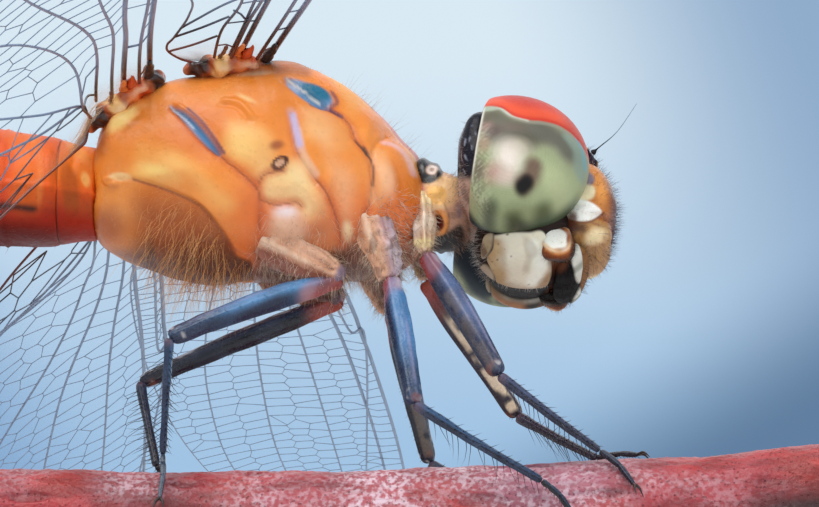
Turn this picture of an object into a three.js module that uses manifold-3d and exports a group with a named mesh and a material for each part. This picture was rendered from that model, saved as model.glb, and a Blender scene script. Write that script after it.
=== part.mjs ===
// A skimmer dragonfly at life size, gripping a short cut length of twig that two rods
// hold above a flat display base. Millimetres, +Z up. The insect faces +X and its left
// side is +Y. The origin is the centre of the base's underside.

import * as THREE from 'three';
import { mergeVertices } from 'three/addons/utils/BufferGeometryUtils.js';
import Module from 'manifold-3d';

// ---- Driving dimensions ------------------------------------------------------------

const GAP = 0.06; // clearance between neighbouring plates and limbs
const BODY_SIDES = 20; // facets round the thorax
const ABDOMEN_SIDES = 14; // facets round an abdominal ring
const LIMB_SIDES = 8; // facets round a leg segment

const DATUM_HEIGHT = 42; // body datum, between head and thorax, above the table

const BASE = { length: 60, width: 46, thickness: 4, corner: 5, chamfer: 0.6 };
const ROD = { radius: 1.2, offset: 8, sides: 16 };
const PERCH = { length: 30, radius: 1.45, lowX: -5.6, lowZ: -7.84, bend: 0.0027, rings: 9, sides: 14 };

const HEAD = { x: 3.26, z: 1.68, roll: -8 }; // the head's own origin; roll in degrees
// An eye's half lengths, centre, lean over the crown in degrees, and flat rear face.
const EYE = { long: 2.12, wide: 1.75, tall: 2.22, x: -0.44, spread: 1.75, lean: 22, rearX: -1.6 };

const ABDOMEN = { frontX: -8.82, frontZ: 1.81, rise: 0.08, levelling: 0.0008 };
const SEGMENTS = [
  // length, half height at front and rear, half width at front and rear
  { length: 0.9, high: [1.28, 1.52], wide: [1.2, 1.42] },
  { length: 2.2, high: [1.56, 1.75], wide: [1.48, 1.62] },
  { length: 3.6, high: [1.74, 1.42], wide: [1.62, 1.42] },
  { length: 4.2, high: [1.4, 1.22], wide: [1.4, 1.3] },
  { length: 4.2, high: [1.2, 1.2], wide: [1.28, 1.32] },
  { length: 4.1, high: [1.2, 1.24], wide: [1.32, 1.42] },
  { length: 3.7, high: [1.24, 1.28], wide: [1.42, 1.46] },
  { length: 2.4, high: [1.26, 1.14], wide: [1.44, 1.28] },
  { length: 1.6, high: [1.1, 0.94], wide: [1.22, 1.02] },
  { length: 1.0, high: [0.9, 0.7], wide: [0.96, 0.78] },
];

const WING_THICKNESS = 0.5;
const LEG = { femur: 0.36, tibia: 0.27, tarsus: 0.25 }; // radii
// Feelers, in the head's frame: the root and the tips, with Y as the distance out.
const ANTENNA = { radius: 0.25, root: [1.95, 0.42, 1.22], left: [2.5, 1.75, 1.3], right: [3.1, 1.5, 2.2] };

// ---- Materials ---------------------------------------------------------------------

const paint = (color, roughness = 0.45, metalness = 0) =>
  new THREE.MeshStandardMaterial({ color, roughness, metalness });

const MATERIALS = {
  amber: paint(0xe8882c, 0.4),
  abdomen: paint(0xc8481a, 0.4),
  eye: paint(0x9aa878, 0.2),
  shell: paint(0x17120f, 0.3),
  face: paint(0xc97a2c, 0.5),
  ivory: paint(0xe6d2b2, 0.55),
  leg: paint(0x3a4254, 0.4),
  wing: paint(0xd9dde0, 0.2),
  bark: paint(0x8e2f2a, 0.8),
  base: paint(0xe9e6df, 0.6),
  rod: paint(0xb9bcc0, 0.3, 1),
};

// ---- Solids: joining and cutting ----------------------------------------------------

const wasm = await Module();
wasm.setup();

/** Turns a closed geometry into a manifold solid. */
function toSolid(geometry) {
  const bare = geometry.clone();
  for (const name of ['normal', 'uv']) {
    bare.deleteAttribute(name);
  }
  const merged = mergeVertices(bare, 1e-4);
  return new wasm.Manifold(
    new wasm.Mesh({
      numProp: 3,
      vertProperties: Float32Array.from(merged.attributes.position.array),
      triVerts: Uint32Array.from(merged.index.array),
    }),
  );
}

/** Turns a manifold solid back into a geometry. */
function toGeometry(solid) {
  const { vertProperties, triVerts } = solid.getMesh();
  const geometry = new THREE.BufferGeometry();
  geometry.setAttribute('position', new THREE.BufferAttribute(vertProperties, 3));
  geometry.setIndex(new THREE.BufferAttribute(triVerts, 1));
  geometry.computeVertexNormals();
  return geometry;
}

/** A geometry less its neighbours, keeping only the largest piece that is left. */
function cut(geometry, ...neighbours) {
  const left = neighbours.reduce(
    (solid, neighbour) => solid.subtract(toSolid(neighbour)),
    toSolid(geometry),
  );
  const pieces = left.simplify(0.004).decompose();
  pieces.sort((a, b) => b.volume() - a.volume());
  return toGeometry(pieces[0]);
}

// ---- Shapes ------------------------------------------------------------------------

const point = (x, y, z) => new THREE.Vector3(x, y, z);
const mirrored = ([x, y, z], side) => point(x, side * y, z);

/** A closed skin through rings of points, each turning anticlockwise about the way ahead. */
function loft(rings) {
  const sides = rings[0].length;
  const middle = (ring) =>
    ring.reduce((sum, p) => sum.add(p), point(0, 0, 0)).divideScalar(sides);
  const points = [...rings.flat(), middle(rings[0]), middle(rings.at(-1))];
  const [first, last] = [points.length - 2, points.length - 1];
  const index = [];
  for (let side = 0; side < sides; side += 1) {
    const next = (side + 1) % sides;
    for (let ring = 0; ring < rings.length - 1; ring += 1) {
      const [here, ahead] = [ring * sides, (ring + 1) * sides];
      index.push(here + side, here + next, ahead + next);
      index.push(here + side, ahead + next, ahead + side);
    }
    const end = (rings.length - 1) * sides;
    index.push(first, next, side, last, end + side, end + next);
  }
  const geometry = new THREE.BufferGeometry();
  geometry.setFromPoints(points);
  geometry.setIndex(index);
  return geometry;
}

const power = (value, exponent) => Math.sign(value) * Math.abs(value) ** exponent;

/**
 * One cross-section of the body. up, down and half are its reaches from (x, 0, z); top and
 * bottom are exponents: 1 is an ellipse, less is boxier and more is more pointed.
 */
function section({ x, z, up, down, half, top = 1, bottom = 1 }, sides, grow = 0) {
  return Array.from({ length: sides }, (_, i) => {
    const angle = (2 * Math.PI * i) / sides;
    const [c, s] = [Math.cos(angle), Math.sin(angle)];
    const exponent = s > 0 ? top : bottom;
    const reach = s > 0 ? up + grow : down + grow;
    return point(x, (half + grow) * power(c, exponent), z + reach * power(s, exponent));
  });
}

/** A body built from cross-sections from rear to front, swollen by grow all over. */
function trunk(stations, sides, grow = 0) {
  return loft(
    stations.map((station, i) => {
      const end = i === 0 ? -grow : i === stations.length - 1 ? grow : 0;
      return section({ ...station, x: station.x + end }, sides, grow);
    }),
  );
}

/** An ellipsoid at a place, leaning about the X axis by so many degrees. */
function ellipsoid([x, y, z], [a, b, c], { lean = 0, grow = 0, around = 16, down = 10 } = {}) {
  return new THREE.SphereGeometry(1, around, down)
    .rotateX(Math.PI / 2)
    .scale(a + grow, b + grow, c + grow)
    .rotateX(THREE.MathUtils.degToRad(lean))
    .translate(x, y, z);
}

/** A straight limb segment whose radius is full between its rounded ends. */
function limb(from, to, radius, { taper = 0.8, grow = 0, sides = LIMB_SIDES } = {}) {
  const along = to.clone().sub(from).normalize();
  const across = point(0, 0, 1).cross(along).lengthSq() > 0.01 ? point(0, 0, 1) : point(0, 1, 0);
  const u = across.cross(along).normalize();
  const v = along.clone().cross(u);
  const stations = [
    [0, 0.7],
    [0.08, 1],
    [0.5, 1],
    [0.92, taper],
    [1, 0.7 * taper],
  ];
  const rings = stations.map(([share, size]) => {
    const reach = share === 0 ? -grow : share === 1 ? grow : 0;
    const centre = from.clone().lerp(to, share).addScaledVector(along, reach);
    return Array.from({ length: sides }, (_, i) => {
      const angle = (2 * Math.PI * (i + 0.5)) / sides;
      const r = radius * size + grow;
      return centre
        .clone()
        .addScaledVector(u, r * Math.cos(angle))
        .addScaledVector(v, r * Math.sin(angle));
    });
  });
  return loft(rings);
}

// ---- Scene graph -------------------------------------------------------------------

const model = new THREE.Group();
const insect = new THREE.Group();
insect.position.z = DATUM_HEIGHT;
const head = new THREE.Group();
head.position.set(HEAD.x, 0, HEAD.z);
head.rotation.x = THREE.MathUtils.degToRad(HEAD.roll);
head.updateMatrix();
insect.add(head);
model.add(insect);

/** Adds one named solid to a group. */
function add(group, name, geometry, material) {
  const mesh = new THREE.Mesh(geometry, material);
  mesh.name = name;
  group.add(mesh);
}

const SIDES = { left: 1, right: -1 };

// ---- Perch and stand ---------------------------------------------------------------

const perchAxis = (x) => PERCH.lowZ + PERCH.bend * (x - PERCH.lowX) ** 2;

/** The cut length of twig: a gently bent round stick, a little knotty along its length. */
function perchGeometry(grow = 0) {
  const rings = Array.from({ length: PERCH.rings }, (_, i) => {
    const x = PERCH.length * (i / (PERCH.rings - 1) - 0.5);
    const radius = PERCH.radius + 0.04 * Math.sin(1.9 * i);
    return { x, z: perchAxis(x), up: radius, down: radius, half: radius };
  });
  return trunk(rings, PERCH.sides, grow);
}

function addStand() {
  const { length, width, corner, thickness, chamfer } = BASE;
  const [x, y] = [length / 2 - chamfer, width / 2 - chamfer];
  const outline = new THREE.Shape();
  outline.moveTo(-x + corner, -y).lineTo(x - corner, -y);
  outline.absarc(x - corner, -y + corner, corner, -Math.PI / 2, 0);
  outline.absarc(x - corner, y - corner, corner, 0, Math.PI / 2);
  outline.absarc(-x + corner, y - corner, corner, Math.PI / 2, Math.PI);
  outline.absarc(-x + corner, -y + corner, corner, Math.PI, 1.5 * Math.PI);
  const slab = new THREE.ExtrudeGeometry(outline, {
    depth: thickness - 2 * chamfer,
    bevelThickness: chamfer,
    bevelSize: chamfer,
    bevelSegments: 1,
    curveSegments: 6,
  }).translate(0, 0, chamfer);
  add(model, 'stand_base', toGeometry(toSolid(slab)), MATERIALS.base);

  for (const [name, side] of [['front', 1], ['rear', -1]]) {
    const rodX = side * ROD.offset;
    const top = DATUM_HEIGHT + perchAxis(rodX) - PERCH.radius - 2 * GAP;
    const rod = new THREE.CylinderGeometry(ROD.radius, ROD.radius, top - thickness, ROD.sides)
      .rotateX(Math.PI / 2)
      .translate(rodX, 0, (top + thickness) / 2);
    add(model, `stand_rod_${name}`, rod, MATERIALS.rod);
  }
  add(insect, 'perch', perchGeometry(), MATERIALS.bark);
}

// ---- Thorax, prothorax and neck ------------------------------------------------------

// From the waist, over the wing-bearing hump, down the sloping front to the collar.
const THORAX = [
  { x: -8.74, z: 1.81, up: 1.3, down: 1.3, half: 1.15 },
  { x: -8.3, z: 2.35, up: 2.05, down: 2.12, half: 1.8 },
  { x: -7.35, z: 2.2, up: 2.54, down: 2.54, half: 2.2 },
  { x: -6.5, z: 2.25, up: 2.85, down: 2.9, half: 2.45 },
  { x: -5.4, z: 2.16, up: 3.02, down: 3.06, half: 2.6 },
  { x: -4.3, z: 2.4, up: 3.26, down: 3.14, half: 2.65 },
  { x: -3.2, z: 2.44, up: 3.28, down: 3.1, half: 2.6 },
  { x: -2.5, z: 2.2, up: 3.04, down: 2.85, half: 2.5 },
  { x: -1.7, z: 1.85, up: 2.9, down: 2.5, half: 2.3 },
  { x: -0.8, z: 1.4, up: 2.4, down: 1.9, half: 2.0 },
  { x: -0.1, z: 1.2, up: 1.85, down: 1.45, half: 1.65 },
  { x: 0.32, z: 1.25, up: 1.2, down: 1.05, half: 1.2 },
];
const thoraxGeometry = (grow = 0) => trunk(THORAX, BODY_SIDES, grow);

const PROTHORAX = [
  { x: 0.2, z: 1.35, up: 1.1, down: 1.1, half: 1.0 },
  { x: 0.55, z: 1.3, up: 1.2, down: 1.2, half: 1.14 },
  { x: 1.0, z: 1.25, up: 1.05, down: 1.12, half: 1.06 },
  { x: 1.35, z: 1.25, up: 0.72, down: 0.8, half: 0.75 },
];
const prothoraxGeometry = (grow = 0) => trunk(PROTHORAX, 16, grow);

const NECK = { place: [1.62, 0, 1.35], size: [0.5, 0.5, 0.5] };
const neckGeometry = (grow = 0) => ellipsoid(NECK.place, NECK.size, { grow, around: 12, down: 8 });

function addThorax() {
  add(insect, 'thorax', thoraxGeometry(), MATERIALS.amber);
  const prothorax = cut(prothoraxGeometry(), thoraxGeometry(GAP));
  add(insect, 'prothorax', prothorax, MATERIALS.amber);
  const skull = capsuleGeometry(3 * GAP).applyMatrix4(head.matrix);
  const neck = cut(neckGeometry(), prothoraxGeometry(GAP), skull);
  add(insect, 'neck', neck, MATERIALS.ivory);
}

// ---- Head, in its own rolled frame -----------------------------------------------------

/**
 * One compound eye: an ellipsoid leaning in over the crown, flat where the two eyes meet
 * and at the rear, where the temple closes it.
 */
function eyeGeometry(side, grow = 0) {
  const { long, wide, tall, x, spread, lean, rearX } = EYE;
  const ball = ellipsoid([x, side * spread, 0], [long, wide, tall], {
    lean: side * lean,
    grow,
    around: 20,
    down: 14,
  });
  const block = 8;
  const box = new THREE.BoxGeometry(block, block, block);
  const meeting = side * (GAP / 2 - grow - block / 2);
  const rear = rearX - grow - block / 2;
  return cut(ball, box.clone().translate(0, meeting, 0), box.translate(rear, 0, 0));
}

/** The black capsule behind and between the eyes, hollowed at the back for the neck. */
function capsuleGeometry(grow = 0) {
  const shell = trunk(
    [
      { x: -1.92, z: 0.05, up: 1.35, down: 1.3, half: 2.4 },
      { x: -1.66, z: 0.0, up: 1.82, down: 1.75, half: 2.95 },
      { x: -1.1, z: 0.0, up: 1.8, down: 1.75, half: 2.7 },
      { x: 0.2, z: -0.1, up: 1.6, down: 1.7, half: 2.2 },
      { x: 0.9, z: -0.2, up: 1.1, down: 1.4, half: 1.5 },
    ],
    16,
    grow,
  );
  const hollow = ellipsoid([-2.35, 0, -0.35], [1.05, 1.4, 1.4], { grow: -grow });
  return cut(shell, hollow);
}

/** A front plate of the head, built up from level rings that share one back plane. */
function plate(levels, back, grow = 0) {
  const rings = levels.map(({ z, front, half }, i) => {
    const end = i === 0 ? -grow : i === levels.length - 1 ? grow : 0;
    const reach = (front - back) / 2 + grow;
    return Array.from({ length: 16 }, (_, k) => {
      const angle = (2 * Math.PI * k) / 16;
      const x = (front + back) / 2 + reach * power(Math.cos(angle), 0.8);
      return point(x, (half + grow) * power(Math.sin(angle), 0.8), z + end);
    });
  });
  return loft(rings);
}

const FACE = [
  { z: -2.08, front: 2.02, half: 1.2 },
  { z: -1.85, front: 2.2, half: 1.36 },
  { z: -1.4, front: 2.4, half: 1.5 },
  { z: -0.8, front: 2.52, half: 1.55 },
  { z: -0.2, front: 2.5, half: 1.45 },
  { z: 0.35, front: 2.3, half: 1.2 },
  { z: 0.7, front: 2.0, half: 0.9 },
  { z: 0.85, front: 1.7, half: 0.6 },
];
const LABRUM = [
  { z: -3.0, front: 1.35, half: 0.75 },
  { z: -2.75, front: 1.68, half: 1.15 },
  { z: -2.4, front: 1.9, half: 1.32 },
  { z: -2.14, front: 1.96, half: 1.28 },
];

const BACK_OF_FACE = 0.7;
const VERTEX = { place: [1.55, 0, 1.12], size: [0.42, 0.55, 0.36] };
const MANDIBLE = { place: [0.95, 1.5, -1.8], size: [0.65, 0.42, 0.6] };
const LABIUM = { place: [0, 0, -1.65], size: [1.4, 1.8, 1.22] };

function addHead() {
  const eyes = (grow) => Object.values(SIDES).map((side) => eyeGeometry(side, grow));
  const cleared = [...eyes(GAP), capsuleGeometry(GAP)];
  const vertex = ellipsoid(VERTEX.place, VERTEX.size);
  const grownVertex = ellipsoid(VERTEX.place, VERTEX.size, { grow: GAP });
  const mandible = (side, grow) => {
    const [x, y, z] = MANDIBLE.place;
    return ellipsoid([x, side * y, z], MANDIBLE.size, { grow, around: 12, down: 8 });
  };
  const mandibles = Object.values(SIDES).map((side) => mandible(side, GAP));

  for (const [name, side] of Object.entries(SIDES)) {
    add(head, `eye_${name}`, eyeGeometry(side), MATERIALS.eye);
    const jaw = cut(mandible(side, 0), ...cleared, plate(FACE, BACK_OF_FACE, GAP));
    add(head, `mandible_${name}`, jaw, MATERIALS.ivory);
    const [root, tip] = [ANTENNA.root, ANTENNA[name]].map((place) => mirrored(place, side));
    const antenna = limb(root, tip, ANTENNA.radius, { sides: 6 });
    const clear = cut(antenna, grownVertex, plate(FACE, BACK_OF_FACE, GAP));
    add(head, `antenna_${name}`, clear, MATERIALS.shell);
  }
  add(head, 'head', cut(capsuleGeometry(), ...eyes(GAP)), MATERIALS.shell);
  add(head, 'vertex', cut(vertex, ...cleared, plate(FACE, BACK_OF_FACE, GAP)), MATERIALS.shell);
  add(head, 'face', cut(plate(FACE, BACK_OF_FACE), ...cleared), MATERIALS.face);

  const labrum = cut(plate(LABRUM, BACK_OF_FACE), ...cleared, ...mandibles);
  add(head, 'labrum', labrum, MATERIALS.shell);
  const labium = ellipsoid(LABIUM.place, LABIUM.size);
  const room = [...mandibles, plate(LABRUM, BACK_OF_FACE, GAP), plate(FACE, BACK_OF_FACE, GAP)];
  add(head, 'labium', cut(labium, ...cleared, ...room), MATERIALS.ivory);
}

// ---- Legs ------------------------------------------------------------------------------

// Hip, trochanter, knee, ankle and toe of each leg, with Y as the distance out from the
// middle. The left and right feet grip the twig at different places.
const LEGS = {
  fore: {
    coxaRadius: 0.46,
    hip: [0.35, 0.95, 1.0],
    trochanter: [0.42, 1.0, -0.42],
    right: { knee: [2.4, 1.7, -4.2], ankle: [5.1, 1.05, -6.12], toe: [5.95, 1.7, -7.3] },
    left: { knee: [3.0, 1.7, -4.2], ankle: [5.1, 0.5, -5.82], toe: [6.25, 0.4, -5.75] },
  },
  mid: {
    coxaRadius: 0.62,
    hip: [-1.0, 1.2, 0.35],
    trochanter: [-0.52, 1.25, -1.25],
    right: { knee: [0.12, 2.5, -5.3], ankle: [3.5, 1.78, -7.2], toe: [4.3, 1.72, -8.1] },
    left: { knee: [0.55, 2.5, -5.3], ankle: [3.4, 1.78, -7.2], toe: [4.2, 1.72, -8.1] },
  },
  hind: {
    coxaRadius: 0.58,
    hip: [-3.6, 0.95, -0.2],
    trochanter: [-1.85, 0.82, -1.08],
    right: { knee: [-6.47, 1.77, -3.17], ankle: [-6.6, 1.08, -6.25], toe: [-6.6, 1.75, -7.7] },
    left: { knee: [-7.52, 1.77, -3.17], ankle: [-6.9, 0.6, -6.0], toe: [-6.5, 1.35, -6.6] },
  },
};

/** Pulls the end of a segment back from a joint, so that the next one has room. */
function towards(from, to, distance) {
  return from.clone().addScaledVector(to.clone().sub(from).normalize(), distance);
}

function addLeg(pair, sideName) {
  const side = SIDES[sideName];
  const form = LEGS[pair];
  const [hip, trochanter] = [mirrored(form.hip, side), mirrored(form.trochanter, side)];
  const [knee, ankle, toe] = ['knee', 'ankle', 'toe'].map((key) =>
    mirrored(form[sideName][key], side),
  );
  const thorax = thoraxGeometry(GAP);
  const prothorax = prothoraxGeometry(GAP);
  const perch = perchGeometry(GAP);
  const coxa = (grow) => limb(hip, trochanter, form.coxaRadius, { taper: 0.75, grow });
  const femur = (grow) => limb(towards(trochanter, knee, 0.1), knee, LEG.femur, { grow });
  const tibia = (grow) => limb(towards(knee, ankle, 0.05), ankle, LEG.tibia, { taper: 1, grow });
  const tarsus = limb(towards(ankle, toe, 0.05), toe, LEG.tarsus, { taper: 1 });

  add(insect, `${pair}_coxa_${sideName}`, cut(coxa(0), thorax, prothorax), MATERIALS.amber);
  add(insect, `${pair}_femur_${sideName}`, cut(femur(0), coxa(GAP), thorax), MATERIALS.leg);
  add(insect, `${pair}_tibia_${sideName}`, cut(tibia(0), femur(GAP), perch), MATERIALS.leg);
  add(insect, `${pair}_tarsus_${sideName}`, cut(tarsus, tibia(GAP), perch), MATERIALS.leg);
}

// ---- Wings -----------------------------------------------------------------------------

// Outlines run from the root along the leading edge, round the tip and back along the
// trailing edge, as distances out from the root and back from the leading edge.
const WINGS = {
  forewing: {
    root: [-4.0, 1.35, 5.2],
    pitch: 5,
    droop: { left: 5, right: 4 },
    sweep: { left: 9, right: 16 },
    outline: [
      [0, 0], [8, 0.1], [17, 0], [28, 0.5], [33.2, 1.6], [34, 3.0], [32.6, 4.8],
      [27, 6.8], [19, 7.5], [10, 7.0], [4.5, 5.6], [1.6, 3.4], [0, 1.7],
    ],
  },
  hindwing: {
    root: [-7.2, 1.55, 4.72],
    pitch: 39,
    droop: { left: 9, right: 8 },
    sweep: { left: -3, right: 6 },
    outline: [
      [0, 0], [7, 0.2], [14, 0], [27, 0.6], [32.2, 1.8], [33, 3.3], [31.4, 5.4],
      [25, 8.4], [16, 10.2], [8.5, 10.8], [3.8, 9.7], [1.4, 6.8], [0.65, 3.8], [0.1, 1.7],
    ],
  },
};

function addWing(pair, sideName) {
  const side = SIDES[sideName];
  const { root, pitch, droop, sweep, outline } = WINGS[pair];
  const edge = new THREE.Shape();
  const [start, ...rest] = outline.map(([out, back]) => new THREE.Vector2(side * out, -back));
  edge.moveTo(start.x, start.y).splineThru(rest);
  const blade = new THREE.ExtrudeGeometry(edge, {
    depth: WING_THICKNESS,
    bevelEnabled: false,
    curveSegments: 2,
  }).translate(0, 0, -WING_THICKNESS / 2);
  const radians = THREE.MathUtils.degToRad;
  const spanAlongY = new THREE.Matrix4().makeBasis(point(0, 1, 0), point(1, 0, 0), point(0, 0, -1));
  blade
    .applyMatrix4(spanAlongY)
    .rotateY(-radians(pitch))
    .rotateX(-side * radians(droop[sideName]))
    .rotateZ(-side * radians(sweep[sideName]))
    .translate(root[0], side * root[1], root[2]);
  add(insect, `${pair}_${sideName}`, cut(blade, thoraxGeometry(GAP)), MATERIALS.wing);
}

// ---- Abdomen -----------------------------------------------------------------------------

const abdomenAxis = (x) => {
  const back = ABDOMEN.frontX - x;
  return ABDOMEN.frontZ + ABDOMEN.rise * back - ABDOMEN.levelling * back ** 2;
};

function addAbdomen() {
  let front = ABDOMEN.frontX;
  SEGMENTS.forEach(({ length, high, wide }, i) => {
    const rear = front - length + GAP;
    const stations = [1, 0.94, 0.5, 0.08, 0].map((share) => {
      const x = THREE.MathUtils.lerp(front, rear, share);
      const rim = share === 1 || share === 0 ? 0.95 : 1;
      const reach = rim * THREE.MathUtils.lerp(high[0], high[1], share);
      const half = rim * THREE.MathUtils.lerp(wide[0], wide[1], share);
      return { x, z: abdomenAxis(x), up: reach, down: reach, half, top: 1.12, bottom: 0.9 };
    });
    add(insect, `abdomen_${i + 1}`, trunk(stations, ABDOMEN_SIDES), MATERIALS.abdomen);
    front -= length;
  });

  const z = abdomenAxis(front);
  for (const [name, side] of Object.entries(SIDES)) {
    const cercus = limb(point(front - GAP, side * 0.38, z + 0.3), point(front - 1.7, side * 0.5, z + 0.45), 0.25);
    add(insect, `cercus_${name}`, cercus, MATERIALS.abdomen);
  }
  const epiproct = limb(point(front - GAP, 0, z - 0.35), point(front - 1.2, 0, z - 0.25), 0.27);
  add(insect, 'epiproct', epiproct, MATERIALS.abdomen);
}

// ---- Assembly ------------------------------------------------------------------------------

addStand();
addThorax();
addHead();
addAbdomen();
for (const sideName of Object.keys(SIDES)) {
  Object.keys(LEGS).forEach((pair) => addLeg(pair, sideName));
  Object.keys(WINGS).forEach((pair) => addWing(pair, sideName));
}

export default model;
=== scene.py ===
"""An orange skimmer dragonfly, life-size, gripping a cut length of red twig on a plain stand.

Sizes are in millimetres in the insect's own frame: X towards the face, Y to its left and Z up,
with the datum between the wing bases and the feet. Meshes are put in metres on the stand's floor.
"""

from __future__ import annotations

import logging
import math
from collections.abc import Callable, Iterator, Sequence
from contextlib import contextmanager
from dataclasses import dataclass, field
from enum import Enum

import bpy
import numpy as np
from mathutils import Matrix, Vector
from mathutils.geometry import delaunay_2d_cdt

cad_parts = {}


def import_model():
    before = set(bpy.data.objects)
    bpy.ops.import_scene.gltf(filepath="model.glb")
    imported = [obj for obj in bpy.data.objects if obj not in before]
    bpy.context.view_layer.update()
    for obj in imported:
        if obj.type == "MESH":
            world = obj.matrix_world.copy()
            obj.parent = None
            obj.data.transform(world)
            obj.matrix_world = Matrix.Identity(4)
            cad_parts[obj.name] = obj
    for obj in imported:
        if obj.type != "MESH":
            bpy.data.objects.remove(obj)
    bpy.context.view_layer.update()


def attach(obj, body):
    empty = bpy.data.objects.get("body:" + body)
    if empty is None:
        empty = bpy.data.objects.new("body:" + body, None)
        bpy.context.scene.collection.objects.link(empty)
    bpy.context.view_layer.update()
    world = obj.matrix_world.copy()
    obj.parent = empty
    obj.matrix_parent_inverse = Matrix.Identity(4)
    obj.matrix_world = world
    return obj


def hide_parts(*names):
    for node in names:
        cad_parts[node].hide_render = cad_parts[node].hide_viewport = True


LOG = logging.getLogger("dragonfly")
MM = 0.001
DATUM = np.array((0.0, 0.0, 42.0))
TURN = 2 * math.pi
# where the unwrapped skin starts on its sheet, and how much of it the skin takes
SHEET_EDGE, SHEET_SPAN = 0.02, 0.96
Array = np.ndarray
Pair = tuple[float, float]
Plan = tuple[Pair, ...]
Point = tuple[float, float, float]
Colour = tuple[float, float, float]
Plane = Sequence[int] | Array
Piece = bpy.types.Object
Material = bpy.types.Material
Socket = bpy.types.NodeSocket

# the side planes of the body and of the head, tipped to face a little downwards
FLANK = np.array(((1.0, 0.0), (0.0, 0.375), (0.0, 0.927)))
CHEEK = np.array(((1.0, 0.0), (0.0, 0.5), (0.0, 0.866)))


class Side(Enum):
    """The insect's left and right, as the sign of Y."""

    LEFT = 1
    RIGHT = -1

    @property
    def label(self) -> str:
        """The side's name in lower case, as the nodes spell it."""
        return self.name.lower()


def rgb(colour: int) -> Colour:
    """Turns a screen colour into linear light."""
    shares = [part / 255 for part in (colour >> 16, colour >> 8 & 255, colour & 255)]
    return tuple(part / 12.92 if part <= 0.04045 else ((part + 0.055) / 1.055) ** 2.4 for part in shares)


def ease(low: float, high: float, value: Array) -> Array:
    """A smooth step from 0 at low to 1 at high."""
    share = np.clip((value - low) / (high - low), 0.0, 1.0)
    return share * share * (3.0 - 2.0 * share)


def fall(low: float, high: float, value: Array) -> Array:
    """A smooth step from 1 at low to 0 at high."""
    return 1 - ease(low, high, value)


def bell(value: Array, width: float) -> Array:
    """A smooth hump of height 1 where the value is 0, and so wide."""
    return np.exp(-((value / width) ** 2))


def soften(points: Sequence[Sequence[float]], steps: int = 6) -> Array:
    """Rounds a line through its points.

    Args:
        points: The places that the line passes through, in any number of dimensions.
        steps: How many pieces each span is cut into.

    Returns:
        The finer line, one row per place.
    """
    knots = np.asarray(points, float)
    if len(knots) < 3:
        return knots
    ends = np.vstack((2 * knots[0] - knots[1], knots, 2 * knots[-1] - knots[-2]))
    rows = []
    for before, start, end, after in zip(ends, ends[1:], ends[2:], ends[3:]):
        for step in range(steps):
            t = step / steps
            rows.append(
                0.5
                * (
                    2 * start
                    + (end - before) * t
                    + (2 * before - 5 * start + 4 * end - after) * t * t
                    + (3 * start - before - 3 * end + after) * t**3
                )
            )
    rows.append(knots[-1])
    return np.array(rows)


def gap_to_line(points: Array, line: Array) -> tuple[Array, Array]:
    """Measures how far places lie from a line.

    Args:
        points: The places, one per row.
        line: The line's places, of as many dimensions.

    Returns:
        The distance of each place, and how far along the line its nearest spot is, from 0 to 1.
    """
    best = np.full(len(points), 1e9)
    along = np.zeros(len(points))
    spans = np.linalg.norm(np.diff(line, axis=0), axis=1)
    walked = np.concatenate(((0.0,), np.cumsum(spans)))
    for i, (start, end) in enumerate(zip(line, line[1:])):
        step = end - start
        share = np.clip((points - start) @ step / max(step @ step, 1e-12), 0.0, 1.0)
        gap = np.linalg.norm(points - start - share[:, None] * step, axis=1)
        nearer = gap < best
        best[nearer] = gap[nearer]
        along[nearer] = ((walked[i] + share * spans[i]) / walked[-1])[nearer]
    return best, along


def ripple(points: Array, size: float, seed: int) -> Array:
    """A smooth uneven field of about -1 to 1 whose bumps are about size across.

    Args:
        points: The places, in two or three axes.
        size: How far across a bump is.
        seed: Which field it is.

    Returns:
        The field's value at each place.
    """
    dice = np.random.default_rng(seed)
    total = np.zeros(len(points))
    for _ in range(9):
        heading = dice.normal(size=points.shape[1])
        heading *= TURN / (size * dice.uniform(1.4, 2.8)) / np.linalg.norm(heading)
        total += np.sin(points @ heading + dice.uniform(0, TURN))
    return total / 4.0


@dataclass(frozen=True)
class Frame:
    """A part's own axes in the insect's frame: the columns are its X, Y and Z."""

    origin: Array = field(default_factory=lambda: np.zeros(3))
    axes: Array = field(default_factory=lambda: np.eye(3))

    def to_body(self, points: Array) -> Array:
        """Places given in these axes, in the insect's frame."""
        return self.origin + np.asarray(points, float) @ self.axes.T

    def to_local(self, points: Array) -> Array:
        """Places given in the insect's frame, in these axes."""
        return (np.asarray(points, float) - self.origin) @ self.axes


BODY = Frame()


# ---- The workbench ---------------------------------------------------------------------------


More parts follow.
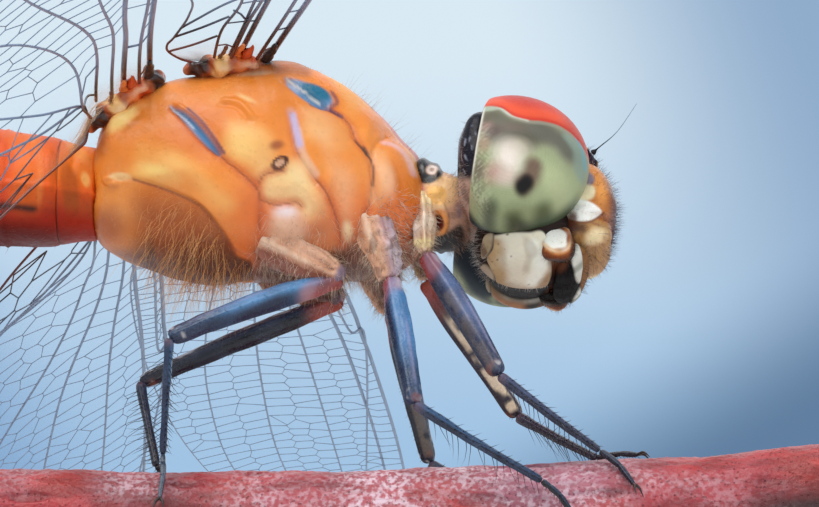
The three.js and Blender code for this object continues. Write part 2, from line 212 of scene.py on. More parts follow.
class Bench:
    """Modelling steps that every sub-assembly shares, done with the mesh tools."""

    @staticmethod
    def idle() -> None:
        """Leaves edit mode and deselects everything."""
        if bpy.context.object and bpy.context.object.mode != "OBJECT":
            bpy.ops.object.mode_set(mode="OBJECT")
        bpy.ops.object.select_all(action="DESELECT")

    @staticmethod
    def pick(piece: Piece) -> None:
        """Selects one piece alone and makes it active."""
        Bench.idle()
        piece.select_set(True)
        bpy.context.view_layer.objects.active = piece

    @staticmethod
    def take(name: str) -> Piece:
        """Names the piece that was just added and returns it."""
        piece = bpy.context.object
        piece.name = piece.data.name = name
        return piece

    @staticmethod
    @contextmanager
    def editing() -> Iterator[None]:
        """Selects the active piece's whole mesh in edit mode, and leaves the mode at the end."""
        bpy.ops.object.mode_set(mode="EDIT")
        bpy.ops.mesh.select_all(action="SELECT")
        yield
        bpy.ops.object.mode_set(mode="OBJECT")

    @staticmethod
    def shape(piece: Piece, places: Array, frame: Frame = BODY) -> None:
        """Moves a piece's vertices to these places, in millimetres in a part's axes."""
        places = (frame.to_body(places) + DATUM) * MM
        piece.data.vertices.foreach_set("co", places.astype(np.float32).ravel())
        piece.data.update()

    @staticmethod
    def loft(name: str, rings: Sequence[Array], levels: int = 2, frame: Frame = BODY) -> Piece:
        """Draws a closed shell through rings: a disc is extruded once per ring, then shaped.

        Args:
            name: Its name.
            rings: The rings in order, each of the same number of places in millimetres.
            levels: How many times the shell is subdivided and smoothed.
            frame: The axes that the rings are given in.

        Returns:
            The smooth piece, its place in its mesh.
        """
        Bench.idle()
        sides = len(rings[0])
        bpy.ops.mesh.primitive_circle_add(vertices=sides, radius=1.0, fill_type="NGON")
        piece = Bench.take(name)
        with Bench.editing():
            for _ in rings[1:]:
                bpy.ops.mesh.extrude_region_move(TRANSFORM_OT_translate={"value": (0.0, 0.0, 1.0)})
            bpy.ops.mesh.select_all(action="DESELECT")
            bpy.ops.mesh.select_mode(type="VERT")
            bpy.ops.mesh.select_non_manifold()
            bpy.ops.mesh.edge_face_add()
        places = Bench.read(piece)
        ring = np.rint(places[:, 2]).astype(int)
        turn = np.rint(np.arctan2(places[:, 0], places[:, 1]) / (TURN) * sides).astype(int) % sides
        Bench.shape(piece, np.array(rings)[ring, turn], frame)
        Bench.outwards(piece)
        if levels:
            Bench.smooth(piece, levels)
        return piece

    @staticmethod
    def ball(name: str, cuts: int, shape: Callable[[Array], Array], frame: Frame = BODY) -> Piece:
        """Makes an even ball from a cut-up cube and shapes it.

        Args:
            name: Its name.
            cuts: How many cuts each edge of the cube gets.
            shape: Turns places on the unit ball into places in millimetres.
            frame: The axes that the shape is given in.

        Returns:
            The piece, its place in its mesh.
        """
        Bench.idle()
        bpy.ops.mesh.primitive_cube_add(size=2.0)
        piece = Bench.take(name)
        with Bench.editing():
            bpy.ops.mesh.subdivide(number_cuts=cuts)
        places = Bench.read(piece)
        bowed = np.tan(places * (math.pi / 4) * 0.97)
        unit = bowed / np.linalg.norm(bowed, axis=1)[:, None]
        Bench.shape(piece, shape(unit), frame)
        return piece

    @staticmethod
    def read(piece: Piece) -> Array:
        """The places of a piece's vertices, in metres."""
        places = np.empty(len(piece.data.vertices) * 3, np.float32)
        piece.data.vertices.foreach_get("co", places)
        return places.reshape(-1, 3).astype(float)

    @staticmethod
    def outwards(piece: Piece) -> None:
        """Turns every face of a piece outwards."""
        Bench.pick(piece)
        with Bench.editing():
            bpy.ops.mesh.normals_make_consistent(inside=False)

    @staticmethod
    def smooth(piece: Piece, levels: int) -> None:
        """Subdivides a piece so many times into a smooth surface, for good."""
        Bench.pick(piece)
        modifier = piece.modifiers.new("smooth", "SUBSURF")
        modifier.levels = modifier.render_levels = levels
        bpy.ops.object.modifier_apply(modifier=modifier.name)

    @staticmethod
    def join(name: str, pieces: Sequence[Piece]) -> Piece:
        """Joins pieces into one of this name.

        Args:
            name: The joined piece's name.
            pieces: The pieces, of which the first takes in the rest.

        Returns:
            The joined piece.
        """
        Bench.idle()
        for piece in pieces:
            piece.select_set(True)
        bpy.context.view_layer.objects.active = pieces[0]
        if len(pieces) > 1:
            bpy.ops.object.join()
        pieces[0].name = pieces[0].data.name = name
        return pieces[0]

    @staticmethod
    def polish(piece: Piece, material: Material) -> None:
        """Smooths a piece's shading and gives it its only material."""
        piece.data.polygons.foreach_set("use_smooth", np.ones(len(piece.data.polygons), bool))
        piece.data.materials.clear()
        piece.data.materials.append(material)

    @staticmethod
    def enter(piece: Piece, slot: str, *nodes: str) -> Piece:
        """Sets a piece on the insect's body and reports it.

        Args:
            piece: The finished piece.
            slot: Not used.
            nodes: The solids that it stands for.

        Returns:
            The same piece.
        """
        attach(piece, "root")
        if nodes:
            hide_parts(*nodes)
        piece.data.calc_loop_triangles()
        LOG.info("%s: %d triangles", piece.name, len(piece.data.loop_triangles))
        return piece


def oval(
    x: float, z: float, up: float, down: float, half: float, sides: int, top: float = 1.0, bottom: float = 1.0
) -> Array:
    """One upright cross-section of the body.

    Args:
        x: Where it stands along the body.
        z: The height of its middle.
        up: Its reach upwards.
        down: Its reach downwards.
        half: Its reach sideways.
        sides: How many places it has.
        top: The exponent of its upper half; more than 1 is more pointed.
        bottom: The exponent of its lower half.

    Returns:
        The ring's places, starting at the top.
    """
    angle = np.linspace(0, TURN, sides, endpoint=False)
    across, rise = np.sin(angle), np.cos(angle)
    power = np.where(rise > 0, top, bottom)
    y = half * np.sign(across) * np.abs(across) ** power
    reach = np.where(rise > 0, up, down)
    return np.stack((np.full(sides, x), y, z + reach * np.sign(rise) * np.abs(rise) ** power), axis=1)


def limb_axes(line: Array, up: Point = (0.0, 0.0, 1.0)) -> tuple[Array, Array, Array]:
    """Unit vectors along, across and above a line at each of its places.

    Args:
        line: The line's places.
        up: The direction that the third vector leans to.

    Returns:
        The three vectors of every place.
    """
    along = np.gradient(line, axis=0)
    along /= np.linalg.norm(along, axis=1)[:, None]
    across = np.cross(np.asarray(up, float), along)
    across /= np.linalg.norm(across, axis=1)[:, None]
    return along, across, np.cross(along, across)


def limb_rings(
    line: Array, radii: Sequence[Sequence[float]], sides: int, up: Point = (0.0, 0.0, 1.0)
) -> list[Array]:
    """Rings round a bent line.

    Args:
        line: The places of the rings' middles.
        radii: Each ring's half width and half height.
        sides: How many places each ring has.
        up: The direction that a ring's height leans to.

    Returns:
        The rings.
    """
    _, across, above = limb_axes(line, up)
    angle = np.linspace(0, TURN, sides, endpoint=False)[:, None]
    return [
        middle + np.sin(angle) * wide * a + np.cos(angle) * high * b
        for middle, (wide, high), a, b in zip(line, radii, across, above)
    ]


def tube_rings(
    line: Array, shares: Sequence[float], reaches: Sequence[float], sides: int, up: Point = (0.0, 0.0, 1.0)
) -> list[Array]:
    """Round rings along a line.

    Args:
        line: The places of the rings' middles.
        shares: Shares of the line's length, rising.
        reaches: How far the rings reach at those shares.
        sides: How many places each ring has.
        up: The direction that a ring's height leans to.

    Returns:
        The rings.
    """
    reach = np.interp(np.linspace(0, 1, len(line)), shares, reaches)
    return limb_rings(line, [(r, r) for r in reach], sides, up)


# ---- Carving and painting --------------------------------------------------------------------


class Skin:
    """A piece's surface as arrays, while it is carved and painted in a part's own axes."""

    def __init__(self, piece: Piece, frame: Frame = BODY, colour: int = 0xE7E7E7) -> None:
        """Takes the piece's surface.

        Args:
            piece: The piece to carve and paint.
            frame: The axes that the strokes are given in.
            colour: The colour that it is all painted first.
        """
        self.piece, self.frame = piece, frame
        self.points = frame.to_local(Bench.read(piece) / MM - DATUM)
        self.normals = self.facing()
        self.tint = np.tile(np.array(rgb(colour)), (len(self.points), 1))
        self.gloss = np.full(len(self.points), 0.5)

    def facing(self) -> Array:
        """Which way the piece's surface faces at each vertex."""
        normals = np.empty(len(self.points) * 3, np.float32)
        self.piece.data.vertex_normals.foreach_get("vector", normals)
        return normals.reshape(-1, 3).astype(float) @ self.frame.axes

    @property
    def folded(self) -> Array:
        """The places with both sides laid over each other, Y as the distance from the middle."""
        return self.points * (1, 0, 1) + np.abs(self.points[:, 1:2]) * (0, 1, 0)

    @property
    def x(self) -> Array:
        """How far forward each vertex lies."""
        return self.points[:, 0]

    @property
    def z(self) -> Array:
        """How high each vertex lies."""
        return self.points[:, 2]

    @property
    def out(self) -> Array:
        """How far each vertex lies from the middle."""
        return np.abs(self.points[:, 1])

    def flat(self, plane: Plane) -> Array:
        """The folded places in a plane, which two axes or a table of directions gives."""
        return self.folded @ plane if isinstance(plane, np.ndarray) else self.folded[:, plane]

    def ripple(self, size: float, seed: int, stretch: Sequence[float] = (1, 1, 1)) -> Array:
        """A smooth uneven field over the surface, whose bumps are about size across."""
        return ripple(self.points * stretch, size, seed)

    def push(self, amount: Array) -> None:
        """Moves the surface out along its normals by so many millimetres."""
        self.points += self.normals * amount[:, None]

    def paint(self, colour: int, cover: Array | float) -> None:
        """Lays a colour over the surface, as thickly as cover says from 0 to 1."""
        cover = np.broadcast_to(np.clip(cover, 0.0, 1.0), len(self.tint))[:, None]
        self.tint = self.tint * (1 - cover) + np.array(rgb(colour)) * cover

    def daub(self, rows: Sequence[tuple], within: Array | float = 1.0, plane: Plane = (0, 2)) -> None:
        """Paints soft ovals, mirrored on both sides.

        Args:
            rows: Each oval's colour, cover, middle, half lengths, turn and soft share.
            within: A mask that they keep to.
            plane: The plane that they lie in.
        """
        for tone, cover, *shape in rows:
            self.paint(tone, cover * within * self.spot(*shape, plane))

    def fill(self, rows: Sequence[tuple], within: Array | float = 1.0, plane: Plane = (0, 2)) -> None:
        """Paints outlined patches, mirrored on both sides.

        Args:
            rows: Each patch's colour, cover, soft rim and corners.
            within: A mask that they keep to.
            plane: The plane that they lie in.
        """
        for tone, cover, rim, corners in rows:
            self.paint(tone, cover * within * self.patch(corners, rim, plane))

    def stroke(self, rows: Sequence[tuple], within: Array | float = 1.0, plane: Plane = (0, 2)) -> None:
        """Paints soft lines, mirrored on both sides.

        Args:
            rows: Each line's colour, cover, width and places.
            within: A mask that they keep to.
            plane: The plane that they lie in.
        """
        for tone, cover, width, places in rows:
            self.paint(tone, cover * within * self.line(places, width, plane))

    def line(self, places: Sequence[Sequence[float]], width: float, plane: Plane = (0, 2)) -> Array:
        """A soft mask along a line that is mirrored on both sides.

        Args:
            places: The line's places in the plane.
            width: How far from its middle the mask ends.
            plane: The plane that it lies in.

        Returns:
            The mask, 1 on the line.
        """
        gap, _ = gap_to_line(self.flat(plane), soften(places))
        return fall(0.2 * width, width, gap)

    def spot(
        self, middle: Sequence[float], reach: Sequence[float], turn: float = 0.0, edge: float = 0.6,
        plane: Plane = (0, 2),
    ) -> Array:
        """A soft oval mask that is mirrored on both sides.

        Args:
            middle: Its middle, in the plane.
            reach: Its half lengths.
            turn: Its turn in degrees.
            edge: The share of it that its soft rim takes.
            plane: The plane that it lies in.

        Returns:
            The mask, 1 in its middle.
        """
        flat = self.flat(plane) - middle
        angle = math.radians(turn)
        first = (flat[:, 0] * math.cos(angle) + flat[:, 1] * math.sin(angle)) / reach[0]
        second = (flat[:, 1] * math.cos(angle) - flat[:, 0] * math.sin(angle)) / reach[1]
        return fall(1 - edge, 1.0, np.hypot(first, second))

    def patch(self, corners: Sequence[Sequence[float]], rim: float = 0.1, plane: Plane = (0, 2)) -> Array:
        """A mask of what lies inside a rounded outline that is mirrored on both sides.

        Args:
            corners: The outline's places in the plane.
            rim: How far its soft edge reaches to either side.
            plane: The plane that it lies in.

        Returns:
            The mask, 1 well inside.
        """
        flat = self.flat(plane)
        outline = soften(list(corners) + [corners[0]])
        inside = np.zeros(len(flat), bool)
        for (x0, y0), (x1, y1) in zip(outline, outline[1:]):
            crosses = (y0 > flat[:, 1]) != (y1 > flat[:, 1])
            reach = (x1 - x0) * (flat[:, 1] - y0) / (y1 - y0 if abs(y1 - y0) > 1e-9 else 1e-9) + x0
            inside ^= crosses & (flat[:, 0] < reach)
        gap, _ = gap_to_line(flat, outline)
        return ease(-rim, rim, np.where(inside, gap, -gap))

    def unwrap(self, axis: int = 0) -> Array:
        """Lays the surface flat: along an axis, and round it.

        Args:
            axis: The axis that it is wrapped round.

        Returns:
            The two flat coordinates of every vertex, from 0.02 to 0.98.
        """
        middle = (self.points.min(axis=0) + self.points.max(axis=0)) / 2
        first, second = [k for k in range(3) if k != axis]
        along = self.points[:, axis]
        share = (along - along.min()) / max(np.ptp(along), 1e-9)
        turn = np.arctan2(self.points[:, first] - middle[first], self.points[:, second] - middle[second])
        return SHEET_EDGE + SHEET_SPAN * np.stack((share, turn / (TURN) + 0.5), axis=1)

    def store(self) -> Piece:
        """Writes the carved shape and its paint back to the piece."""
        Bench.shape(self.piece, self.points, self.frame)
        paint = self.piece.data.attributes.new("tint", "FLOAT_COLOR", "POINT")
        rows = np.concatenate((self.tint, self.gloss[:, None]), axis=1)
        paint.data.foreach_set("color", rows.astype(np.float32).ravel())
        self.normals = self.facing()
        return self.piece

    def finish(self, material: Material, slot: str, *nodes: str) -> None:
        """Stores the surface and finishes its piece.

        Args:
            material: The piece's material.
            slot: Not used; it is only passed on to Bench.enter.
            nodes: The solids that it stands for.
        """
        self.store()
        Bench.polish(self.piece, material)
        Bench.enter(self.piece, slot, *nodes)


# ---- Hair --------------------------------------------------------------------------------------


@dataclass(frozen=True)
class Hair:
    """One kind of hair or bristle, with its sizes in millimetres."""

    length: Pair
    thick: float
    root: int
    tip: int
    lie: Point = (0.0, 0.0, 0.0)
    sag: float = 0.0
    spread: float = 0.25
    skin_tone: float = 0.0


class Coat:
    """Hairs as solid mesh: each is a bent spindle whose root is in the skin."""

    CORNERS = 11
    SHARES = (0.0, 0.3, 0.66)
    SLIM = (1.0, 0.72, 0.42)
    PATCH = 0.003

    def __init__(self, seed: int) -> None:
        """Starts an empty coat with its own dice.

        Args:
            seed: The seed of its random draws.
        """
        self.dice = np.random.default_rng(seed)
        self.places: list[Array] = []
        self.faces: list[Array] = []
        self.tints: list[Array] = []
        self.flat: list[Array] = []
        self.count = 0

    def sow(self, skin: Skin, hair: Hair, number: int, where: Array, axis: int = 0) -> None:
        """Plants hairs at random on a skin.

        Args:
            skin: The stored skin.
            hair: The kind of hair.
            number: How many hairs.
            where: How likely each vertex is to bear one.
            axis: The axis that the skin is unwrapped round.
        """
        weight = np.clip(where, 0.0, None)
        if number <= 0 or weight.sum() <= 0:
            return
        share = np.cumsum(weight * self.areas(skin))
        chosen = np.searchsorted(share, self.dice.random(number) * share[-1])
        jitter = self.dice.normal(scale=0.02, size=(number, 3))
        roots = skin.points[chosen] + jitter - skin.normals[chosen] * 0.03
        self.plant(
            skin.frame, roots, skin.normals[chosen], hair, skin.unwrap(axis)[chosen], skin.tint[chosen]
        )

    @staticmethod
    def areas(skin: Skin) -> Array:
        """About how much skin each vertex stands for.

        Args:
            skin: The surface.

        Returns:
            Each vertex's share, in square millimetres.
        """
        mesh = skin.piece.data
        area = np.empty(len(mesh.polygons), np.float32)
        mesh.polygons.foreach_get("area", area)
        starts = np.empty(len(mesh.polygons), np.int32)
        mesh.polygons.foreach_get("loop_start", starts)
        corner = np.empty(len(mesh.loops), np.int32)
        mesh.loops.foreach_get("vertex_index", corner)
        total = np.zeros(len(mesh.vertices))
        np.add.at(total, corner[starts], area)
        return total + area.mean() * 0.1

    def plant(
        self, frame: Frame, roots: Array, normals: Array, hair: Hair, flat: Array, under: Array
    ) -> None:
        """Adds hairs at given roots.

        Args:
            frame: The axes that the roots are given in.
            roots: The roots' places.
            normals: The skin's outward directions there.
            hair: The kind of hair.
            flat: The roots' places on the skin's unwrap.
            under: The skin's colour there.
        """
        number = len(roots)
        length = self.dice.uniform(*hair.length, size=number)[:, None]
        heading = normals + np.asarray(hair.lie) + self.dice.normal(scale=hair.spread, size=(number, 3))
        heading /= np.linalg.norm(heading, axis=1)[:, None]
        droop = np.array((0.0, 0.0, -hair.sag)) + self.dice.normal(scale=0.12, size=(number, 3))
        side = np.cross(heading, self.dice.normal(size=(number, 3)))
        side /= np.linalg.norm(side, axis=1)[:, None]
        third = np.cross(heading, side)
        angles = np.arange(3) * TURN / 3
        rows = [roots - heading * 0.02]
        for share, slim in zip(self.SHARES, self.SLIM):
            middle = roots + heading * length * share + droop * length * share**2
            for angle in angles:
                rows.append(middle + (side * math.cos(angle) + third * math.sin(angle)) * hair.thick * slim)
        rows.append(roots + heading * length + droop * length)
        self.places.append(frame.to_body(np.stack(rows, axis=1).reshape(-1, 3)))
        base = self.count + np.arange(number)[:, None] * self.CORNERS
        self.faces.append((base[:, :, None] + self.pattern()[None]).reshape(-1, 4))
        fade = np.array((0.0,) + tuple(s for s in self.SHARES for _ in range(3)) + (1.0,))[None, :, None]
        root = np.array(rgb(hair.root)) * (1 - hair.skin_tone) + under * hair.skin_tone
        tip = np.array(rgb(hair.tip)) * (1 - 0.5 * hair.skin_tone) + under * 0.5 * hair.skin_tone
        vary = self.dice.uniform(0.8, 1.15, size=(number, 1, 1))
        tone = (root.reshape(-1, 1, 3) * (1 - fade) + tip.reshape(-1, 1, 3) * fade) * vary
        self.tints.append(np.broadcast_to(tone, (number, self.CORNERS, 3)).reshape(-1, 3))
        wheel = np.array(
            [(0.0, 0.0)] + [(math.cos(a), math.sin(a)) for _ in self.SHARES for a in angles] + [(0.0, 0.0)]
        )
        reach = np.array((0.0,) + tuple(0.5 * (1 - 0.6 * s) for s in self.SHARES for _ in range(3)) + (0.0,))
        self.flat.append((flat[:, None, :] + wheel * reach[:, None] * self.PATCH).reshape(-1, 2))
        self.count += number * self.CORNERS

    @staticmethod
    def pattern() -> Array:
        """The faces of one hair; a triangle repeats its last corner."""
        faces = [(0, 1 + (k + 1) % 3, 1 + k, 1 + k) for k in range(3)]
        for ring in (1, 4):
            faces += [(ring + k, ring + (k + 1) % 3, ring + 3 + (k + 1) % 3, ring + 3 + k) for k in range(3)]
        faces += [(7 + k, 7 + (k + 1) % 3, 10, 10) for k in range(3)]
        return np.array(faces)

    def weave(self, name: str, material: Material, slot: str) -> None:
        """Turns the hairs planted so far into one piece with its tint and its OFBake map.

        Args:
            name: Its name.
            material: The hairs' material.
            slot: Not used; it is only passed on to Bench.enter.
        """
        corners = np.concatenate(self.faces)
        sizes = np.where(corners[:, 2] == corners[:, 3], 3, 4)
        keep = np.ones(corners.shape, bool)
        keep[:, 3] = sizes == 4
        loops = corners[keep].astype(np.int32)
        mesh = bpy.data.meshes.new(name)
        places = (np.concatenate(self.places) + DATUM) * MM
        mesh.vertices.add(len(places))
        mesh.vertices.foreach_set("co", places.astype(np.float32).ravel())
        mesh.loops.add(len(loops))
        mesh.loops.foreach_set("vertex_index", loops)
        mesh.polygons.add(len(sizes))
        mesh.polygons.foreach_set(
            "loop_start", np.concatenate(((0,), np.cumsum(sizes)[:-1])).astype(np.int32)
        )
        mesh.update(calc_edges=True)
        paint = mesh.attributes.new("tint", "FLOAT_COLOR", "POINT")
        tint = np.concatenate(self.tints)
        rows = np.concatenate((tint, np.full((len(tint), 1), 0.5)), axis=1)
        paint.data.foreach_set("color", rows.astype(np.float32).ravel())
        sheet = mesh.uv_layers.new(name="OFBake")
        sheet.uv.foreach_set("vector", np.concatenate(self.flat)[loops].astype(np.float32).ravel())
        mesh.validate()
        piece = bpy.data.objects.new(name, mesh)
        bpy.context.scene.collection.objects.link(piece)
        Bench.polish(piece, material)
        Bench.enter(piece, slot)


# ---- Finishes ----------------------------------------------------------------------------------


def shade(colour: int) -> tuple[float, ...]:
    """A screen colour as a shader takes it, opaque."""
    return (*rgb(colour), 1.0)


class Wiring:
    """A node tree that is filled one node at a time."""

    def __init__(self, tree: bpy.types.NodeTree) -> None:
        """Starts on a tree."""
        self.tree = tree

    def join(self, node: bpy.types.Node, sockets: dict[str | int, object]) -> bpy.types.Node:
        """Gives each of a node's inputs its value, or joins it to an output, and returns the node.

        Args:
            node: The node.
            sockets: Each input's name with its value or the output it is joined to.

        Returns:
            The same node.
        """
        for key, value in sockets.items():
            if isinstance(value, Socket):
                self.tree.links.new(value, node.inputs[key])
            else:
                node.inputs[key].default_value = value
        return node

    def add(
        self, kind: str, sockets: dict[str | int, object] | None = None, **settings: object
    ) -> bpy.types.Node:
        """Adds a node.

        Args:
            kind: The node's type.
            sockets: A value, or an output to join, for each of its inputs by name or number.
            settings: The node's own settings.

        Returns:
            The node.
        """
        node = self.tree.nodes.new(kind)
        for name, value in settings.items():
            setattr(node, name, value)
        return self.join(node, sockets or {})

    def blend(self, cover: object, under: object, over: object, kind: str = "MIX") -> Socket:
        """Lays one colour over another as thickly as cover says."""
        return self.add(
            "ShaderNodeMix", {0: cover, 6: under, 7: over}, data_type="RGBA", blend_type=kind
        ).outputs[2]

    def dye(self, colour: Socket, *shares: float) -> Socket:
        """Multiplies a colour by shares of red, green and blue."""
        return self.blend(1.0, colour, (*shares, 1.0), "MULTIPLY")

    def sum(self, first: object, second: object, kind: str = "MULTIPLY") -> Socket:
        """Works out a sum of two numbers."""
        return self.add("ShaderNodeMath", {0: first, 1: second}, operation=kind).outputs[0]

    def total(self, first: Socket, *others: Socket) -> Socket:
        """Adds numbers up."""
        for other in others:
            first = self.sum(first, other, "ADD")
        return first

    def remap(
        self, value: object, low: object, high: object, to_low: float = 0.0, to_high: float = 1.0
    ) -> Socket:
        """Stretches one range of numbers onto another."""
        sockets = {0: value, 1: low, 2: high, 3: to_low, 4: to_high}
        return self.add("ShaderNodeMapRange", sockets, interpolation_type="SMOOTHSTEP").outputs[0]

    def place(self, stretch: Point | None = None) -> Socket:
        """The place on the surface, stretched if asked."""
        place = self.add("ShaderNodeTexCoord").outputs["Object"]
        return self.add(
            "ShaderNodeMapping", {"Vector": place, "Scale": stretch}
        ).outputs[0] if stretch else place

    def paint(self) -> tuple[Socket, Socket]:
        """The painted colour and the painted gloss."""
        node = self.add("ShaderNodeAttribute", attribute_name="tint", attribute_type="GEOMETRY")
        return node.outputs["Color"], node.outputs["Alpha"]

    def noise(self, place: Socket, scale: object, detail: float, **more: object) -> Socket:
        """Uneven noise; more gives its other inputs, named in lower case."""
        others = {name.title(): value for name, value in more.items()}
        return self.add(
            "ShaderNodeTexNoise", {"Vector": place, "Scale": scale, "Detail": detail, **others}
        ).outputs["Fac"]

    def effect(self, effect: "Effect", **values: object) -> Socket:
        """Places a shared effect with its own values, named in lower case, and gives its mask."""
        node = self.add("ShaderNodeGroup", node_tree=effect.tree())
        return self.join(node, {name.title(): value for name, value in values.items()}).outputs[0]

    def clouds(self, scale: float, low: float = 0.3, high: float = 0.7) -> Socket:
        """Soft uneven clouds."""
        return self.effect(Effect.MOTTLE, scale=scale, low=low, high=high)

    def bump(self, strength: float, distance: float, height: Socket) -> Socket:
        """Roughens the surface by a height."""
        sockets = {"Strength": strength, "Distance": distance, "Height": height}
        return self.add("ShaderNodeBump", sockets).outputs[0]


class Effect(Enum):
    """Surface effects that more than one finish uses, each built once."""

    MOTTLE = "mottle"
    PITS = "pits"
    BLOOM = "bloom"
    FACETS = "facets"
    WRINKLES = "wrinkles"
    DUST = "dust"

    @property
    def inputs(self) -> dict[str, float]:
        """The group's number inputs and their usual values."""
        return {
            "mottle": {"Scale": 1000.0, "Low": 0.35, "High": 0.65},
            "pits": {"Scale": 8000.0, "Size": 0.3},
            "bloom": {"Scale": 1200.0, "Amount": 0.5},
            "facets": {"Scale": 30000.0, "Loose": 0.35},
            "wrinkles": {"Scale": 2500.0, "Warp": 0.6},
            "dust": {"Scale": 9000.0, "Amount": 0.5},
        }[self.value]

    def tree(self) -> bpy.types.NodeTree:
        """The effect's node group, built when first asked for."""
        tree = bpy.data.node_groups.get(self.value)
        if tree:
            return tree
        tree = bpy.data.node_groups.new(self.value, "ShaderNodeTree")
        for name, value in self.inputs.items():
            socket = tree.interface.new_socket(name=name, in_out="INPUT", socket_type="NodeSocketFloat")
            socket.default_value = value
        tree.interface.new_socket(name="Mask", in_out="OUTPUT", socket_type="NodeSocketFloat")
        w = Wiring(tree)
        given = w.add("NodeGroupInput").outputs
        mask = getattr(self, f"_{self.value}")(w, w.place(), *(given[name] for name in self.inputs))
        w.add("NodeGroupOutput", {"Mask": mask})
        return tree

    def _mottle(self, w: Wiring, place: Socket, scale: Socket, low: Socket, high: Socket) -> Socket:
        """Soft uneven clouds."""
        return w.remap(w.noise(place, scale, 4.0), low, high)

    def _pits(self, w: Wiring, place: Socket, scale: Socket, size: Socket) -> Socket:
        """Small round pits, scattered."""
        cells = w.add("ShaderNodeTexVoronoi", {"Vector": place, "Scale": scale})
        return w.remap(cells.outputs["Distance"], w.sum(size, 0.5), size, 1.0, 0.0)

    def _bloom(self, w: Wiring, place: Socket, scale: Socket, amount: Socket) -> Socket:
        """A waxy bloom: fine grains that gather in clouds."""
        cloud = w.remap(w.noise(place, scale, 3.0), 0.42, 0.66)
        grain = w.remap(w.noise(place, w.sum(scale, 14.0), 2.0), 0.4, 0.68, 0.1)
        return w.sum(w.sum(cloud, grain), amount)

    def _facets(self, w: Wiring, place: Socket, scale: Socket, loose: Socket) -> Socket:
        """The close net of an eye's lenses."""
        cells = w.add("ShaderNodeTexVoronoi", {"Vector": place, "Scale": scale, "Randomness": loose})
        return w.remap(cells.outputs["Distance"], 0.15, 0.62, 1.0, 0.0)

    def _wrinkles(self, w: Wiring, place: Socket, scale: Socket, warp: Socket) -> Socket:
        """Fine creases that wander over a shell."""
        fold = w.sum(w.noise(place, scale, 5.0, distortion=warp), 0.5, "SUBTRACT")
        return w.remap(w.sum(fold, 0.0, "ABSOLUTE"), 0.0, 0.12)

    def _dust(self, w: Wiring, place: Socket, scale: Socket, amount: Socket) -> Socket:
        """Sparse specks of dust."""
        specks = w.add("ShaderNodeTexVoronoi", {"Vector": place, "Scale": scale}).outputs
        rare = w.add("ShaderNodeSeparateColor", {0: specks["Color"]}).outputs[0]
        keep = w.sum(rare, w.sum(amount, 0.25), "LESS_THAN")
        return w.sum(w.remap(specks["Distance"], 0.1, 0.28, 1.0, 0.0), keep)


@dataclass(frozen=True)
class Finish:
    """A finish, built by dressing a new material's Principled shader."""

    name: str

    def dress(self, w: Wiring) -> dict[str, object]:
        """A value or an output for each of the shader's inputs that the finish sets."""
        raise NotImplementedError

    def material(self) -> Material:
        """Builds the material."""
        material = bpy.data.materials.new(self.name)
        material.use_nodes = True
        w = Wiring(material.node_tree)
        w.join(material.node_tree.nodes["Principled BSDF"], self.dress(w))
        return material


@dataclass(frozen=True)
class Cuticle(Finish):
    """Insect shell: its painted colour, clouded, pitted and with a waxy bloom."""

    rough: float = 0.4
    clouds: float = 0.35
    cloud_scale: float = 900.0
    pits: float = 0.3
    pit_scale: float = 9000.0
    bloom: float = 0.15
    bloom_colour: int = 0xCBCBCE
    bloom_scale: float = 1300.0
    coat: float = 0.15
    bump: float = 0.25
    specular: float = 0.5
    subsurface: float = 0.0

    def dress(self, w: Wiring) -> dict[str, object]:
        """The shell's shader inputs.

        Args:
            w: The material's wiring.

        Returns:
            The shader's inputs and what each is joined to.
        """
        paint, gloss = w.paint()
        fine = w.clouds(self.cloud_scale * 7)
        pits = w.effect(Effect.PITS, scale=self.pit_scale, size=0.28)
        creases = w.effect(Effect.WRINKLES, scale=2500.0, warp=0.7)
        wax = w.effect(Effect.BLOOM, scale=self.bloom_scale, amount=self.bloom)
        cover = w.sum(w.clouds(self.cloud_scale, 0.38, 0.66), self.clouds)
        colour = w.blend(cover, paint, w.dye(paint, 0.74, 0.6, 0.5))
        colour = w.blend(w.sum(fine, self.clouds * 0.8), colour, w.dye(colour, 1.22, 1.2, 1.14))
        colour = w.blend(w.sum(pits, self.pits), colour, w.dye(colour, 0.5, 0.38, 0.3))
        shine = w.remap(gloss, 0.0, 1.0, min(self.rough + 0.3, 1.0), max(self.rough - 0.25, 0.08))
        height = w.total(w.sum(creases, 0.6), w.sum(pits, -0.8), w.sum(fine, 0.4))
        return {
            "Base Color": w.blend(wax, colour, shade(self.bloom_colour)),
            "Roughness": w.total(shine, w.remap(fine, 0.0, 1.0, -0.06, 0.08), w.sum(wax, 0.5)),
            "Normal": w.bump(self.bump, 0.00002, height),
            "Coat Weight": self.coat,
            "Coat Roughness": 0.22,
            "Specular IOR Level": self.specular,
            "Subsurface Weight": self.subsurface,
            "Subsurface Scale": 0.0004,
            "Subsurface Radius": (1.0, 0.45, 0.2),
        }


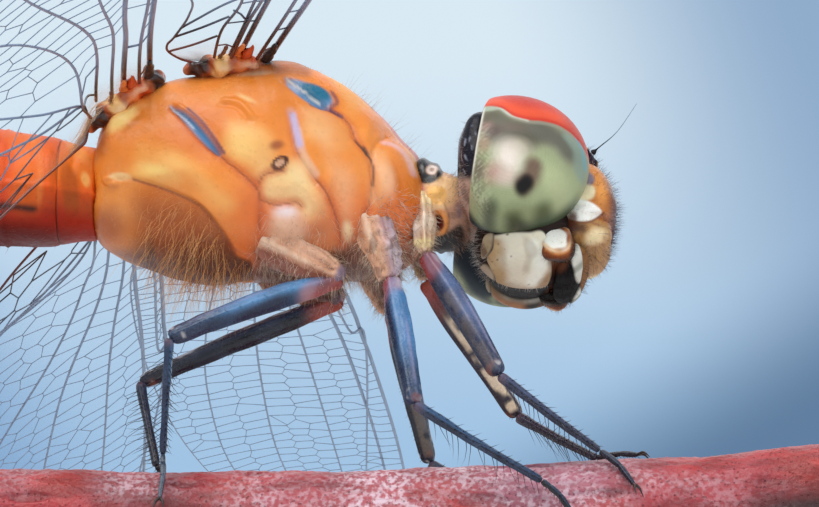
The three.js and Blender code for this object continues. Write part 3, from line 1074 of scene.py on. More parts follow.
@dataclass(frozen=True)
class Lens(Finish):
    """A compound eye: soft painted colour under a close net of lenses."""

    name: str = "compound eye"

    def dress(self, w: Wiring) -> dict[str, object]:
        """The eye's shader inputs.

        Args:
            w: The material's wiring.

        Returns:
            The shader's inputs and what each is joined to.
        """
        paint, _ = w.paint()
        lenses = w.effect(Effect.FACETS, scale=26000.0, loose=0.3)
        speck = w.clouds(9000.0, 0.35, 0.75)
        colour = w.blend(w.sum(w.clouds(1500.0), 0.3), paint, w.dye(paint, 0.8, 0.8, 0.74))
        colour = w.blend(w.sum(speck, 0.35), colour, w.dye(colour, 1.12, 1.12, 1.1))
        gaps = w.sum(w.sum(lenses, -1.0), 1.0, "ADD")
        return {
            "Base Color": w.blend(gaps, w.dye(colour, 0.9, 0.9, 0.88), colour),
            "Roughness": w.remap(speck, 0.0, 1.0, 0.42, 0.54),
            "Normal": w.bump(0.05, 0.000004, lenses),
            "Coat Weight": 0.08,
            "Coat Roughness": 0.3,
            "Specular IOR Level": 0.25,
        }


@dataclass(frozen=True)
class Bristle(Finish):
    """Hair and spines, coloured from root to tip."""

    rough: float = 0.45
    sheer: float = 0.0

    def dress(self, w: Wiring) -> dict[str, object]:
        """The hair's shader inputs.

        Args:
            w: The material's wiring.

        Returns:
            The shader's inputs and what each is joined to.
        """
        paint, _ = w.paint()
        streak = w.clouds(6000.0)
        return {
            "Base Color": w.blend(w.sum(streak, 0.5), paint, w.dye(paint, 1.25, 1.2, 1.15)),
            "Roughness": w.remap(streak, 0.0, 1.0, self.rough, self.rough + 0.15),
            "Subsurface Weight": self.sheer,
            "Subsurface Scale": 0.0002,
        }


@dataclass(frozen=True)
class Membrane(Finish):
    """The clear skin of a wing: nearly invisible, amber at the root, faintly rippled."""

    name: str = "wing membrane"

    def dress(self, w: Wiring) -> dict[str, object]:
        """The membrane's shader inputs.

        Args:
            w: The material's wiring.

        Returns:
            The shader's inputs and what each is joined to.
        """
        paint, cover = w.paint()
        cloud = w.clouds(700.0)
        return {
            "Base Color": w.blend(w.sum(cloud, 0.3), paint, (0.9, 0.93, 0.95, 1.0)),
            "Alpha": w.sum(cover, w.remap(cloud, 0.0, 1.0, 0.75, 1.2)),
            "Roughness": w.remap(cloud, 0.0, 1.0, 0.16, 0.3),
            "Normal": w.bump(0.35, 0.00004, w.effect(Effect.WRINKLES, scale=900.0, warp=1.2)),
            "Coat Weight": 0.08,
            "Coat Roughness": 0.15,
        }


@dataclass(frozen=True)
class Bark(Finish):
    """Red weathered bark: smooth where it is whole, pale and granular where it has worn."""

    name: str = "red bark"

    def dress(self, w: Wiring) -> dict[str, object]:
        """The bark's shader inputs.

        Args:
            w: The material's wiring.

        Returns:
            The shader's inputs and what each is joined to.
        """
        paint, dull = w.paint()
        drawn = w.place((0.35, 1.0, 1.0))
        worn = w.remap(w.noise(drawn, 420.0, 9.0, roughness=0.66), 0.4, 0.58)
        streak = w.remap(w.noise(drawn, 2600.0, 5.0), 0.4, 0.62)
        grains = w.clouds(7000.0, 0.36, 0.62)
        pits = w.effect(Effect.PITS, scale=6500.0, size=0.24)
        colour = w.blend(w.sum(streak, 0.7), paint, w.dye(paint, 0.5, 0.34, 0.34))
        cover = w.sum(w.sum(worn, w.remap(grains, 0.0, 1.0, 0.6)), dull)
        colour = w.blend(cover, colour, w.blend(grains, shade(0xC4747E), shade(0xE8CCD6)))
        height = w.total(w.sum(worn, 0.6), w.sum(grains, 0.35), w.sum(streak, -0.5), w.sum(pits, -0.8))
        return {
            "Base Color": w.blend(w.sum(pits, 0.45), colour, shade(0x4A1418)),
            "Roughness": w.remap(cover, 0.0, 1.0, 0.42, 0.85),
            "Normal": w.bump(0.7, 0.00006, height),
            "Coat Weight": 0.1,
            "Coat Roughness": 0.3,
        }


@dataclass(frozen=True)
class CutWood(Finish):
    """The sawn end of the twig: pale wood with rings, rays and a dark pith."""

    middle: Point

    def dress(self, w: Wiring) -> dict[str, object]:
        """The cut wood's shader inputs.

        Args:
            w: The material's wiring.

        Returns:
            The shader's inputs and what each is joined to.
        """
        shift = tuple(-c for c in self.middle)
        sockets = {"Vector": w.place(), "Location": shift, "Scale": (0.0, 1.0, 1.0)}
        centred = w.add("ShaderNodeMapping", sockets).outputs[0]
        sockets = {"Vector": centred, "Scale": 900.0, "Distortion": 1.6, "Detail": 3.0}
        rings = w.add(
            "ShaderNodeTexWave", sockets, wave_type="RINGS", rings_direction="SPHERICAL"
        ).outputs["Fac"]
        far = w.add("ShaderNodeVectorMath", {0: centred}, operation="LENGTH").outputs[1]
        pores = w.effect(Effect.PITS, scale=14000.0, size=0.25)
        colour = w.blend(w.sum(pores, 0.6), w.blend(rings, shade(0xC49E74), shade(0xE8CEA8)), shade(0x785434))
        return {
            "Base Color": w.blend(w.remap(far, 0.0002, 0.00034, 1.0, 0.0), colour, shade(0x5C3A26)),
            "Roughness": w.remap(pores, 0.0, 1.0, 0.65, 0.85),
            "Normal": w.bump(0.5, 0.00003, rings),
        }


@dataclass(frozen=True)
class Lacquer(Finish):
    """The stand's pale satin lacquer, with faint spray texture and dust."""

    name: str = "pale lacquer"

    def dress(self, w: Wiring) -> dict[str, object]:
        """The lacquer's shader inputs.

        Args:
            w: The material's wiring.

        Returns:
            The shader's inputs and what each is joined to.
        """
        paint, _ = w.paint()
        cloud = w.clouds(60.0)
        dust = w.effect(Effect.DUST, scale=1500.0, amount=0.35)
        colour = w.blend(cloud, paint, w.dye(paint, 0.94, 0.92, 0.88))
        return {
            "Base Color": w.blend(w.sum(dust, 0.4), colour, shade(0x968E82)),
            "Roughness": w.total(w.remap(cloud, 0.0, 1.0, 0.34, 0.46), w.sum(dust, 0.3)),
            "Normal": w.bump(0.12, 0.00005, w.clouds(1400.0)),
            "Coat Weight": 0.2,
            "Coat Roughness": 0.25,
        }


@dataclass(frozen=True)
class Steel(Finish):
    """Brushed steel, drawn along the rods."""

    name: str = "brushed steel"

    def dress(self, w: Wiring) -> dict[str, object]:
        """The steel's shader inputs.

        Args:
            w: The material's wiring.

        Returns:
            The shader's inputs and what each is joined to.
        """
        brush = w.noise(w.place((1.0, 1.0, 0.03)), 9000.0, 4.0)
        smear = w.clouds(260.0, 0.35, 0.7)
        colour = w.blend(w.remap(brush, 0.3, 0.7), shade(0xB0B2B6), shade(0xD6D7DA))
        return {
            "Base Color": w.blend(w.sum(smear, 0.3), colour, shade(0xA09E98)),
            "Roughness": w.total(w.remap(brush, 0.3, 0.7, 0.24, 0.38), w.sum(smear, 0.1)),
            "Normal": w.bump(0.2, 0.00001, brush),
            "Metallic": 1.0,
        }


@dataclass(frozen=True)
class Matt(Finish):
    """The floor's plain pale matt, faintly clouded."""

    name: str = "pale floor"

    def dress(self, w: Wiring) -> dict[str, object]:
        """The floor's shader inputs."""
        colour = w.blend(w.clouds(40.0), shade(0xE5E7E8), shade(0xE7E8E9))
        return {"Base Color": colour, "Roughness": 0.7}


# ---- Thorax and abdomen ------------------------------------------------------------------------


class Paint:
    """The insect's colours."""

    ORANGE = 0xF08A2C
    BRIGHT = 0xFAA046
    BURNT = 0xCE5C20
    RUST = 0x963E18
    UMBER = 0x542212
    YELLOW = 0xFECC70
    PEACH = 0xF4C4A0
    LAVENDER = 0xCEBED8
    BLUE = 0x4A84B2
    TEAL = 0x1C6E8E
    PLUM = 0x683A54
    BLACK = 0x141012
    INK = 0x1E202A
    RED = 0xCC3E1A
    WHITE = 0xF0EEE4


@dataclass
class Thorax:
    """The winged thorax, its collar and neck."""

    # x, z, reach up, reach down and half width of each cross-section, from rear to front
    stations: tuple[tuple[float, ...], ...] = (
        (-8.74, 1.81, 1.3, 1.3, 1.15), (-8.3, 2.35, 2.05, 2.12, 1.8), (-7.35, 2.2, 2.54, 2.54, 2.2),
        (-6.5, 2.25, 2.85, 2.9, 2.45), (-5.4, 2.16, 3.02, 3.06, 2.6), (-4.3, 2.4, 3.26, 3.14, 2.65),
        (-3.2, 2.44, 3.28, 3.1, 2.6), (-2.5, 2.2, 3.04, 2.85, 2.5), (-1.7, 1.85, 2.9, 2.5, 2.3),
        (-0.8, 1.4, 2.4, 1.9, 2.0), (-0.1, 1.2, 1.85, 1.45, 1.65), (0.32, 1.25, 1.2, 1.05, 1.2),
    )
    collar: tuple[tuple[float, ...], ...] = (
        (0.05, 1.35, 1.1, 1.1, 1.0), (0.45, 1.32, 1.26, 1.2, 1.22), (1.0, 1.25, 1.18, 1.15, 1.24),
        (1.4, 1.2, 0.98, 0.98, 1.1), (1.75, 1.2, 0.6, 0.6, 0.75),
    )
    neck: tuple[Point, float] = ((1.62, 0.0, 1.35), 0.5)
    humeral: Plan = (
        (-2.6, 3.53), (-2.03, 3.37), (-1.64, 3.02), (-1.47, 2.53), (-1.11, 2.03), (-1.0, 1.67), (-1.0, 1.23),
        (-1.11, 0.7), (-1.24, 0.39),
    )
    middle_seam: Plan = (
        (-3.25, 3.11), (-3.13, 2.22), (-2.9, 1.72), (-2.44, 1.12), (-2.17, 0.73), (-1.95, 0.19),
        (-1.87, -0.18),
    )
    rear_seam: Plan = (
        (-6.57, 3.45), (-5.69, 2.29), (-5.11, 1.8), (-4.23, 1.08), (-4.07, 0.69), (-4.08, 0.15),
        (-4.04, -0.24),
    )
    lobe_seam: Plan = ((-4.12, 1.14), (-3.91, 1.37), (-3.45, 1.48))
    plate_seam: Plan = ((-4.02, 0.71), (-3.6, 0.6), (-3.12, 0.68), (-2.95, 0.6))
    belly_seam: Plan = (
        (-8.4, 1.5), (-7.57, 1.43), (-6.62, 1.05), (-5.73, 0.59), (-5.11, -0.02), (-4.78, -0.42),
        (-4.35, -0.53),
    )
    collar_seam: Plan = ((-0.62, 3.0), (-0.98, 2.3), (-1.0, 1.2), (-0.6, 0.34))

    def build(self) -> None:
        """Builds the thorax, the collar and the neck with their hair."""
        self.build_shell()
        self.build_collar()
        self.build_neck()

    def build_shell(self) -> None:
        """Models, carves and paints the winged thorax."""
        rings = [oval(*station, sides=22) for station in self.stations]
        piece = Bench.loft("thorax_shell", rings, 4)
        skin = Skin(piece, colour=Paint.ORANGE)
        self.carve(skin)
        self.colour(skin)
        finish = Cuticle(
            "amber cuticle", rough=0.38, clouds=0.2, cloud_scale=620.0, pits=0.07, pit_scale=4200.0,
            bloom=0.08,
            bloom_colour=0xFAD6A0, coat=0.22, bump=0.3, specular=0.4, subsurface=0.08,
        )
        skin.finish(finish.material(), "amber_shell", "thorax")
        self.grow_hair(skin)

    def belly(self, skin: Skin) -> Array:
        """A mask of what lies below the belly seam."""
        line = soften(self.belly_seam)
        height = np.interp(skin.x, line[:, 0], line[:, 1], left=1.5, right=-9.0)
        return ease(-0.06, 0.06, height - skin.z) * ease(-8.0, -7.0, skin.x)

    def carve(self, skin: Skin) -> None:
        """Cuts the seams, swells the plates between them and sets their folds.

        Args:
            skin: The surface to work on.
        """
        seams = (
            self.humeral, self.middle_seam, self.rear_seam, self.lobe_seam, self.plate_seam, self.collar_seam
        )
        gaps = [gap_to_line(skin.folded[:, (0, 2)], soften(seam))[0] for seam in seams]
        nearest = np.min(gaps, axis=0)
        belly_gap = gap_to_line(skin.folded[:, (0, 2)], soften(self.belly_seam))[0]
        swell = 0.11 * (1 - bell(np.minimum(nearest, belly_gap), 0.42))
        crease = -0.05 * bell(nearest, 0.05)
        belly = self.belly(skin)
        low = skin.ripple(1.3, 11) * 0.035 + skin.ripple(0.5, 12) * 0.012
        skin.push(swell + crease + low - 0.1 * belly - 0.05 * bell(belly_gap, 0.06))
        skin.push(0.09 * skin.spot((-0.62, 1.35), (0.42, 1.0), 8, 0.8))
        skin.push(
            0.16 * skin.spot((-3.4, 0.28), (0.55, 0.5), 0, 0.8)
            + 0.12 * skin.spot((-2.35, 0.95), (0.35, 0.75), -25, 0.8)
        )
        skin.push(0.05 * skin.line(((-5.1, 3.55), (-4.7, 3.45), (-4.3, 2.95)), 0.12) * (skin.z < 3.9))
        skin.push(-0.05 * skin.line(((-5.2, 3.42), (-4.75, 3.3), (-4.4, 2.85)), 0.12))
        skin.push(0.12 * skin.spot((-8.2, 1.48), (0.34, 0.13), -28, 0.5))
        skin.push(0.1 * skin.line(((-8.45, 2.5), (-8.1, 3.1), (-7.5, 3.75)), 0.3))
        skin.push(-0.16 * skin.line(((-3.4, 4.3), (-2.9, 3.85), (-2.4, 3.55)), 0.2) * (skin.out > 1.0))
        skin.push(-0.1 * skin.line(((-6.5, 3.45), (-5.9, 2.8), (-5.25, 1.95)), 0.14))
        skin.push(0.07 * skin.line(((-6.38, 3.5), (-5.75, 2.85), (-5.12, 1.98)), 0.09))
        rear_lump = skin.spot((-7.85, 3.25), (0.75, 0.55), 42, 0.7)
        skin.push(0.09 * rear_lump * skin.ripple(0.45, 15) + 0.06 * rear_lump)
        ring = np.abs(np.hypot(*self.spiracle(skin)) - 1)
        skin.push(0.05 * fall(0.1, 0.6, ring) - 0.07 * fall(0.2, 0.8, np.hypot(*self.spiracle(skin))))
        across, high = skin.points[:, 1], skin.z
        front = ease(-2.6, -2.2, skin.x) * ease(2.4, 2.9, high)
        skin.push(0.16 * front * bell(across, 0.1))
        back = ease(-8.1, -7.6, skin.x) * fall(-3.0, -2.6, skin.x) * ease(3.9, 4.5, high)
        inner = fall(0.75, 1.25, np.abs(across))
        skin.push(-0.22 * back * inner)
        for x, wide, long in ((-3.6, 0.62, 0.55), (-4.9, 0.34, 0.4), (-6.3, 0.6, 0.6), (-7.4, 0.32, 0.35)):
            lump = np.hypot((skin.x - x) / long, across / wide)
            skin.push(0.26 * back * fall(0.35, 1.0, lump))

    def spiracle(self, skin: Skin) -> tuple[Array, Array]:
        """Where each vertex lies in the breathing slit, 1 being its rim.

        Args:
            skin: The surface to work on.

        Returns:
            The value at each vertex.
        """
        flat = skin.folded[:, (0, 2)] - (-3.53, 1.65)
        turn = math.radians(30)
        first = flat[:, 0] * math.cos(turn) + flat[:, 1] * math.sin(turn)
        second = flat[:, 1] * math.cos(turn) - flat[:, 0] * math.sin(turn)
        side = np.where(skin.out > 1.5, 1.0, 99.0)
        return first / 0.2 * side, second / 0.12 * side

    def colour(self, skin: Skin) -> None:
        """Paints the thorax's orange, its pale and blue patches, its painted highlights and shade, and its
        dark seams.

        Args:
            skin: The surface to work on.
        """
        high, x = skin.z, skin.x
        skin.paint(Paint.BRIGHT, 0.6 * ease(-0.3, 0.8, skin.ripple(2.6, 21)))
        skin.paint(Paint.BURNT, 0.35 * ease(0.1, 1.0, skin.ripple(1.7, 22)))
        # Painted highlights: two warm pale pools of light on the flank.
        skin.daub(
            (
                (0xFFCE78, 0.8, (-4.57, 2.9), (0.8, 0.65), 0, 0.95),
                (0xFFD070, 0.8, (-7.0, 2.1), (1.0, 0.5), -8, 0.95)
            ),
            1.0, FLANK
        )
        skin.paint(Paint.YELLOW, 0.35 * ease(0.3, 1.1, skin.ripple(1.1, 23)))
        # Darker towards the bottom: partly the belly's own brown and partly painted shade.
        skin.paint(Paint.BURNT, 0.55 * fall(-0.4, 1.1, high))
        skin.paint(0xE46022, 0.5 * fall(0.5, 1.6, high) * ease(-5.4, -4.2, x))
        rough = 0.3 * skin.ripple(0.7, 25)
        skin.paint(0xB8744E, 0.7 * fall(-0.2, 0.5, high + rough) * ease(-4.6, -3.8, x))
        skin.paint(0x54302A, 0.85 * fall(-0.6, 0.0, high + rough) * ease(-4.6, -3.8, x))
        uneven = 0.12 * skin.ripple(0.5, 26)
        # The first two of these pale patches are painted highlights on the glossy side plates.
        for tone, cover, corners in (
            (
                0xFDCE80, 0.85,
                ((-4.9, 2.8), (-4.0, 2.56), (-3.68, 1.85), (-4.06, 1.32), (-4.6, 1.95), (-4.95, 2.35))
            ),
            (
                0xFCDE9E, 0.95,
                (
                    (-3.98, 1.3), (-3.2, 1.66), (-2.5, 1.02), (-2.36, 0.5), (-2.82, 0.3), (-3.35, 0.62),
                    (-3.95, 0.7)
                )
            ),
            (
                0xFFC470, 0.75,
                ((-7.4, 2.3), (-6.4, 2.0), (-5.5, 1.3), (-4.8, 0.6), (-5.2, 0.5), (-6.2, 1.3), (-7.4, 1.7))
            ),
            (0xF6B888, 0.6, ((-2.3, 2.0), (-1.7, 1.6), (-1.5, 0.9), (-1.7, 0.3), (-2.0, 0.8))),
            (0xFCD6A0, 0.6, ((-2.9, 3.3), (-2.3, 3.2), (-1.9, 2.6), (-2.1, 2.1), (-2.7, 2.5))),
        ):
            skin.paint(tone, cover * skin.patch(corners, 0.3) * (0.75 + 2 * uneven))
        skin.daub((
            # The first three ovals are painted light: a yellow highlight on the rear lumps, a pale highlight
            # on the fold, and a dark orange painted shadow under the rear lumps.
            (0xFFE08A, 0.85, (-7.95, 3.25), (0.75, 0.4), 42, 0.7),
            (0xFBD890, 0.6, (-4.5, 3.6), (0.5, 0.12), -35, 0.8),
            (0xC87830, 0.5, (-7.6, 3.05), (0.5, 0.16), 42, 0.8),
            (0xF4A054, 0.7, (-1.9, 2.4), (0.5, 0.5), 0, 0.75),
            (0xF2C4A4, 0.85, (-3.35, 0.1), (0.75, 0.75), 0, 0.75),
            (0xEEDCDC, 0.9, (-3.38, 0.42), (0.5, 0.3), 0, 0.9),
            (0xFAE0B0, 0.8, (-1.72, 0.05), (0.24, 0.3), 0, 0.75),
            (0xF4CC8C, 0.85, (-7.95, 1.55), (0.42, 0.14), -12, 0.5),
            (0x963E18, 0.8, (-3.62, 2.12), (0.3, 0.2), 20, 0.75),
            (0xF4C4A0, 0.6, (-0.6, 1.4), (0.35, 0.8), 8, 0.75),
            (0x963E18, 0.4, (-1.25, 0.2), (0.2, 0.5), 0, 0.75),
            (0xFAE4B8, 0.9, (-4.25, 4.6), (0.7, 0.18), 6, 0.75),
            (0xF0C8A8, 0.8, (-0.95, -0.35), (0.4, 0.6), 0, 0.75),
        ))
        seams = (self.humeral, self.middle_seam, self.rear_seam, self.lobe_seam, self.plate_seam)
        skin.stroke(
            [(0xD05A20, 0.5, 0.22, seam) for seam in seams] + [(0x8A3A1C, 0.6, 0.045, seam) for seam in seams]
        )
        skin.stroke((
            (0xF0B894, 0.8, 0.16, ((-3.05, 2.6), (-2.9, 1.95), (-2.55, 1.4))),
            (0xE6B4A8, 0.5, 0.2, ((-3.25, 3.2), (-3.0, 2.1))),
            (0xC8B6DA, 0.95, 0.15, ((-3.2, 3.08), (-3.1, 2.65), (-3.0, 2.2))),
            (0xE8C0CC, 0.5, 0.17, ((-0.7, 2.66), (-0.4, 2.66), (-0.06, 2.3), (0.1, 1.75))),
            (0xF8C088, 0.45, 0.4, ((-0.85, 2.1), (-0.8, 1.5), (-0.9, 0.9))),
            (0x5A3050, 0.85, 0.12, ((-2.7, 3.52), (-2.3, 3.47), (-1.9, 3.27))),
            (0x5A2A1A, 0.8, 0.05, ((-1.5, 2.5), (-1.1, 2.03), (-1.0, 1.67), (-1.02, 1.2))),
            (0x3A1C18, 0.8, 0.1, ((-1.26, 2.3), (-1.16, 2.1))),
        ))
        # More painted highlights: warm pale light on the flank.
        skin.daub(
            (
                (0xFFD89C, 0.6, (-2.95, 2.3), (0.4, 0.55), 0, 0.95),
                (0xFFE288, 0.6, (-6.8, 2.2), (0.9, 0.3), -20, 0.95)
            ),
            1.0, FLANK
        )
        side = ease(0.9, 1.3, skin.out)
        sail = (
            (-3.45, 4.42), (-2.95, 4.3), (-2.35, 4.05), (-2.12, 3.75), (-2.35, 3.5), (-2.9, 3.62),
            (-3.3, 3.98)
        )
        skin.paint(0x5E8EB8, side * skin.patch(sail, 0.09))
        skin.paint(0xA6B4D2, 0.85 * side * skin.spot((-3.2, 4.12), (0.34, 0.2), -50, 0.7))
        skin.paint(Paint.TEAL, side * skin.spot((-2.58, 4.0), (0.52, 0.3), -22, 0.4))
        skin.paint(Paint.WHITE, 0.85 * side * skin.line(((-3.4, 4.36), (-2.95, 3.98), (-2.5, 3.66)), 0.05))
        skin.paint(Paint.PLUM, 0.7 * side * skin.line(((-2.15, 4.1), (-2.0, 3.75), (-2.2, 3.5)), 0.1))
        blade = ((-6.6, 3.55), (-6.15, 3.22), (-5.62, 2.6), (-5.15, 1.9), (-5.55, 2.18), (-6.15, 2.92))
        skin.paint(Paint.BLUE, skin.patch(blade, 0.06))
        skin.paint(Paint.PLUM, 0.85 * skin.line(((-6.1, 3.34), (-5.6, 2.74), (-5.08, 1.94)), 0.09))
        skin.paint(0xC6D6EA, 0.8 * skin.line(((-6.6, 3.52), (-6.2, 3.1), (-5.9, 2.72)), 0.045))
        slit = np.hypot(*self.spiracle(skin))
        skin.paint(Paint.UMBER, fall(0.15, 0.45, np.abs(slit - 1)))
        skin.paint(Paint.PEACH, fall(0.5, 0.75, slit))
        self.colour_belly(skin)
        self.colour_back(skin)
        skin.gloss = 0.5 + 0.18 * skin.ripple(1.0, 24) - 0.25 * self.belly(skin)

    def colour_belly(self, skin: Skin) -> None:
        """Paints the brown underside, darkened at the bottom partly as painted shade, and the dashed line
        above it.

        Args:
            skin: The surface to work on.
        """
        belly, high = self.belly(skin), skin.z
        skin.paint(0xE08A3C, 0.7 * fall(1.3, 1.6, high) * fall(-6.6, -5.4, skin.x))
        skin.paint(0xCC6C1C, 0.9 * belly)
        skin.paint(0xA04C10, 0.85 * belly * fall(0.3, 1.2, high + 0.25 * skin.ripple(0.9, 31)))
        # Darkest along the very bottom: partly the belly's own brown and partly painted shade.
        skin.paint(0x4A1E0C, 0.9 * (belly + (skin.x < -7)) * fall(-0.7, 0.25, high))
        skin.daub(
            (
                (0xA04A18, 0.8, (-8.4, 0.7), (1.0, 0.9), 0, 0.8),
                (0x5A240E, 0.8, (-8.2, -0.3), (1.2, 0.6), 0, 0.8)
            ),
            1.0, FLANK
        )
        skin.paint(0x8A3C1A, 0.7 * skin.line(self.belly_seam[1:-1], 0.06))
        keel = fall(0.3, 0.9, skin.out) * fall(-0.6, 0.2, high)
        skin.paint(Paint.UMBER, 0.8 * keel)

    def colour_back(self, skin: Skin) -> None:
        """Paints the back between the wings and the ridge in front of them.

        Args:
            skin: The surface to work on.
        """
        across, high, x = skin.out, skin.z, skin.x
        back = ease(-8.3, -7.9, x) * fall(-2.9, -2.6, x) * ease(4.3, 4.75, high)
        skin.paint(0xA85C2C, 0.85 * back)
        skin.paint(Paint.UMBER, 0.8 * back * ease(0.1, 0.6, skin.ripple(0.9, 33, (1, 1, 0))))
        for place, wide, long in (
            (-3.6, 0.5, 0.4), (-4.9, 0.26, 0.3), (-6.3, 0.46, 0.44), (-7.4, 0.24, 0.26)
        ):
            lump = np.hypot((x - place) / long, across / wide)
            skin.paint(Paint.YELLOW, 0.75 * back * fall(0.4, 1.0, lump))
        front = ease(-2.8, -2.4, x) * ease(2.2, 2.6, high)
        skin.paint(Paint.LAVENDER, 0.55 * front * fall(0.08, 0.3, across))
        skin.paint(Paint.INK, 0.75 * fall(0.15, 0.5, np.hypot(x + 2.75, across - 0.7)) * ease(3.9, 4.3, high))
        rear = fall(-8.5, -8.15, x)
        skin.paint(Paint.RUST, 0.7 * rear * ease(2.0, 2.6, high))

    def grow_hair(self, skin: Skin) -> None:
        """Grows the belly's long hair, the hip plates' wool and the fine hair elsewhere.

        Args:
            skin: The surface to work on.
        """
        x, across, high = skin.x, skin.out, skin.z
        belly = self.belly(skin) * (x < -4.2)
        coat = Coat(101)
        long = Hair((0.5, 1.15), 0.0065, 0xD67C32, 0xFAC888, (-0.35, 0.0, -0.35), 0.6, 0.35)
        coat.sow(skin, long, 430, belly * (0.2 + (high < 0.9)) * (0.3 + ease(-7.6, -5.6, x)))
        short = Hair((0.15, 0.4), 0.005, 0xC86E28, 0xECB068, (-0.3, 0.0, -0.3), 0.3, 0.4)
        coat.sow(skin, short, 500, belly)
        hips = ease(-4.4, -3.9, x) * fall(-0.1, 0.6, high) * fall(-1.3, -0.9, x)
        wool = Hair((0.2, 0.55), 0.006, 0xBE8C6E, 0xF0DCC4, (0.1, 0.0, -0.5), 0.3, 0.5)
        coat.sow(skin, wool, 900, hips)
        violet = Hair((0.22, 0.55), 0.007, 0xB09282, 0xF0E2D4, (0.5, 0.0, -0.1), 0.2, 0.5)
        coat.sow(skin, violet, 600, ease(-1.2, -0.6, x) * fall(0.7, 1.3, high))
        dark = Hair((0.2, 0.5), 0.005, 0x141014, 0x5A5460, (0.5, 0.0, 0.0), 0.1, 0.5)
        coat.sow(skin, dark, 260, ease(-0.9, -0.5, x) * fall(0.6, 1.1, high) * ease(-0.2, 0.3, high))
        down = Hair((0.07, 0.18), 0.004, 0xE69650, 0xFAD296, (-0.3, 0.0, 0.2), 0.1, 0.4, 0.4)
        coat.sow(skin, down, 1800, 0.2 + ease(2.6, 3.6, high) + ease(-1.0, 0.0, x))
        wisps = Hair((0.4, 0.9), 0.004, 0x968C8C, 0xE2DEDC, (0.4, 0.0, 0.4), 0.05, 0.25)
        coat.sow(skin, wisps, 90, ease(-2.0, -1.2, x) * ease(2.6, 3.0, high) * fall(0.5, 1.4, across))
        coat.weave("thorax_hair", Bristle("amber hair", sheer=0.15).material(), "amber_shell")

    def build_collar(self) -> None:
        """Models the collar behind the head, its dark lobe, ringed spot, the painted shadow under it and its
        hair.
        """
        rings = [oval(*station, sides=18) for station in self.collar]
        piece = Bench.loft("collar_shell", rings, 4)
        skin = Skin(piece, colour=0xE6AC84)
        x, high = skin.x, skin.z
        uneven, fine = skin.ripple(0.55, 41), skin.ripple(0.16, 44)
        skin.push(0.05 * uneven + 0.12 * bell(x - 0.4, 0.12) * ease(1.6, 2.3, high))
        lobe = ease(1.5, 2.1, high) * fall(0.28, 0.5, np.abs(x - 0.45))
        skin.push(0.17 * lobe)
        skin.push(
            0.07 * skin.spot((0.66, 1.36), (0.34, 0.26), 0, 0.7)
            - 0.2 * skin.spot((0.72, 0.6), (0.2, 0.28), 10, 0.8)
        )
        skin.push(0.06 * skin.line(((0.9, 0.95), (1.0, 0.6), (0.88, 0.3)), 0.14))
        skin.paint(0xD8A890, 0.8 * ease(0.9, 1.2, x + 0.12 * uneven))
        skin.paint(0x7A5A52, 0.4 * ease(0.1, 0.8, fine) * ease(0.8, 1.05, x))
        # Painted shadow: the dark gap under the collar's lower front, towards the head.
        skin.paint(0x0C080A, 0.95 * fall(0.2, 0.5, high) * ease(0.5, 0.8, x))
        skin.fill((
            (
                0xF8CC94, 0.95, 0.1,
                (
                    (0.45, 2.1), (0.85, 2.16), (1.27, 2.12), (1.45, 1.87), (1.33, 1.5), (1.09, 1.29),
                    (0.7, 1.18), (0.4, 1.27), (0.37, 1.89)
                )
            ),
            # Painted shadow in the dark gap below the collar.
            (
                0x0E0C0E, 0.95, 0.08,
                ((0.67, 0.45), (1.02, 0.56), (1.39, 0.79), (1.53, 0.5), (1.42, -0), (1, -0.24), (0.55, -0.16))
            ),
            (
                0xF09A48, 1.0, 0.04,
                ((0.58, 1.02), (0.76, 1.22), (1, 1.13), (1.08, 0.81), (0.96, 0.54), (0.7, 0.5), (0.57, 0.73))
            ),
            (
                0x6A180C, 1.0, 0.04,
                ((0.66, 0.96), (0.79, 1.07), (0.91, 0.99), (0.96, 0.78), (0.87, 0.65), (0.72, 0.65))
            ),
        ), 1.0, FLANK)
        skin.daub((
            (0xFAD49A, 0.85, (0.85, 1.73), (0.26, 0.2), 0, 0.9),
            (0xC87E4E, 0.6, (0.55, 1.42), (0.2, 0.16), 0, 0.9),
            (0x9C8296, 0.7, (1.38, 1.19), (0.16, 0.34), 10, 0.9),
        ), 1.0, FLANK)
        skin.fill((
            (
                0xFFC468, 0.95, 0.05,
                (
                    (0.51, 1.84), (0.69, 1.86), (0.95, 1.81), (1.03, 1.62), (0.95, 1.4), (0.72, 1.36),
                    (0.52, 1.46)
                )
            ),
            (0xC88CA0, 0.5, 0.06, ((0.1, 1.9), (0.35, 1.95), (0.44, 1.75), (0.3, 1.62), (0.13, 1.69))),
            (
                0x101016, 1.0, 0.05,
                (
                    (0.01, 2.69), (0.3, 2.74), (0.81, 2.71), (0.95, 2.33), (0.81, 2.07), (0.58, 1.94),
                    (0.35, 1.95), (0.17, 2.13), (0.04, 2.39)
                )
            ),
        ), 1.0, FLANK)
        away = np.hypot(*(skin.flat(FLANK) - (0.62, 2.32)).T)
        away = away + 0.04 * fine
        skin.paint(0xDCB49C, fall(0.12, 0.2, away))
        skin.paint(0xF2E2D8, 0.9 * fall(0.03, 0.09, np.abs(away - 0.07)))
        skin.paint(0x8A6A60, 0.5 * fall(0.02, 0.06, away))
        skin.gloss = 0.45 + 0.3 * lobe
        finish = Cuticle("collar cuticle", rough=0.45, clouds=0.35, cloud_scale=1500.0, bloom=0.1, coat=0.15)
        skin.finish(finish.material(), "amber_shell", "prothorax")
        coat = Coat(102)
        mauve = Hair((0.12, 0.34), 0.0045, 0xA07868, 0xE2C2AC, (0.3, 0.0, -0.1), 0.15, 0.5)
        coat.sow(skin, mauve, 650, ease(0.9, 1.2, x) * (high < 2.2))
        dusk = Hair((0.1, 0.3), 0.005, 0x3C2422, 0x8C685E, (0.3, 0.0, 0.1), 0.1, 0.5)
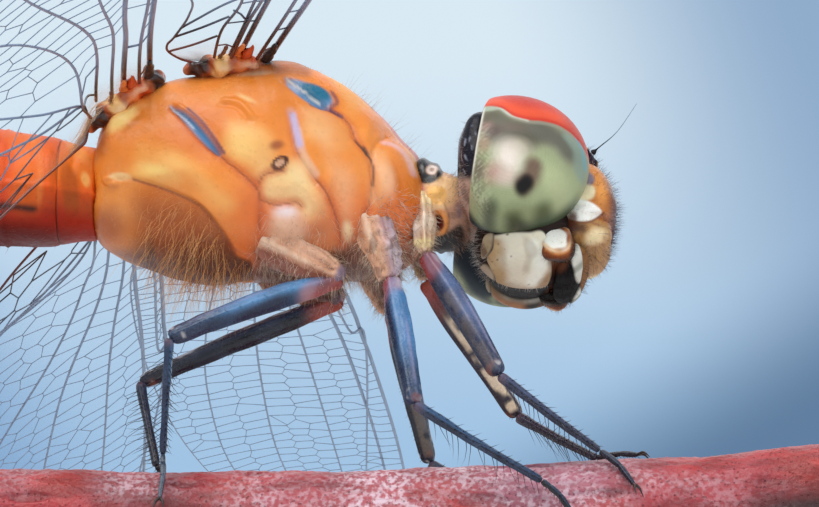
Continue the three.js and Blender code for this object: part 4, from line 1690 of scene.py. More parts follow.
        coat.sow(skin, dusk, 420, ease(1.05, 1.3, x) * (high < 2.2))
        gold = Hair((0.16, 0.4), 0.005, 0xD8965A, 0xFAD6A0, (0.2, 0.0, 0.0), 0.1, 0.5)
        coat.sow(skin, gold, 300, ease(0.5, 0.9, high) * (high < 1.9))
        coat.weave("collar_hair", Bristle("collar hair", sheer=0.1).material(), "amber_shell")

    def build_neck(self) -> None:
        """Models the pale neck membrane in folds."""
        (x, y, z), reach = self.neck
        frame = Frame(np.array((x, y, z)))
        piece = Bench.ball("neck_membrane", 24, lambda unit: unit * reach * (1.1, 1.0, 1.0), frame)
        skin = Skin(piece, frame, 0x78544E)
        skin.push(0.03 * np.sin(skin.x * 38) + 0.02 * skin.ripple(0.3, 43))
        skin.paint(Paint.UMBER, 0.6 * ease(-0.2, 0.4, -skin.z))
        skin.finish(
            Cuticle("neck skin", rough=0.55, clouds=0.5, bloom=0.1, coat=0.0).material(), "ivory", "neck"
        )


@dataclass(frozen=True)
class Segment:
    """One ring of the abdomen: its length, and half heights and half widths at front and rear."""

    length: float
    high: Pair
    wide: Pair


@dataclass
class Abdomen:
    """The ten-ringed abdomen and the claspers at its end."""

    front: float = -8.82
    front_height: float = 1.81
    rise: float = 0.08
    levelling: float = 0.0008
    segments: tuple[Segment, ...] = (
        Segment(0.9, (1.28, 1.52), (1.2, 1.42)), Segment(2.2, (1.56, 1.75), (1.48, 1.62)),
        Segment(3.6, (1.74, 1.42), (1.62, 1.42)), Segment(4.2, (1.4, 1.22), (1.4, 1.3)),
        Segment(4.2, (1.2, 1.2), (1.28, 1.32)), Segment(4.1, (1.2, 1.24), (1.32, 1.42)),
        Segment(3.7, (1.24, 1.28), (1.42, 1.46)), Segment(2.4, (1.26, 1.14), (1.44, 1.28)),
        Segment(1.6, (1.1, 0.94), (1.22, 1.02)), Segment(1.0, (0.9, 0.7), (0.96, 0.78)),
    )

    def axis(self, x: float) -> float:
        """The height of the abdomen's middle at X."""
        back = self.front - x
        return self.front_height + self.rise * back - self.levelling * back**2

    def build(self) -> None:
        """Builds the ten rings, the claspers and the short hair."""
        finish = Cuticle(
            "red cuticle", rough=0.42, clouds=0.4, cloud_scale=700.0, pits=0.15, pit_scale=6500.0, bloom=0.0,
            coat=0.03, specular=0.2, bump=0.35, subsurface=0.05,
        ).material()
        coat = Coat(201)
        front = self.front
        for number, segment in enumerate(self.segments, 1):
            self.build_segment(number, front, segment, finish, coat)
            front -= segment.length
        self.build_claspers(front, finish)
        coat.weave("abdomen_hair", Bristle("red hair").material(), "red_shell")

    def build_segment(
        self, number: int, front: float, segment: Segment, finish: Material, coat: Coat
    ) -> None:
        """Models one ring, whose rear rim laps over the next.

        Args:
            number: Its place from the front.
            front: Where it starts.
            segment: Its sizes.
            finish: The shell's material.
            coat: The coat that its hairs are added to.
        """
        rings = []
        lap = 0.06
        for share, rim in (
            (0.0, 0.9), (0.02, 0.965), (0.08, 1.0), (0.35, 1.0), (0.65, 1.0), (0.9, 1.0), (0.98, 1.005),
            (1.0, 0.93)
        ):
            x = front - share * (segment.length + (lap if number < 10 else 0.0))
            rim = 1.04 if number == 1 and share < 0.1 else rim
            x += 0.2 * (number == 1 and share == 0)
            reach = rim * (segment.high[0] + (segment.high[1] - segment.high[0]) * share)
            half = rim * (segment.wide[0] + (segment.wide[1] - segment.wide[0]) * share)
            rings.append(oval(x, self.axis(x), reach, reach, half, 20, top=1.12, bottom=0.9))
        piece = Bench.loft(f"abdomen_ring_{number}", rings[::-1], 3 if number < 4 else 2)
        skin = Skin(piece, colour=Paint.RED)
        x, across = skin.x, skin.out
        level = skin.z - np.array([self.axis(v) for v in x])
        share = (front - x) / segment.length
        self.carve_segment(number, skin, share, level)
        cloud, streaks = skin.ripple(1.2, 50 + number), skin.ripple(0.3, 90 + number, (1, 0.3, 0.3))
        skin.paint(0xE85A0A, 0.9 * ease(-1.1, -0.2, level) * (1 - 0.06 * number))
        skin.paint(0xC43416, 0.5 * ease(0.6, 1.3, level + 0.3 * cloud) * (number > 1))
        skin.paint(0xF07A20, 0.45 * ease(0.3, 1.1, cloud))
        fore = ease(-10.9, -9.0, x + 0.35 * cloud)
        skin.paint(0xEA7E26, 0.85 * fore * ease(-0.8, 0.3, level))
        skin.paint(0xA4480F, 0.7 * fore * ease(0.2, 1.0, streaks) + 0.75 * fore * fall(-0.9, -0.3, level))
        skin.paint(
            0xF4B060,
            0.45 * fore * ease(0.4, 1.1, -streaks) + 0.9 * skin.spot((-8.95, 1.72), (0.16, 0.3), 15, 0.6)
        )
        skin.paint(0xA01E06, 0.9 * fall(-1.25, -0.8, level + 0.1 * cloud))
        skin.paint(0x500602, 0.9 * fall(-1.6, -1.2, level))
        skin.paint(Paint.UMBER, 0.6 * ease(0.98, 1.0, share) + 0.5 * fall(0.0, 0.025, share) * (number > 2))
        side = ease(0.3, 0.6, across / segment.wide[0])
        dash = ease(-0.2, 0.2, np.sin(x * 2.2 + 1.1 + skin.ripple(0.6, 60 + number)))
        streak = bell(level + 1.08, 0.09) * side * (0.15 + 0.85 * dash)
        skin.paint(Paint.BLACK, 0.9 * streak * (1 < number <= 9))
        skin.paint(Paint.BLACK, 0.55 * bell(across, 0.09) * ease(0.2, 0.9, level) * (number > 2))
        if number >= 8:
            skin.paint(Paint.BLACK, 0.6 * ease(0.2, 0.9, share) * ease(0.1, 0.6, level) * (across < 0.6))
        skin.gloss = 0.5 + 0.15 * skin.ripple(0.8, 70 + number)
        skin.finish(finish, "red_shell", f"abdomen_{number}")
        fine = Hair((0.08, 0.22), 0.006, 0x6E2814, 0xD27846, (-0.8, 0.0, 0.0), 0.05, 0.3)
        coat.sow(skin, fine, int(90 * segment.length), np.ones(len(x)))

    def carve_segment(self, number: int, skin: Skin, share: Array, level: Array) -> None:
        """Raises the keels along and round a ring and dimples it.

        Args:
            number: Its place from the front.
            skin: Its surface.
            share: How far back each vertex lies, from 0 to 1.
            level: The height of each vertex over the axis.
        """
        across = skin.out
        skin.push(0.07 * bell(across, 0.07) * ease(0.1, 0.6, level))
        skin.push(0.06 * bell(level + 0.5, 0.08) * ease(0.4, 0.9, across))
        hoops = {2: (0.35, 0.7), 3: (0.22, 0.55), 4: (0.14,)}.get(number, ())
        for hoop in hoops:
            skin.push(0.05 * bell(share - hoop, 0.014))
        skin.push(skin.ripple(0.9, 80 + number) * 0.02)
        dimple = np.hypot(share - 0.55, (level - 0.25) * 0.35)
        skin.push(-0.05 * bell(dimple, 0.12) * ease(0.5, 0.9, across))

    def build_claspers(self, front: float, finish: Material) -> None:
        """Models the two upper claspers and the lower one between them.

        Args:
            front: Where the last ring ends.
            finish: The shell's material.
        """
        z = self.axis(front)
        for side in Side:
            y = side.value
            line = soften(
                (
                    (front + 0.12, y * 0.36, z + 0.28), (front - 0.7, y * 0.46, z + 0.3),
                    (front - 1.7, y * 0.4, z + 0.5)
                ),
                5
            )
            self.clasper(f"clasper_{side.label}", line, 0.22, f"cercus_{side.label}", finish)
        line = soften(
            ((front + 0.12, 0.0, z - 0.33), (front - 0.6, 0.0, z - 0.38), (front - 1.2, 0.0, z - 0.12)), 5
        )
        self.clasper("clasper_lower", line, 0.25, "epiproct", finish)

    def clasper(self, name: str, line: Array, reach: float, node: str, finish: Material) -> None:
        """Models one clasper along its line and adds it.

        Args:
            name: Its name.
            line: The places of its middle line.
            reach: Its thickest reach.
            node: The solid that it stands for.
            finish: Its material.
        """
        shares = np.linspace(0, 1, len(line))
        radii = [
            (reach * r, reach * r * 0.85)
            for r in np.interp(shares, (0, 0.2, 0.7, 0.93, 1), (0.75, 0.8, 1, 0.6, 0.2))
        ]
        piece = Bench.loft(name, limb_rings(line, radii, 10), 2)
        skin = Skin(piece, colour=0xB03A1A)
        skin.paint(Paint.BLACK, 0.8 * fall(line[-1][0], line[-1][0] + 0.7, skin.x))
        skin.finish(finish, "red_shell", node)


# ---- Head --------------------------------------------------------------------------------------


@dataclass
class Head:
    """The head: two great eyes on a dark capsule, with the face and the mouthparts below."""

    origin: Point = (3.26, 0.0, 1.68)
    roll: float = -8.0
    eye_half: Point = (2.12, 1.75, 2.22)
    eye_x: float = -0.44
    eye_apart: float = 1.75
    eye_lean: float = 22.0
    # height and place of the eye's rear margin
    eye_rear: Plan = (
        (-2.4, -0.1), (-2.14, -0.5), (-2.06, -0.84), (-1.97, -1.12), (-1.8, -1.36), (-1.55, -1.54),
        (-1.24, -1.63),
        (-0.55, -1.53), (0.05, -1.43), (0.45, -1.36), (1.0, -1.27), (1.6, -1.12), (2.4, -0.9),
    )
    far_step: float = 0.42
    face_back: float = 0.7
    # height, front and half width of each level
    face_levels: tuple[Point, ...] = (
        (-2.08, 2.02, 1.2), (-1.85, 2.2, 1.36), (-1.4, 2.4, 1.5), (-0.8, 2.52, 1.55), (-0.2, 2.5, 1.45),
        (0.35, 2.3, 1.2), (0.7, 2.0, 0.9), (0.85, 1.7, 0.6),
    )
    labrum_levels: tuple[Point, ...] = (
        (-3.0, 1.2, 0.75), (-2.75, 1.48, 1.15), (-2.4, 1.68, 1.32), (-2.14, 1.78, 1.28),
    )
    cap_edge: Plan = (
        (-1.8, 1.3), (-1.24, 1.06), (-0.8, 0.93), (-0.5, 0.58), (-0.07, 0.4), (0.35, 0.42), (0.75, 0.42),
        (1.08, 0.33), (1.31, 0.2), (1.51, 0.06), (1.7, -0.1),
    )

    @property
    def frame(self) -> Frame:
        """The head's own axes."""
        c, s = math.cos(math.radians(self.roll)), math.sin(math.radians(self.roll))
        return Frame(np.array(self.origin), np.array(((1, 0, 0), (0, c, -s), (0, s, c)), float))

    def build(self) -> None:
        """Builds the whole head."""
        black = Cuticle(
            "black cuticle", rough=0.42, clouds=0.3, cloud_scale=1600.0, pits=0.1, pit_scale=5000.0,
            bloom=0.0,
            coat=0.03, bump=0.35, specular=0.14,
        ).material()
        lens = Lens().material()
        for side in Side:
            self.build_eye(side, lens)
        self.build_capsule(black)
        self.build_face()
        self.build_vertex(black)
        self.build_labrum(black)
        self.build_mouth()
        for side in Side:
            self.build_antenna(side, black)

    def eye_margin(self, high: Array, side: Side) -> Array:
        """How far back an eye's rear margin lies at each height."""
        line = soften(self.eye_rear)
        return np.interp(high, line[:, 0], line[:, 1]) - self.far_step * (side is Side.LEFT)

    def build_eye(self, side: Side, lens: Material) -> None:
        """Models and paints one eye.

        Args:
            side: Which eye.
            lens: The eyes' material.
        """
        lean = math.radians(self.eye_lean) * side.value

        def shape(unit: Array) -> Array:
            """Stretches, leans and places the ball, flat behind and at the middle.

            Args:
                unit: Places on the unit ball.

            Returns:
                The eye's places.
            """
            ball = unit * self.eye_half
            y = ball[:, 1] * math.cos(lean) - ball[:, 2] * math.sin(lean) + side.value * self.eye_apart
            z = ball[:, 1] * math.sin(lean) + ball[:, 2] * math.cos(lean)
            x = ball[:, 0] + self.eye_x
            inner = side.value * y - 0.03
            y = side.value * (0.03 + (inner + np.sqrt(inner**2 + 0.06**2)) / 2)
            rear = self.eye_margin(z, side)
            behind = x - rear
            return np.stack((rear + (behind + np.sqrt(behind**2 + 0.1**2)) / 2, y, z), axis=1)

        piece = Bench.ball(f"eye_lens_{side.label}", 96, shape, self.frame)
        skin = Skin(piece, self.frame, 0xA6B186)
        self.paint_eye(skin, side)
        skin.finish(lens, "eye", f"eye_{side.label}")

    def paint_eye(self, skin: Skin, side: Side) -> None:
        """Paints the red cap over the clouded green eye, with its dark pupil, a painted glare and painted
        shade on its inner side.

        Args:
            skin: The eye's surface.
            side: Which eye.
        """
        x, high = skin.x, skin.z
        outer = ease(1.2, 1.9, skin.out)
        skin.paint(0x8A8A72, 0.85 * ease(-0.95, -0.1, high))
        skin.daub((
            (0xBCC496, 0.9, (0.62, -1.3), (0.75, 0.62), 0, 0.9),
            (0x848C66, 0.7, (-0.2, -2.05), (1.3, 0.3), 0, 0.9),
            (0x9A9E7E, 0.7, (1.05, -0.65), (0.4, 0.5), -20, 0.9),
        ), outer)
        skin.stroke((
            (0x5A5646, 0.9, 0.6, ((-1.0, 0.5), (-0.62, 0.16), (-0.1, 0.0), (0.3, 0.02))),
            (0x66645A, 0.9, 0.5, ((0.1, 0.02), (0.5, 0.0), (0.88, -0.18), (1.05, -0.36))),
            (0x5C584A, 0.8, 0.5, ((-0.95, -0.12), (-0.6, -0.2), (-0.1, -0.36))),
            (0x8FA294, 0.8, 0.3, ((1.1, 0.1), (1.35, -0.25), (1.38, -0.75))),
        ), outer)
        skin.daub((
            (0x94706A, 0.85, (-1.2, 0.22), (0.34, 0.32), 0, 0.9),
            (0xA68A72, 0.8, (-1.26, -0.34), (0.3, 0.44), 0, 0.9),
            (0x54403A, 0.9, (-0.98, 0.02), (0.4, 0.34), 20, 0.9),
            (0x6A5A50, 0.7, (-0.45, 0.12), (0.6, 0.26), -8, 0.9),
            (0x746A5C, 0.8, (-1.4, -1.05), (0.26, 0.5), 0, 0.9),
            (0xC6BCA8, 0.75, (-0.3, -0.55), (0.62, 0.46), -20, 0.95),
            # Painted highlight: a soft pink-white glare on the eye.
            (0xF2E4DA, 0.95, (-0.6, -0.88), (0.66, 0.9), 14, 0.98),
            (0xC69A90, 0.8, (-1.0, -1.2), (0.44, 0.46), 0, 0.95),
            (0xDCC2B6, 0.75, (-0.66, -1.34), (0.46, 0.36), 0, 0.95),
            (0x586248, 0.95, (-1.08, -1.93), (0.36, 0.3), 0, 0.9),
            (0x505A38, 0.95, (-0.45, -2.14), (0.46, 0.2), 0, 0.9),
            (0x505A38, 0.9, (0.37, -1.95), (0.5, 0.28), 25, 0.9),
        ), outer)
        skin.stroke((
            (0x6A443E, 0.85, 0.4, ((-0.2, -1.5), (0.0, -1.3), (0.08, -1.05))),
            (0x2C1E1A, 0.9, 0.24, ((-0.22, -1.56), (-0.08, -1.42))),
            (0x060404, 1.0, 0.29, ((-0.24, -1.57), (-0.12, -1.48))),
        ), outer)
        grain = ease(0.2, 0.9, skin.ripple(0.06, 305) + skin.ripple(0.7, 306))
        skin.paint(0x6A5446, 0.45 * grain * outer * fall(-1.5, -0.8, x))
        light = ease(0.3, 1.0, skin.ripple(0.05, 307) + skin.ripple(0.5, 308))
        skin.paint(0xD2CDB6, 0.4 * light * outer * fall(-1.45, -0.9, x) * fall(0.2, 0.6, high))
        skin.stroke((
            (0x9A9484, 0.7, 0.12, [(a, b - 0.05) for a, b in self.cap_edge]),
            (0xC4CEBE, 0.8, 0.09, self.cap_edge[:5]),
            (0x6FAAB2, 0.75, 0.1, ((1.3, 0.22), (1.47, -0.1), (1.52, -0.5))),
        ))
        line = soften(self.cap_edge)
        cap = high - np.interp(x, line[:, 0], line[:, 1]) + 0.02 * skin.ripple(0.2, 309)
        skin.paint(0xCC3420, ease(-0.03, 0.06, cap))
        skin.paint(0xEC5832, 0.85 * ease(0.04, 0.25, cap) * fall(0.35, 0.85, cap))
        skin.paint(0xAA2018, 0.8 * ease(0.75, 1.4, cap) + 0.6 * ease(0.7, 1.3, x) * ease(0.02, 0.1, cap))
        skin.daub(((0xAEBAA6, 0.95, (-1.12, 0.98), (0.4, 0.2), -14, 0.7),), fall(0.04, 0.14, cap))
        back = x - self.eye_margin(high, side)
        rim = fall(0.04, 0.12, back)
        skin.paint(0xEEECE0, 0.9 * rim * fall(0.9, 1.2, high) * ease(-1.4, -0.9, high))
        skin.paint(
            0x14141A, ease(0.72, 0.9, -skin.normals[:, 0]) * fall(0.05, 0.12, back) * ease(-1.4, -1.0, high)
        )
        inward = ease(-0.35, 0.1, -skin.normals[:, 1] * side.value)
        facet = outer * fall(0.1, 0.25, back)
        inward = inward * (1 - facet)
        # Painted shade: the eye's inner side, lower down and towards the rear, lies in the head's shadow.
        skin.paint(0x3A4A34, 0.9 * inward * fall(-1.5, -0.8, high))
        skin.paint(0x0E2030, 0.95 * inward * fall(-1.1, 0.1, x) * fall(-0.6, 0.6, high))
        skin.paint(0x32261A, 0.8 * fall(-2.2, -2.08, high) * outer)

    def build_capsule(self, black: Material) -> None:
        """Models the dark capsule behind the eyes, hollow where the neck enters.

        Args:
            black: The dark shell's material.
        """
        stations = (
            (-1.3, -0.35, 0.4, 0.4, 0.4), (-1.55, -0.35, 0.7, 0.6, 0.85), (-1.77, -0.1, 0.75, 0.65, 1.5),
            (-1.89, 0.05, 0.7, 0.6, 1.9), (-1.93, 0.08, 0.58, 0.5, 2.2), (-1.88, 0.08, 0.84, 0.7, 2.46),
            (-1.76, 0.06, 1.2, 0.9, 2.68), (-1.56, 0.05, 1.56, 1.1, 2.82), (-1.22, 0.05, 1.83, 1.25, 2.86),
            (-0.8, 0.0, 1.8, 1.2, 2.4), (0.2, -0.1, 1.6, 1.1, 2.0), (0.9, -0.2, 1.1, 0.9, 1.4),
        )
        rings = [oval(*station, sides=26, top=0.62, bottom=0.62) for station in stations]
        piece = Bench.loft("head_capsule", rings, 3, self.frame)
        skin = Skin(piece, self.frame, Paint.INK)
        x, high, out = skin.x, skin.z, skin.out
        temple = ease(1.9, 2.4, out)
        skin.push(0.03 * skin.ripple(0.5, 301) * temple)
        skin.paint(0x20202A, temple)
        specks = ease(0.7, 1.3, skin.ripple(0.06, 302, (1, 1, 0.3)) + 0.4 * skin.ripple(0.5, 303))
        skin.paint(0x8A90A0, 0.75 * specks * temple * fall(0.5, 1.2, high))
        low = np.maximum(
            fall(0.35, 0.6, skin.flat(CHEEK)[:, 1]), fall(-1.05, -0.75, high)
        ) * fall(-1.0, -0.5, x)
        skin.paint(0xDCB4A0, 0.95 * low)
        skin.paint(0x6A483E, 0.6 * low * ease(-0.2, 0.7, skin.ripple(0.3, 304)))
        skin.gloss = 0.5 + 0.3 * temple * (1 - low) - 0.4 * low
        skin.finish(black, "black_shell", "head")
        coat = Coat(301)
        rear = fall(-1.75, -1.5, x)
        grey = Hair((0.1, 0.24), 0.003, 0x6E6E78, 0xBEC0C8, (-0.5, 0.0, 0.0), 0.05, 0.35)
        coat.sow(skin, grey, 160, rear * temple)
        dusk = Hair((0.12, 0.32), 0.0045, 0x64423A, 0xBE9C8E, (-0.7, 0.0, -0.2), 0.15, 0.4)
        coat.sow(skin, dusk, 700, low)
        white = Hair((0.14, 0.34), 0.0045, 0x8C786E, 0xE2D8CE, (-0.7, 0.0, -0.2), 0.15, 0.3)
        coat.sow(skin, white, 260, rear * fall(-0.9, -0.3, high) * ease(0.8, 1.4, out))
        coat.weave("head_hair", Bristle("head hair").material(), "black_shell")

    def level_ring(self, level: Point, sides: int = 20) -> Array:
        """One level cross-section of the face, bowed forwards.

        Args:
            level: Its height and sizes.
            sides: How many places it has.

        Returns:
            The ring's places.
        """
        z, front, half = level
        angle = np.linspace(0, TURN, sides, endpoint=False)
        c, s = np.cos(angle), np.sin(angle)
        reach = (front - self.face_back) / 2
        x = (front + self.face_back) / 2 + reach * np.sign(c) * np.abs(c) ** 0.8
        return np.stack((x, half * np.sign(s) * np.abs(s) ** 0.8, np.full(sides, z)), axis=1)

    def build_face(self) -> None:
        """Models the frons and clypeus, with their pale patches and black fringe."""
        piece = Bench.loft(
            "face_plate", [self.level_ring(level) for level in self.face_levels], 4, self.frame
        )
        skin = Skin(piece, self.frame, 0xC27428)
        x, out, high = skin.x, skin.out, skin.z
        every, side = (0, 1, 2), ease(0.7, 1.05, out)
        seam = (
            (1.0, 1.9, -1.62), (1.5, 1.6, -1.5), (2.02, 1.3, -1.36), (2.35, 0.7, -1.26), (2.46, 0.0, -1.24)
        )
        skin.push(
            -0.1 * skin.line(seam, 0.16, every) + 0.07 * skin.spot((1.3, -0.75), (1.2, 0.45), 0, 0.9, (1, 2))
        )
        skin.push(
            0.08 * skin.spot((0.7, -1.75), (1.0, 0.34), 0, 0.9, (1, 2)) + 0.018 * skin.ripple(0.45, 311)
        )
        skin.push(
            0.06 * skin.spot((1.52, -1.28), (0.5, 0.24), 4, 0.9) * side
            - 0.05 * skin.spot((1.7, -0.95), (0.5, 0.09), 4, 0.9) * side
        )
        skin.push(-0.1 * bell(out, 0.16) * ease(-0.7, 0.2, high) * ease(1.6, 2.0, x))
        tone = skin.ripple(0.8, 313)
        skin.paint(0xD88C3C, 0.7 * ease(-0.2, 0.8, tone) * side)
        skin.paint(0xA25F30, 0.7 * ease(1.95, 2.35, x + 0.08 * tone) + 0.4 * fall(0.1, 0.7, out))
        skin.paint(
            0x563640,
            0.95 * ease(2.18, 2.42, x + 0.05 * tone) + 0.5 * ease(2.15, 2.4, x) * ease(-0.2, 0.6, high)
        )
        skin.daub((
            (0xF0A24C, 0.8, (1.97, 0.25), (0.3, 0.6), 10, 0.9),
            (0x9A5426, 0.7, (2.08, -0.6), (0.3, 0.2), -10, 0.9),
            (0xE0A060, 0.6, (1.71, 0.72), (0.2, 0.2), 0, 0.9),
        ), side, CHEEK)
        low = fall(-1.55, -1.4, high + 0.1 * (x - 1.9))
        skin.paint(0xB8884C, low)
        skin.fill((
            (
                0x4A2412, 0.85, 0.14,
                (
                    (0.81, -0.5), (1.04, -0.63), (1.33, -0.68), (1.59, -0.77), (1.54, -1), (1.32, -1),
                    (1.04, -0.94), (0.78, -0.83)
                )
            ),
            (
                0xEFE2B8, 0.95, 0.06,
                ((1.38, 0.28), (1.63, 0.38), (1.83, 0.24), (1.78, -0.02), (1.53, -0.12), (1.32, -0.07))
            ),
            (0x787C94, 0.9, 0.06, ((1.56, 0.73), (1.77, 0.65), (1.84, 0.44), (1.69, 0.33), (1.54, 0.47))),
            (
                0xFFFFF8, 1.0, 0.035,
                (
                    (1.02, -0.36), (1.17, -0.13), (1.48, -0.08), (1.78, -0.19), (2.02, -0.42), (1.86, -0.58),
                    (1.59, -0.67), (1.26, -0.66), (1.07, -0.55)
                )
            ),
            (
                0xF6DFB0, 0.98, 0.12,
                (
                    (1.56, -1.06), (1.81, -0.86), (2.16, -0.97), (2.17, -1.37), (1.95, -1.79), (1.71, -2.1),
                    (1.51, -1.68), (1.51, -1.29)
                )
            ),
        ), side, CHEEK)
        skin.daub((
            (0xFFFFFA, 0.9, (1.5, -0.36), (0.4, 0.16), 0, 0.9),
            (0xA8703C, 0.6, (2.12, -1.25), (0.12, 0.4), 10, 0.8),
            (0xC4C6B4, 0.7, (1.18, -0.53), (0.16, 0.08), -20, 0.8),
            (0xF0E0B0, 0.85, (1.78, -1.17), (0.2, 0.2), 0, 0.9),
            (0x8C5A34, 0.6, (1.97, -1.68), (0.16, 0.2), 20, 0.8),
            (0x8A5230, 0.6, (1.83, -0.75), (0.3, 0.06), -20, 0.8),
        ), side, CHEEK)
        skin.stroke(
            (
                (
                    0x7A4020, 0.8, 0.05,
                    ((1.04, -0.66), (1.33, -0.7), (1.63, -0.7), (1.86, -0.6), (2.08, -0.44))
                ),
            ),
            side, CHEEK
        )
        skin.paint(0x6E3A22, 0.85 * skin.line(seam, 0.06, every))
        skin.daub(
            (
                (0x50241A, 0.95, (1.0, -1.8), (0.38, 0.36), 0, 0.6),
                (0x6A3420, 0.8, (1.2, -1.5), (0.2, 0.3), 0, 0.7)
            )
        )
        skin.paint(Paint.INK, 0.9 * ease(0.58, 0.76, high))
        skin.gloss = 0.5 + 0.2 * skin.ripple(0.6, 312)
        finish = Cuticle(
            "face cuticle", rough=0.38, clouds=0.35, cloud_scale=1500.0, pits=0.12, pit_scale=6000.0,
            bloom=0.03,
            bloom_colour=0xFADCB4, coat=0.15, specular=0.35, bump=0.35, subsurface=0.06,
        )
        skin.finish(finish.material(), "face", "face")
        coat = Coat(302)
        black = Hair((0.16, 0.36), 0.0045, 0x32222E, 0x64546E, (0.15, 0.0, 0.05), 0.0, 0.25)
        coat.sow(skin, black, 720, ease(1.5, 2.1, x) * (0.25 + fall(0.3, 1.0, out)))
        brown = Hair((0.1, 0.26), 0.005, 0x180C0A, 0x543226, (0.1, 0.0, -0.1), 0.05, 0.4)
        coat.sow(skin, brown, 420, skin.spot((1.1, -1.75), (0.5, 0.55), 0, 0.6))
        light = Hair((0.08, 0.2), 0.0035, 0xBE8246, 0xECC896, (0.1, 0.0, -0.1), 0.05, 0.3)
        coat.sow(skin, light, 500, (out > 0.8) * ease(1.2, 1.6, x))
        coat.weave("face_hair", Bristle("face hair").material(), "face")

    def build_vertex(self, black: Material) -> None:
        """Models the dark swelling between the feelers, with its three small eyes.

        Args:
            black: The dark shell's material.
        """
        frame = self.frame
        place, size = np.array((1.55, 0.0, 1.12)), np.array((0.42, 0.55, 0.36))
        piece = Bench.ball("vertex_swelling", 30, lambda unit: place + unit * size, frame)
        skin = Skin(piece, frame, 0x261A2A)
        for y, x, z in ((0.0, 1.92, 1.08), (0.42, 1.62, 1.3)):
            away = np.linalg.norm(skin.folded - (x, y, z), axis=1)
            skin.push(0.08 * fall(0.08, 0.2, away))
            skin.paint(0xCEAA78, 0.9 * fall(0.07, 0.14, away))
        skin.push(-0.08 * bell(skin.points[:, 1], 0.12) * ease(1.2, 1.4, skin.z))
        skin.finish(black, "black_shell", "vertex")
        coat = Coat(303)
        wire = Hair((0.14, 0.34), 0.005, 0x1E141E, 0x5C4C64, (0.3, 0.0, 0.3), 0.0, 0.4)
        coat.sow(skin, wire, 150, ease(1.4, 1.7, skin.x))
        coat.weave("vertex_hair", Bristle("vertex hair").material(), "black_shell")

    def build_labrum(self, black: Material) -> None:
        """Models the black upper lip with the pale crescent on each side.

        Args:
            black: The dark shell's material.
        """
        piece = Bench.loft(
            "upper_lip", [self.level_ring(level) for level in self.labrum_levels], 4, self.frame
        )
        skin = Skin(piece, self.frame, 0x080506)
        sickle = skin.patch((
            (1.12, -1.12), (1.26, -1.15), (1.39, -1.49), (1.47, -1.95), (1.41, -2.35), (1.3, -2.28),
            (1.18, -1.86), (1.09, -1.41),
        ), 0.03, CHEEK)
        skin.push(0.05 * sickle + 0.02 * skin.ripple(0.3, 321))
        skin.fill(
            (
                (
                    0x8E6238, 0.95, 0.05,
                    (
                        (1.27, -1.06), (1.48, -1.14), (1.78, -1.68), (1.75, -2.14), (1.48, -2.39),
                        (1.48, -1.95), (1.4, -1.49)
                    )
                ),
            ),
            1.0, CHEEK
        )
        skin.paint(0x5E2A1C, 0.8 * fall(0.85, 1.1, skin.x) * ease(-2.8, -2.2, skin.z))
        skin.paint(0xA2A598, sickle)
        skin.paint(0xDEDFD6, 0.85 * sickle * ease(-0.6, 0.4, skin.ripple(0.3, 322)))
        skin.daub(((0x6E3E24, 0.85, (0.85, -1.7), (0.3, 0.5), 0, 0.7),), 1 - sickle, CHEEK)
        skin.gloss = 0.1 + 0.3 * sickle
        skin.finish(black, "black_shell", "labrum")
        coat = Coat(304)
        wire = Hair((0.1, 0.26), 0.0045, 0x180E10, 0x423238, (0.2, 0.0, -0.1), 0.0, 0.3)
        coat.sow(skin, wire, 300, (1 - sickle) * ease(0.7, 1.2, skin.x), axis=2)
        rust = Hair((0.1, 0.28), 0.0045, 0x5A2C18, 0xC48454, (0.1, 0.3, 0.0), 0.1, 0.5)
        coat.sow(skin, rust, 320, skin.spot((0.85, -1.75), (0.4, 0.6), 0, 0.7) * (1 - sickle), axis=2)
        coat.weave("upper_lip_hair", Bristle("lip hair").material(), "black_shell")

    def build_mouth(self) -> None:
        """Models the pale lower lip and the jaws."""
        finish = Cuticle(
            "ivory cuticle", rough=0.34, clouds=0.2, cloud_scale=1300.0, pits=0.05, pit_scale=3000.0,
            bloom=0.0,
            coat=0.05, specular=0.18, bump=0.2, subsurface=0.1,
        ).material()
        size, middle = np.array((1.4, 1.8, 1.22)), np.array((0.0, 0.0, -1.65))
        piece = Bench.ball("lower_lip", 84, lambda unit: middle + unit * size, self.frame)
        skin = Skin(piece, self.frame, 0xEAE4D0)
        x, y, z = skin.points.T.copy()
        gap = np.abs(y - 0.55)
        cleft = fall(0.56, 0.68, gap)
        skin.push(0.1 * (1 - bell(gap, 0.5)) - 0.12 * cleft + 0.17 * ease(1.15, 1.35, y) * fall(1.5, 1.75, y))
        plates = (
            (
                (-0.93, -1.06), (-0.46, -0.98), (-0.01, -0.98), (0.35, -0.96), (0.57, -1.37), (0.62, -1.83),
                (0.59, -2.23), (0.42, -2.51), (-0.01, -2.66), (-0.46, -2.65), (-0.82, -2.46), (-0.88, -2.17),
                (-1.03, -1.91), (-1.12, -1.68), (-0.97, -1.44)
            ),
            ((-1.3, -1.41), (-1.2, -1.08), (-0.98, -1.02), (-1.02, -1.4), (-1.15, -1.63), (-1.27, -1.68)),
            (
                (-1.35, -1.95), (-1.17, -1.86), (-0.96, -2.06), (-0.91, -2.28), (-1.02, -2.43),
                (-1.24, -2.37), (-1.35, -2.17)
            ),
        )
        masks = [skin.patch(plate, 0.035, CHEEK) for plate in plates]
        skin.push(0.06 * np.max(masks, axis=0) + 0.015 * skin.ripple(0.7, 331))
        skin.paint(0x24140F, 1.0)
        for mask, tone in zip(masks, (0xE8E0CA, 0xBCAE92, 0xBCA890)):
            skin.paint(tone, 0.98 * mask)
        shade = skin.ripple(0.35, 333)
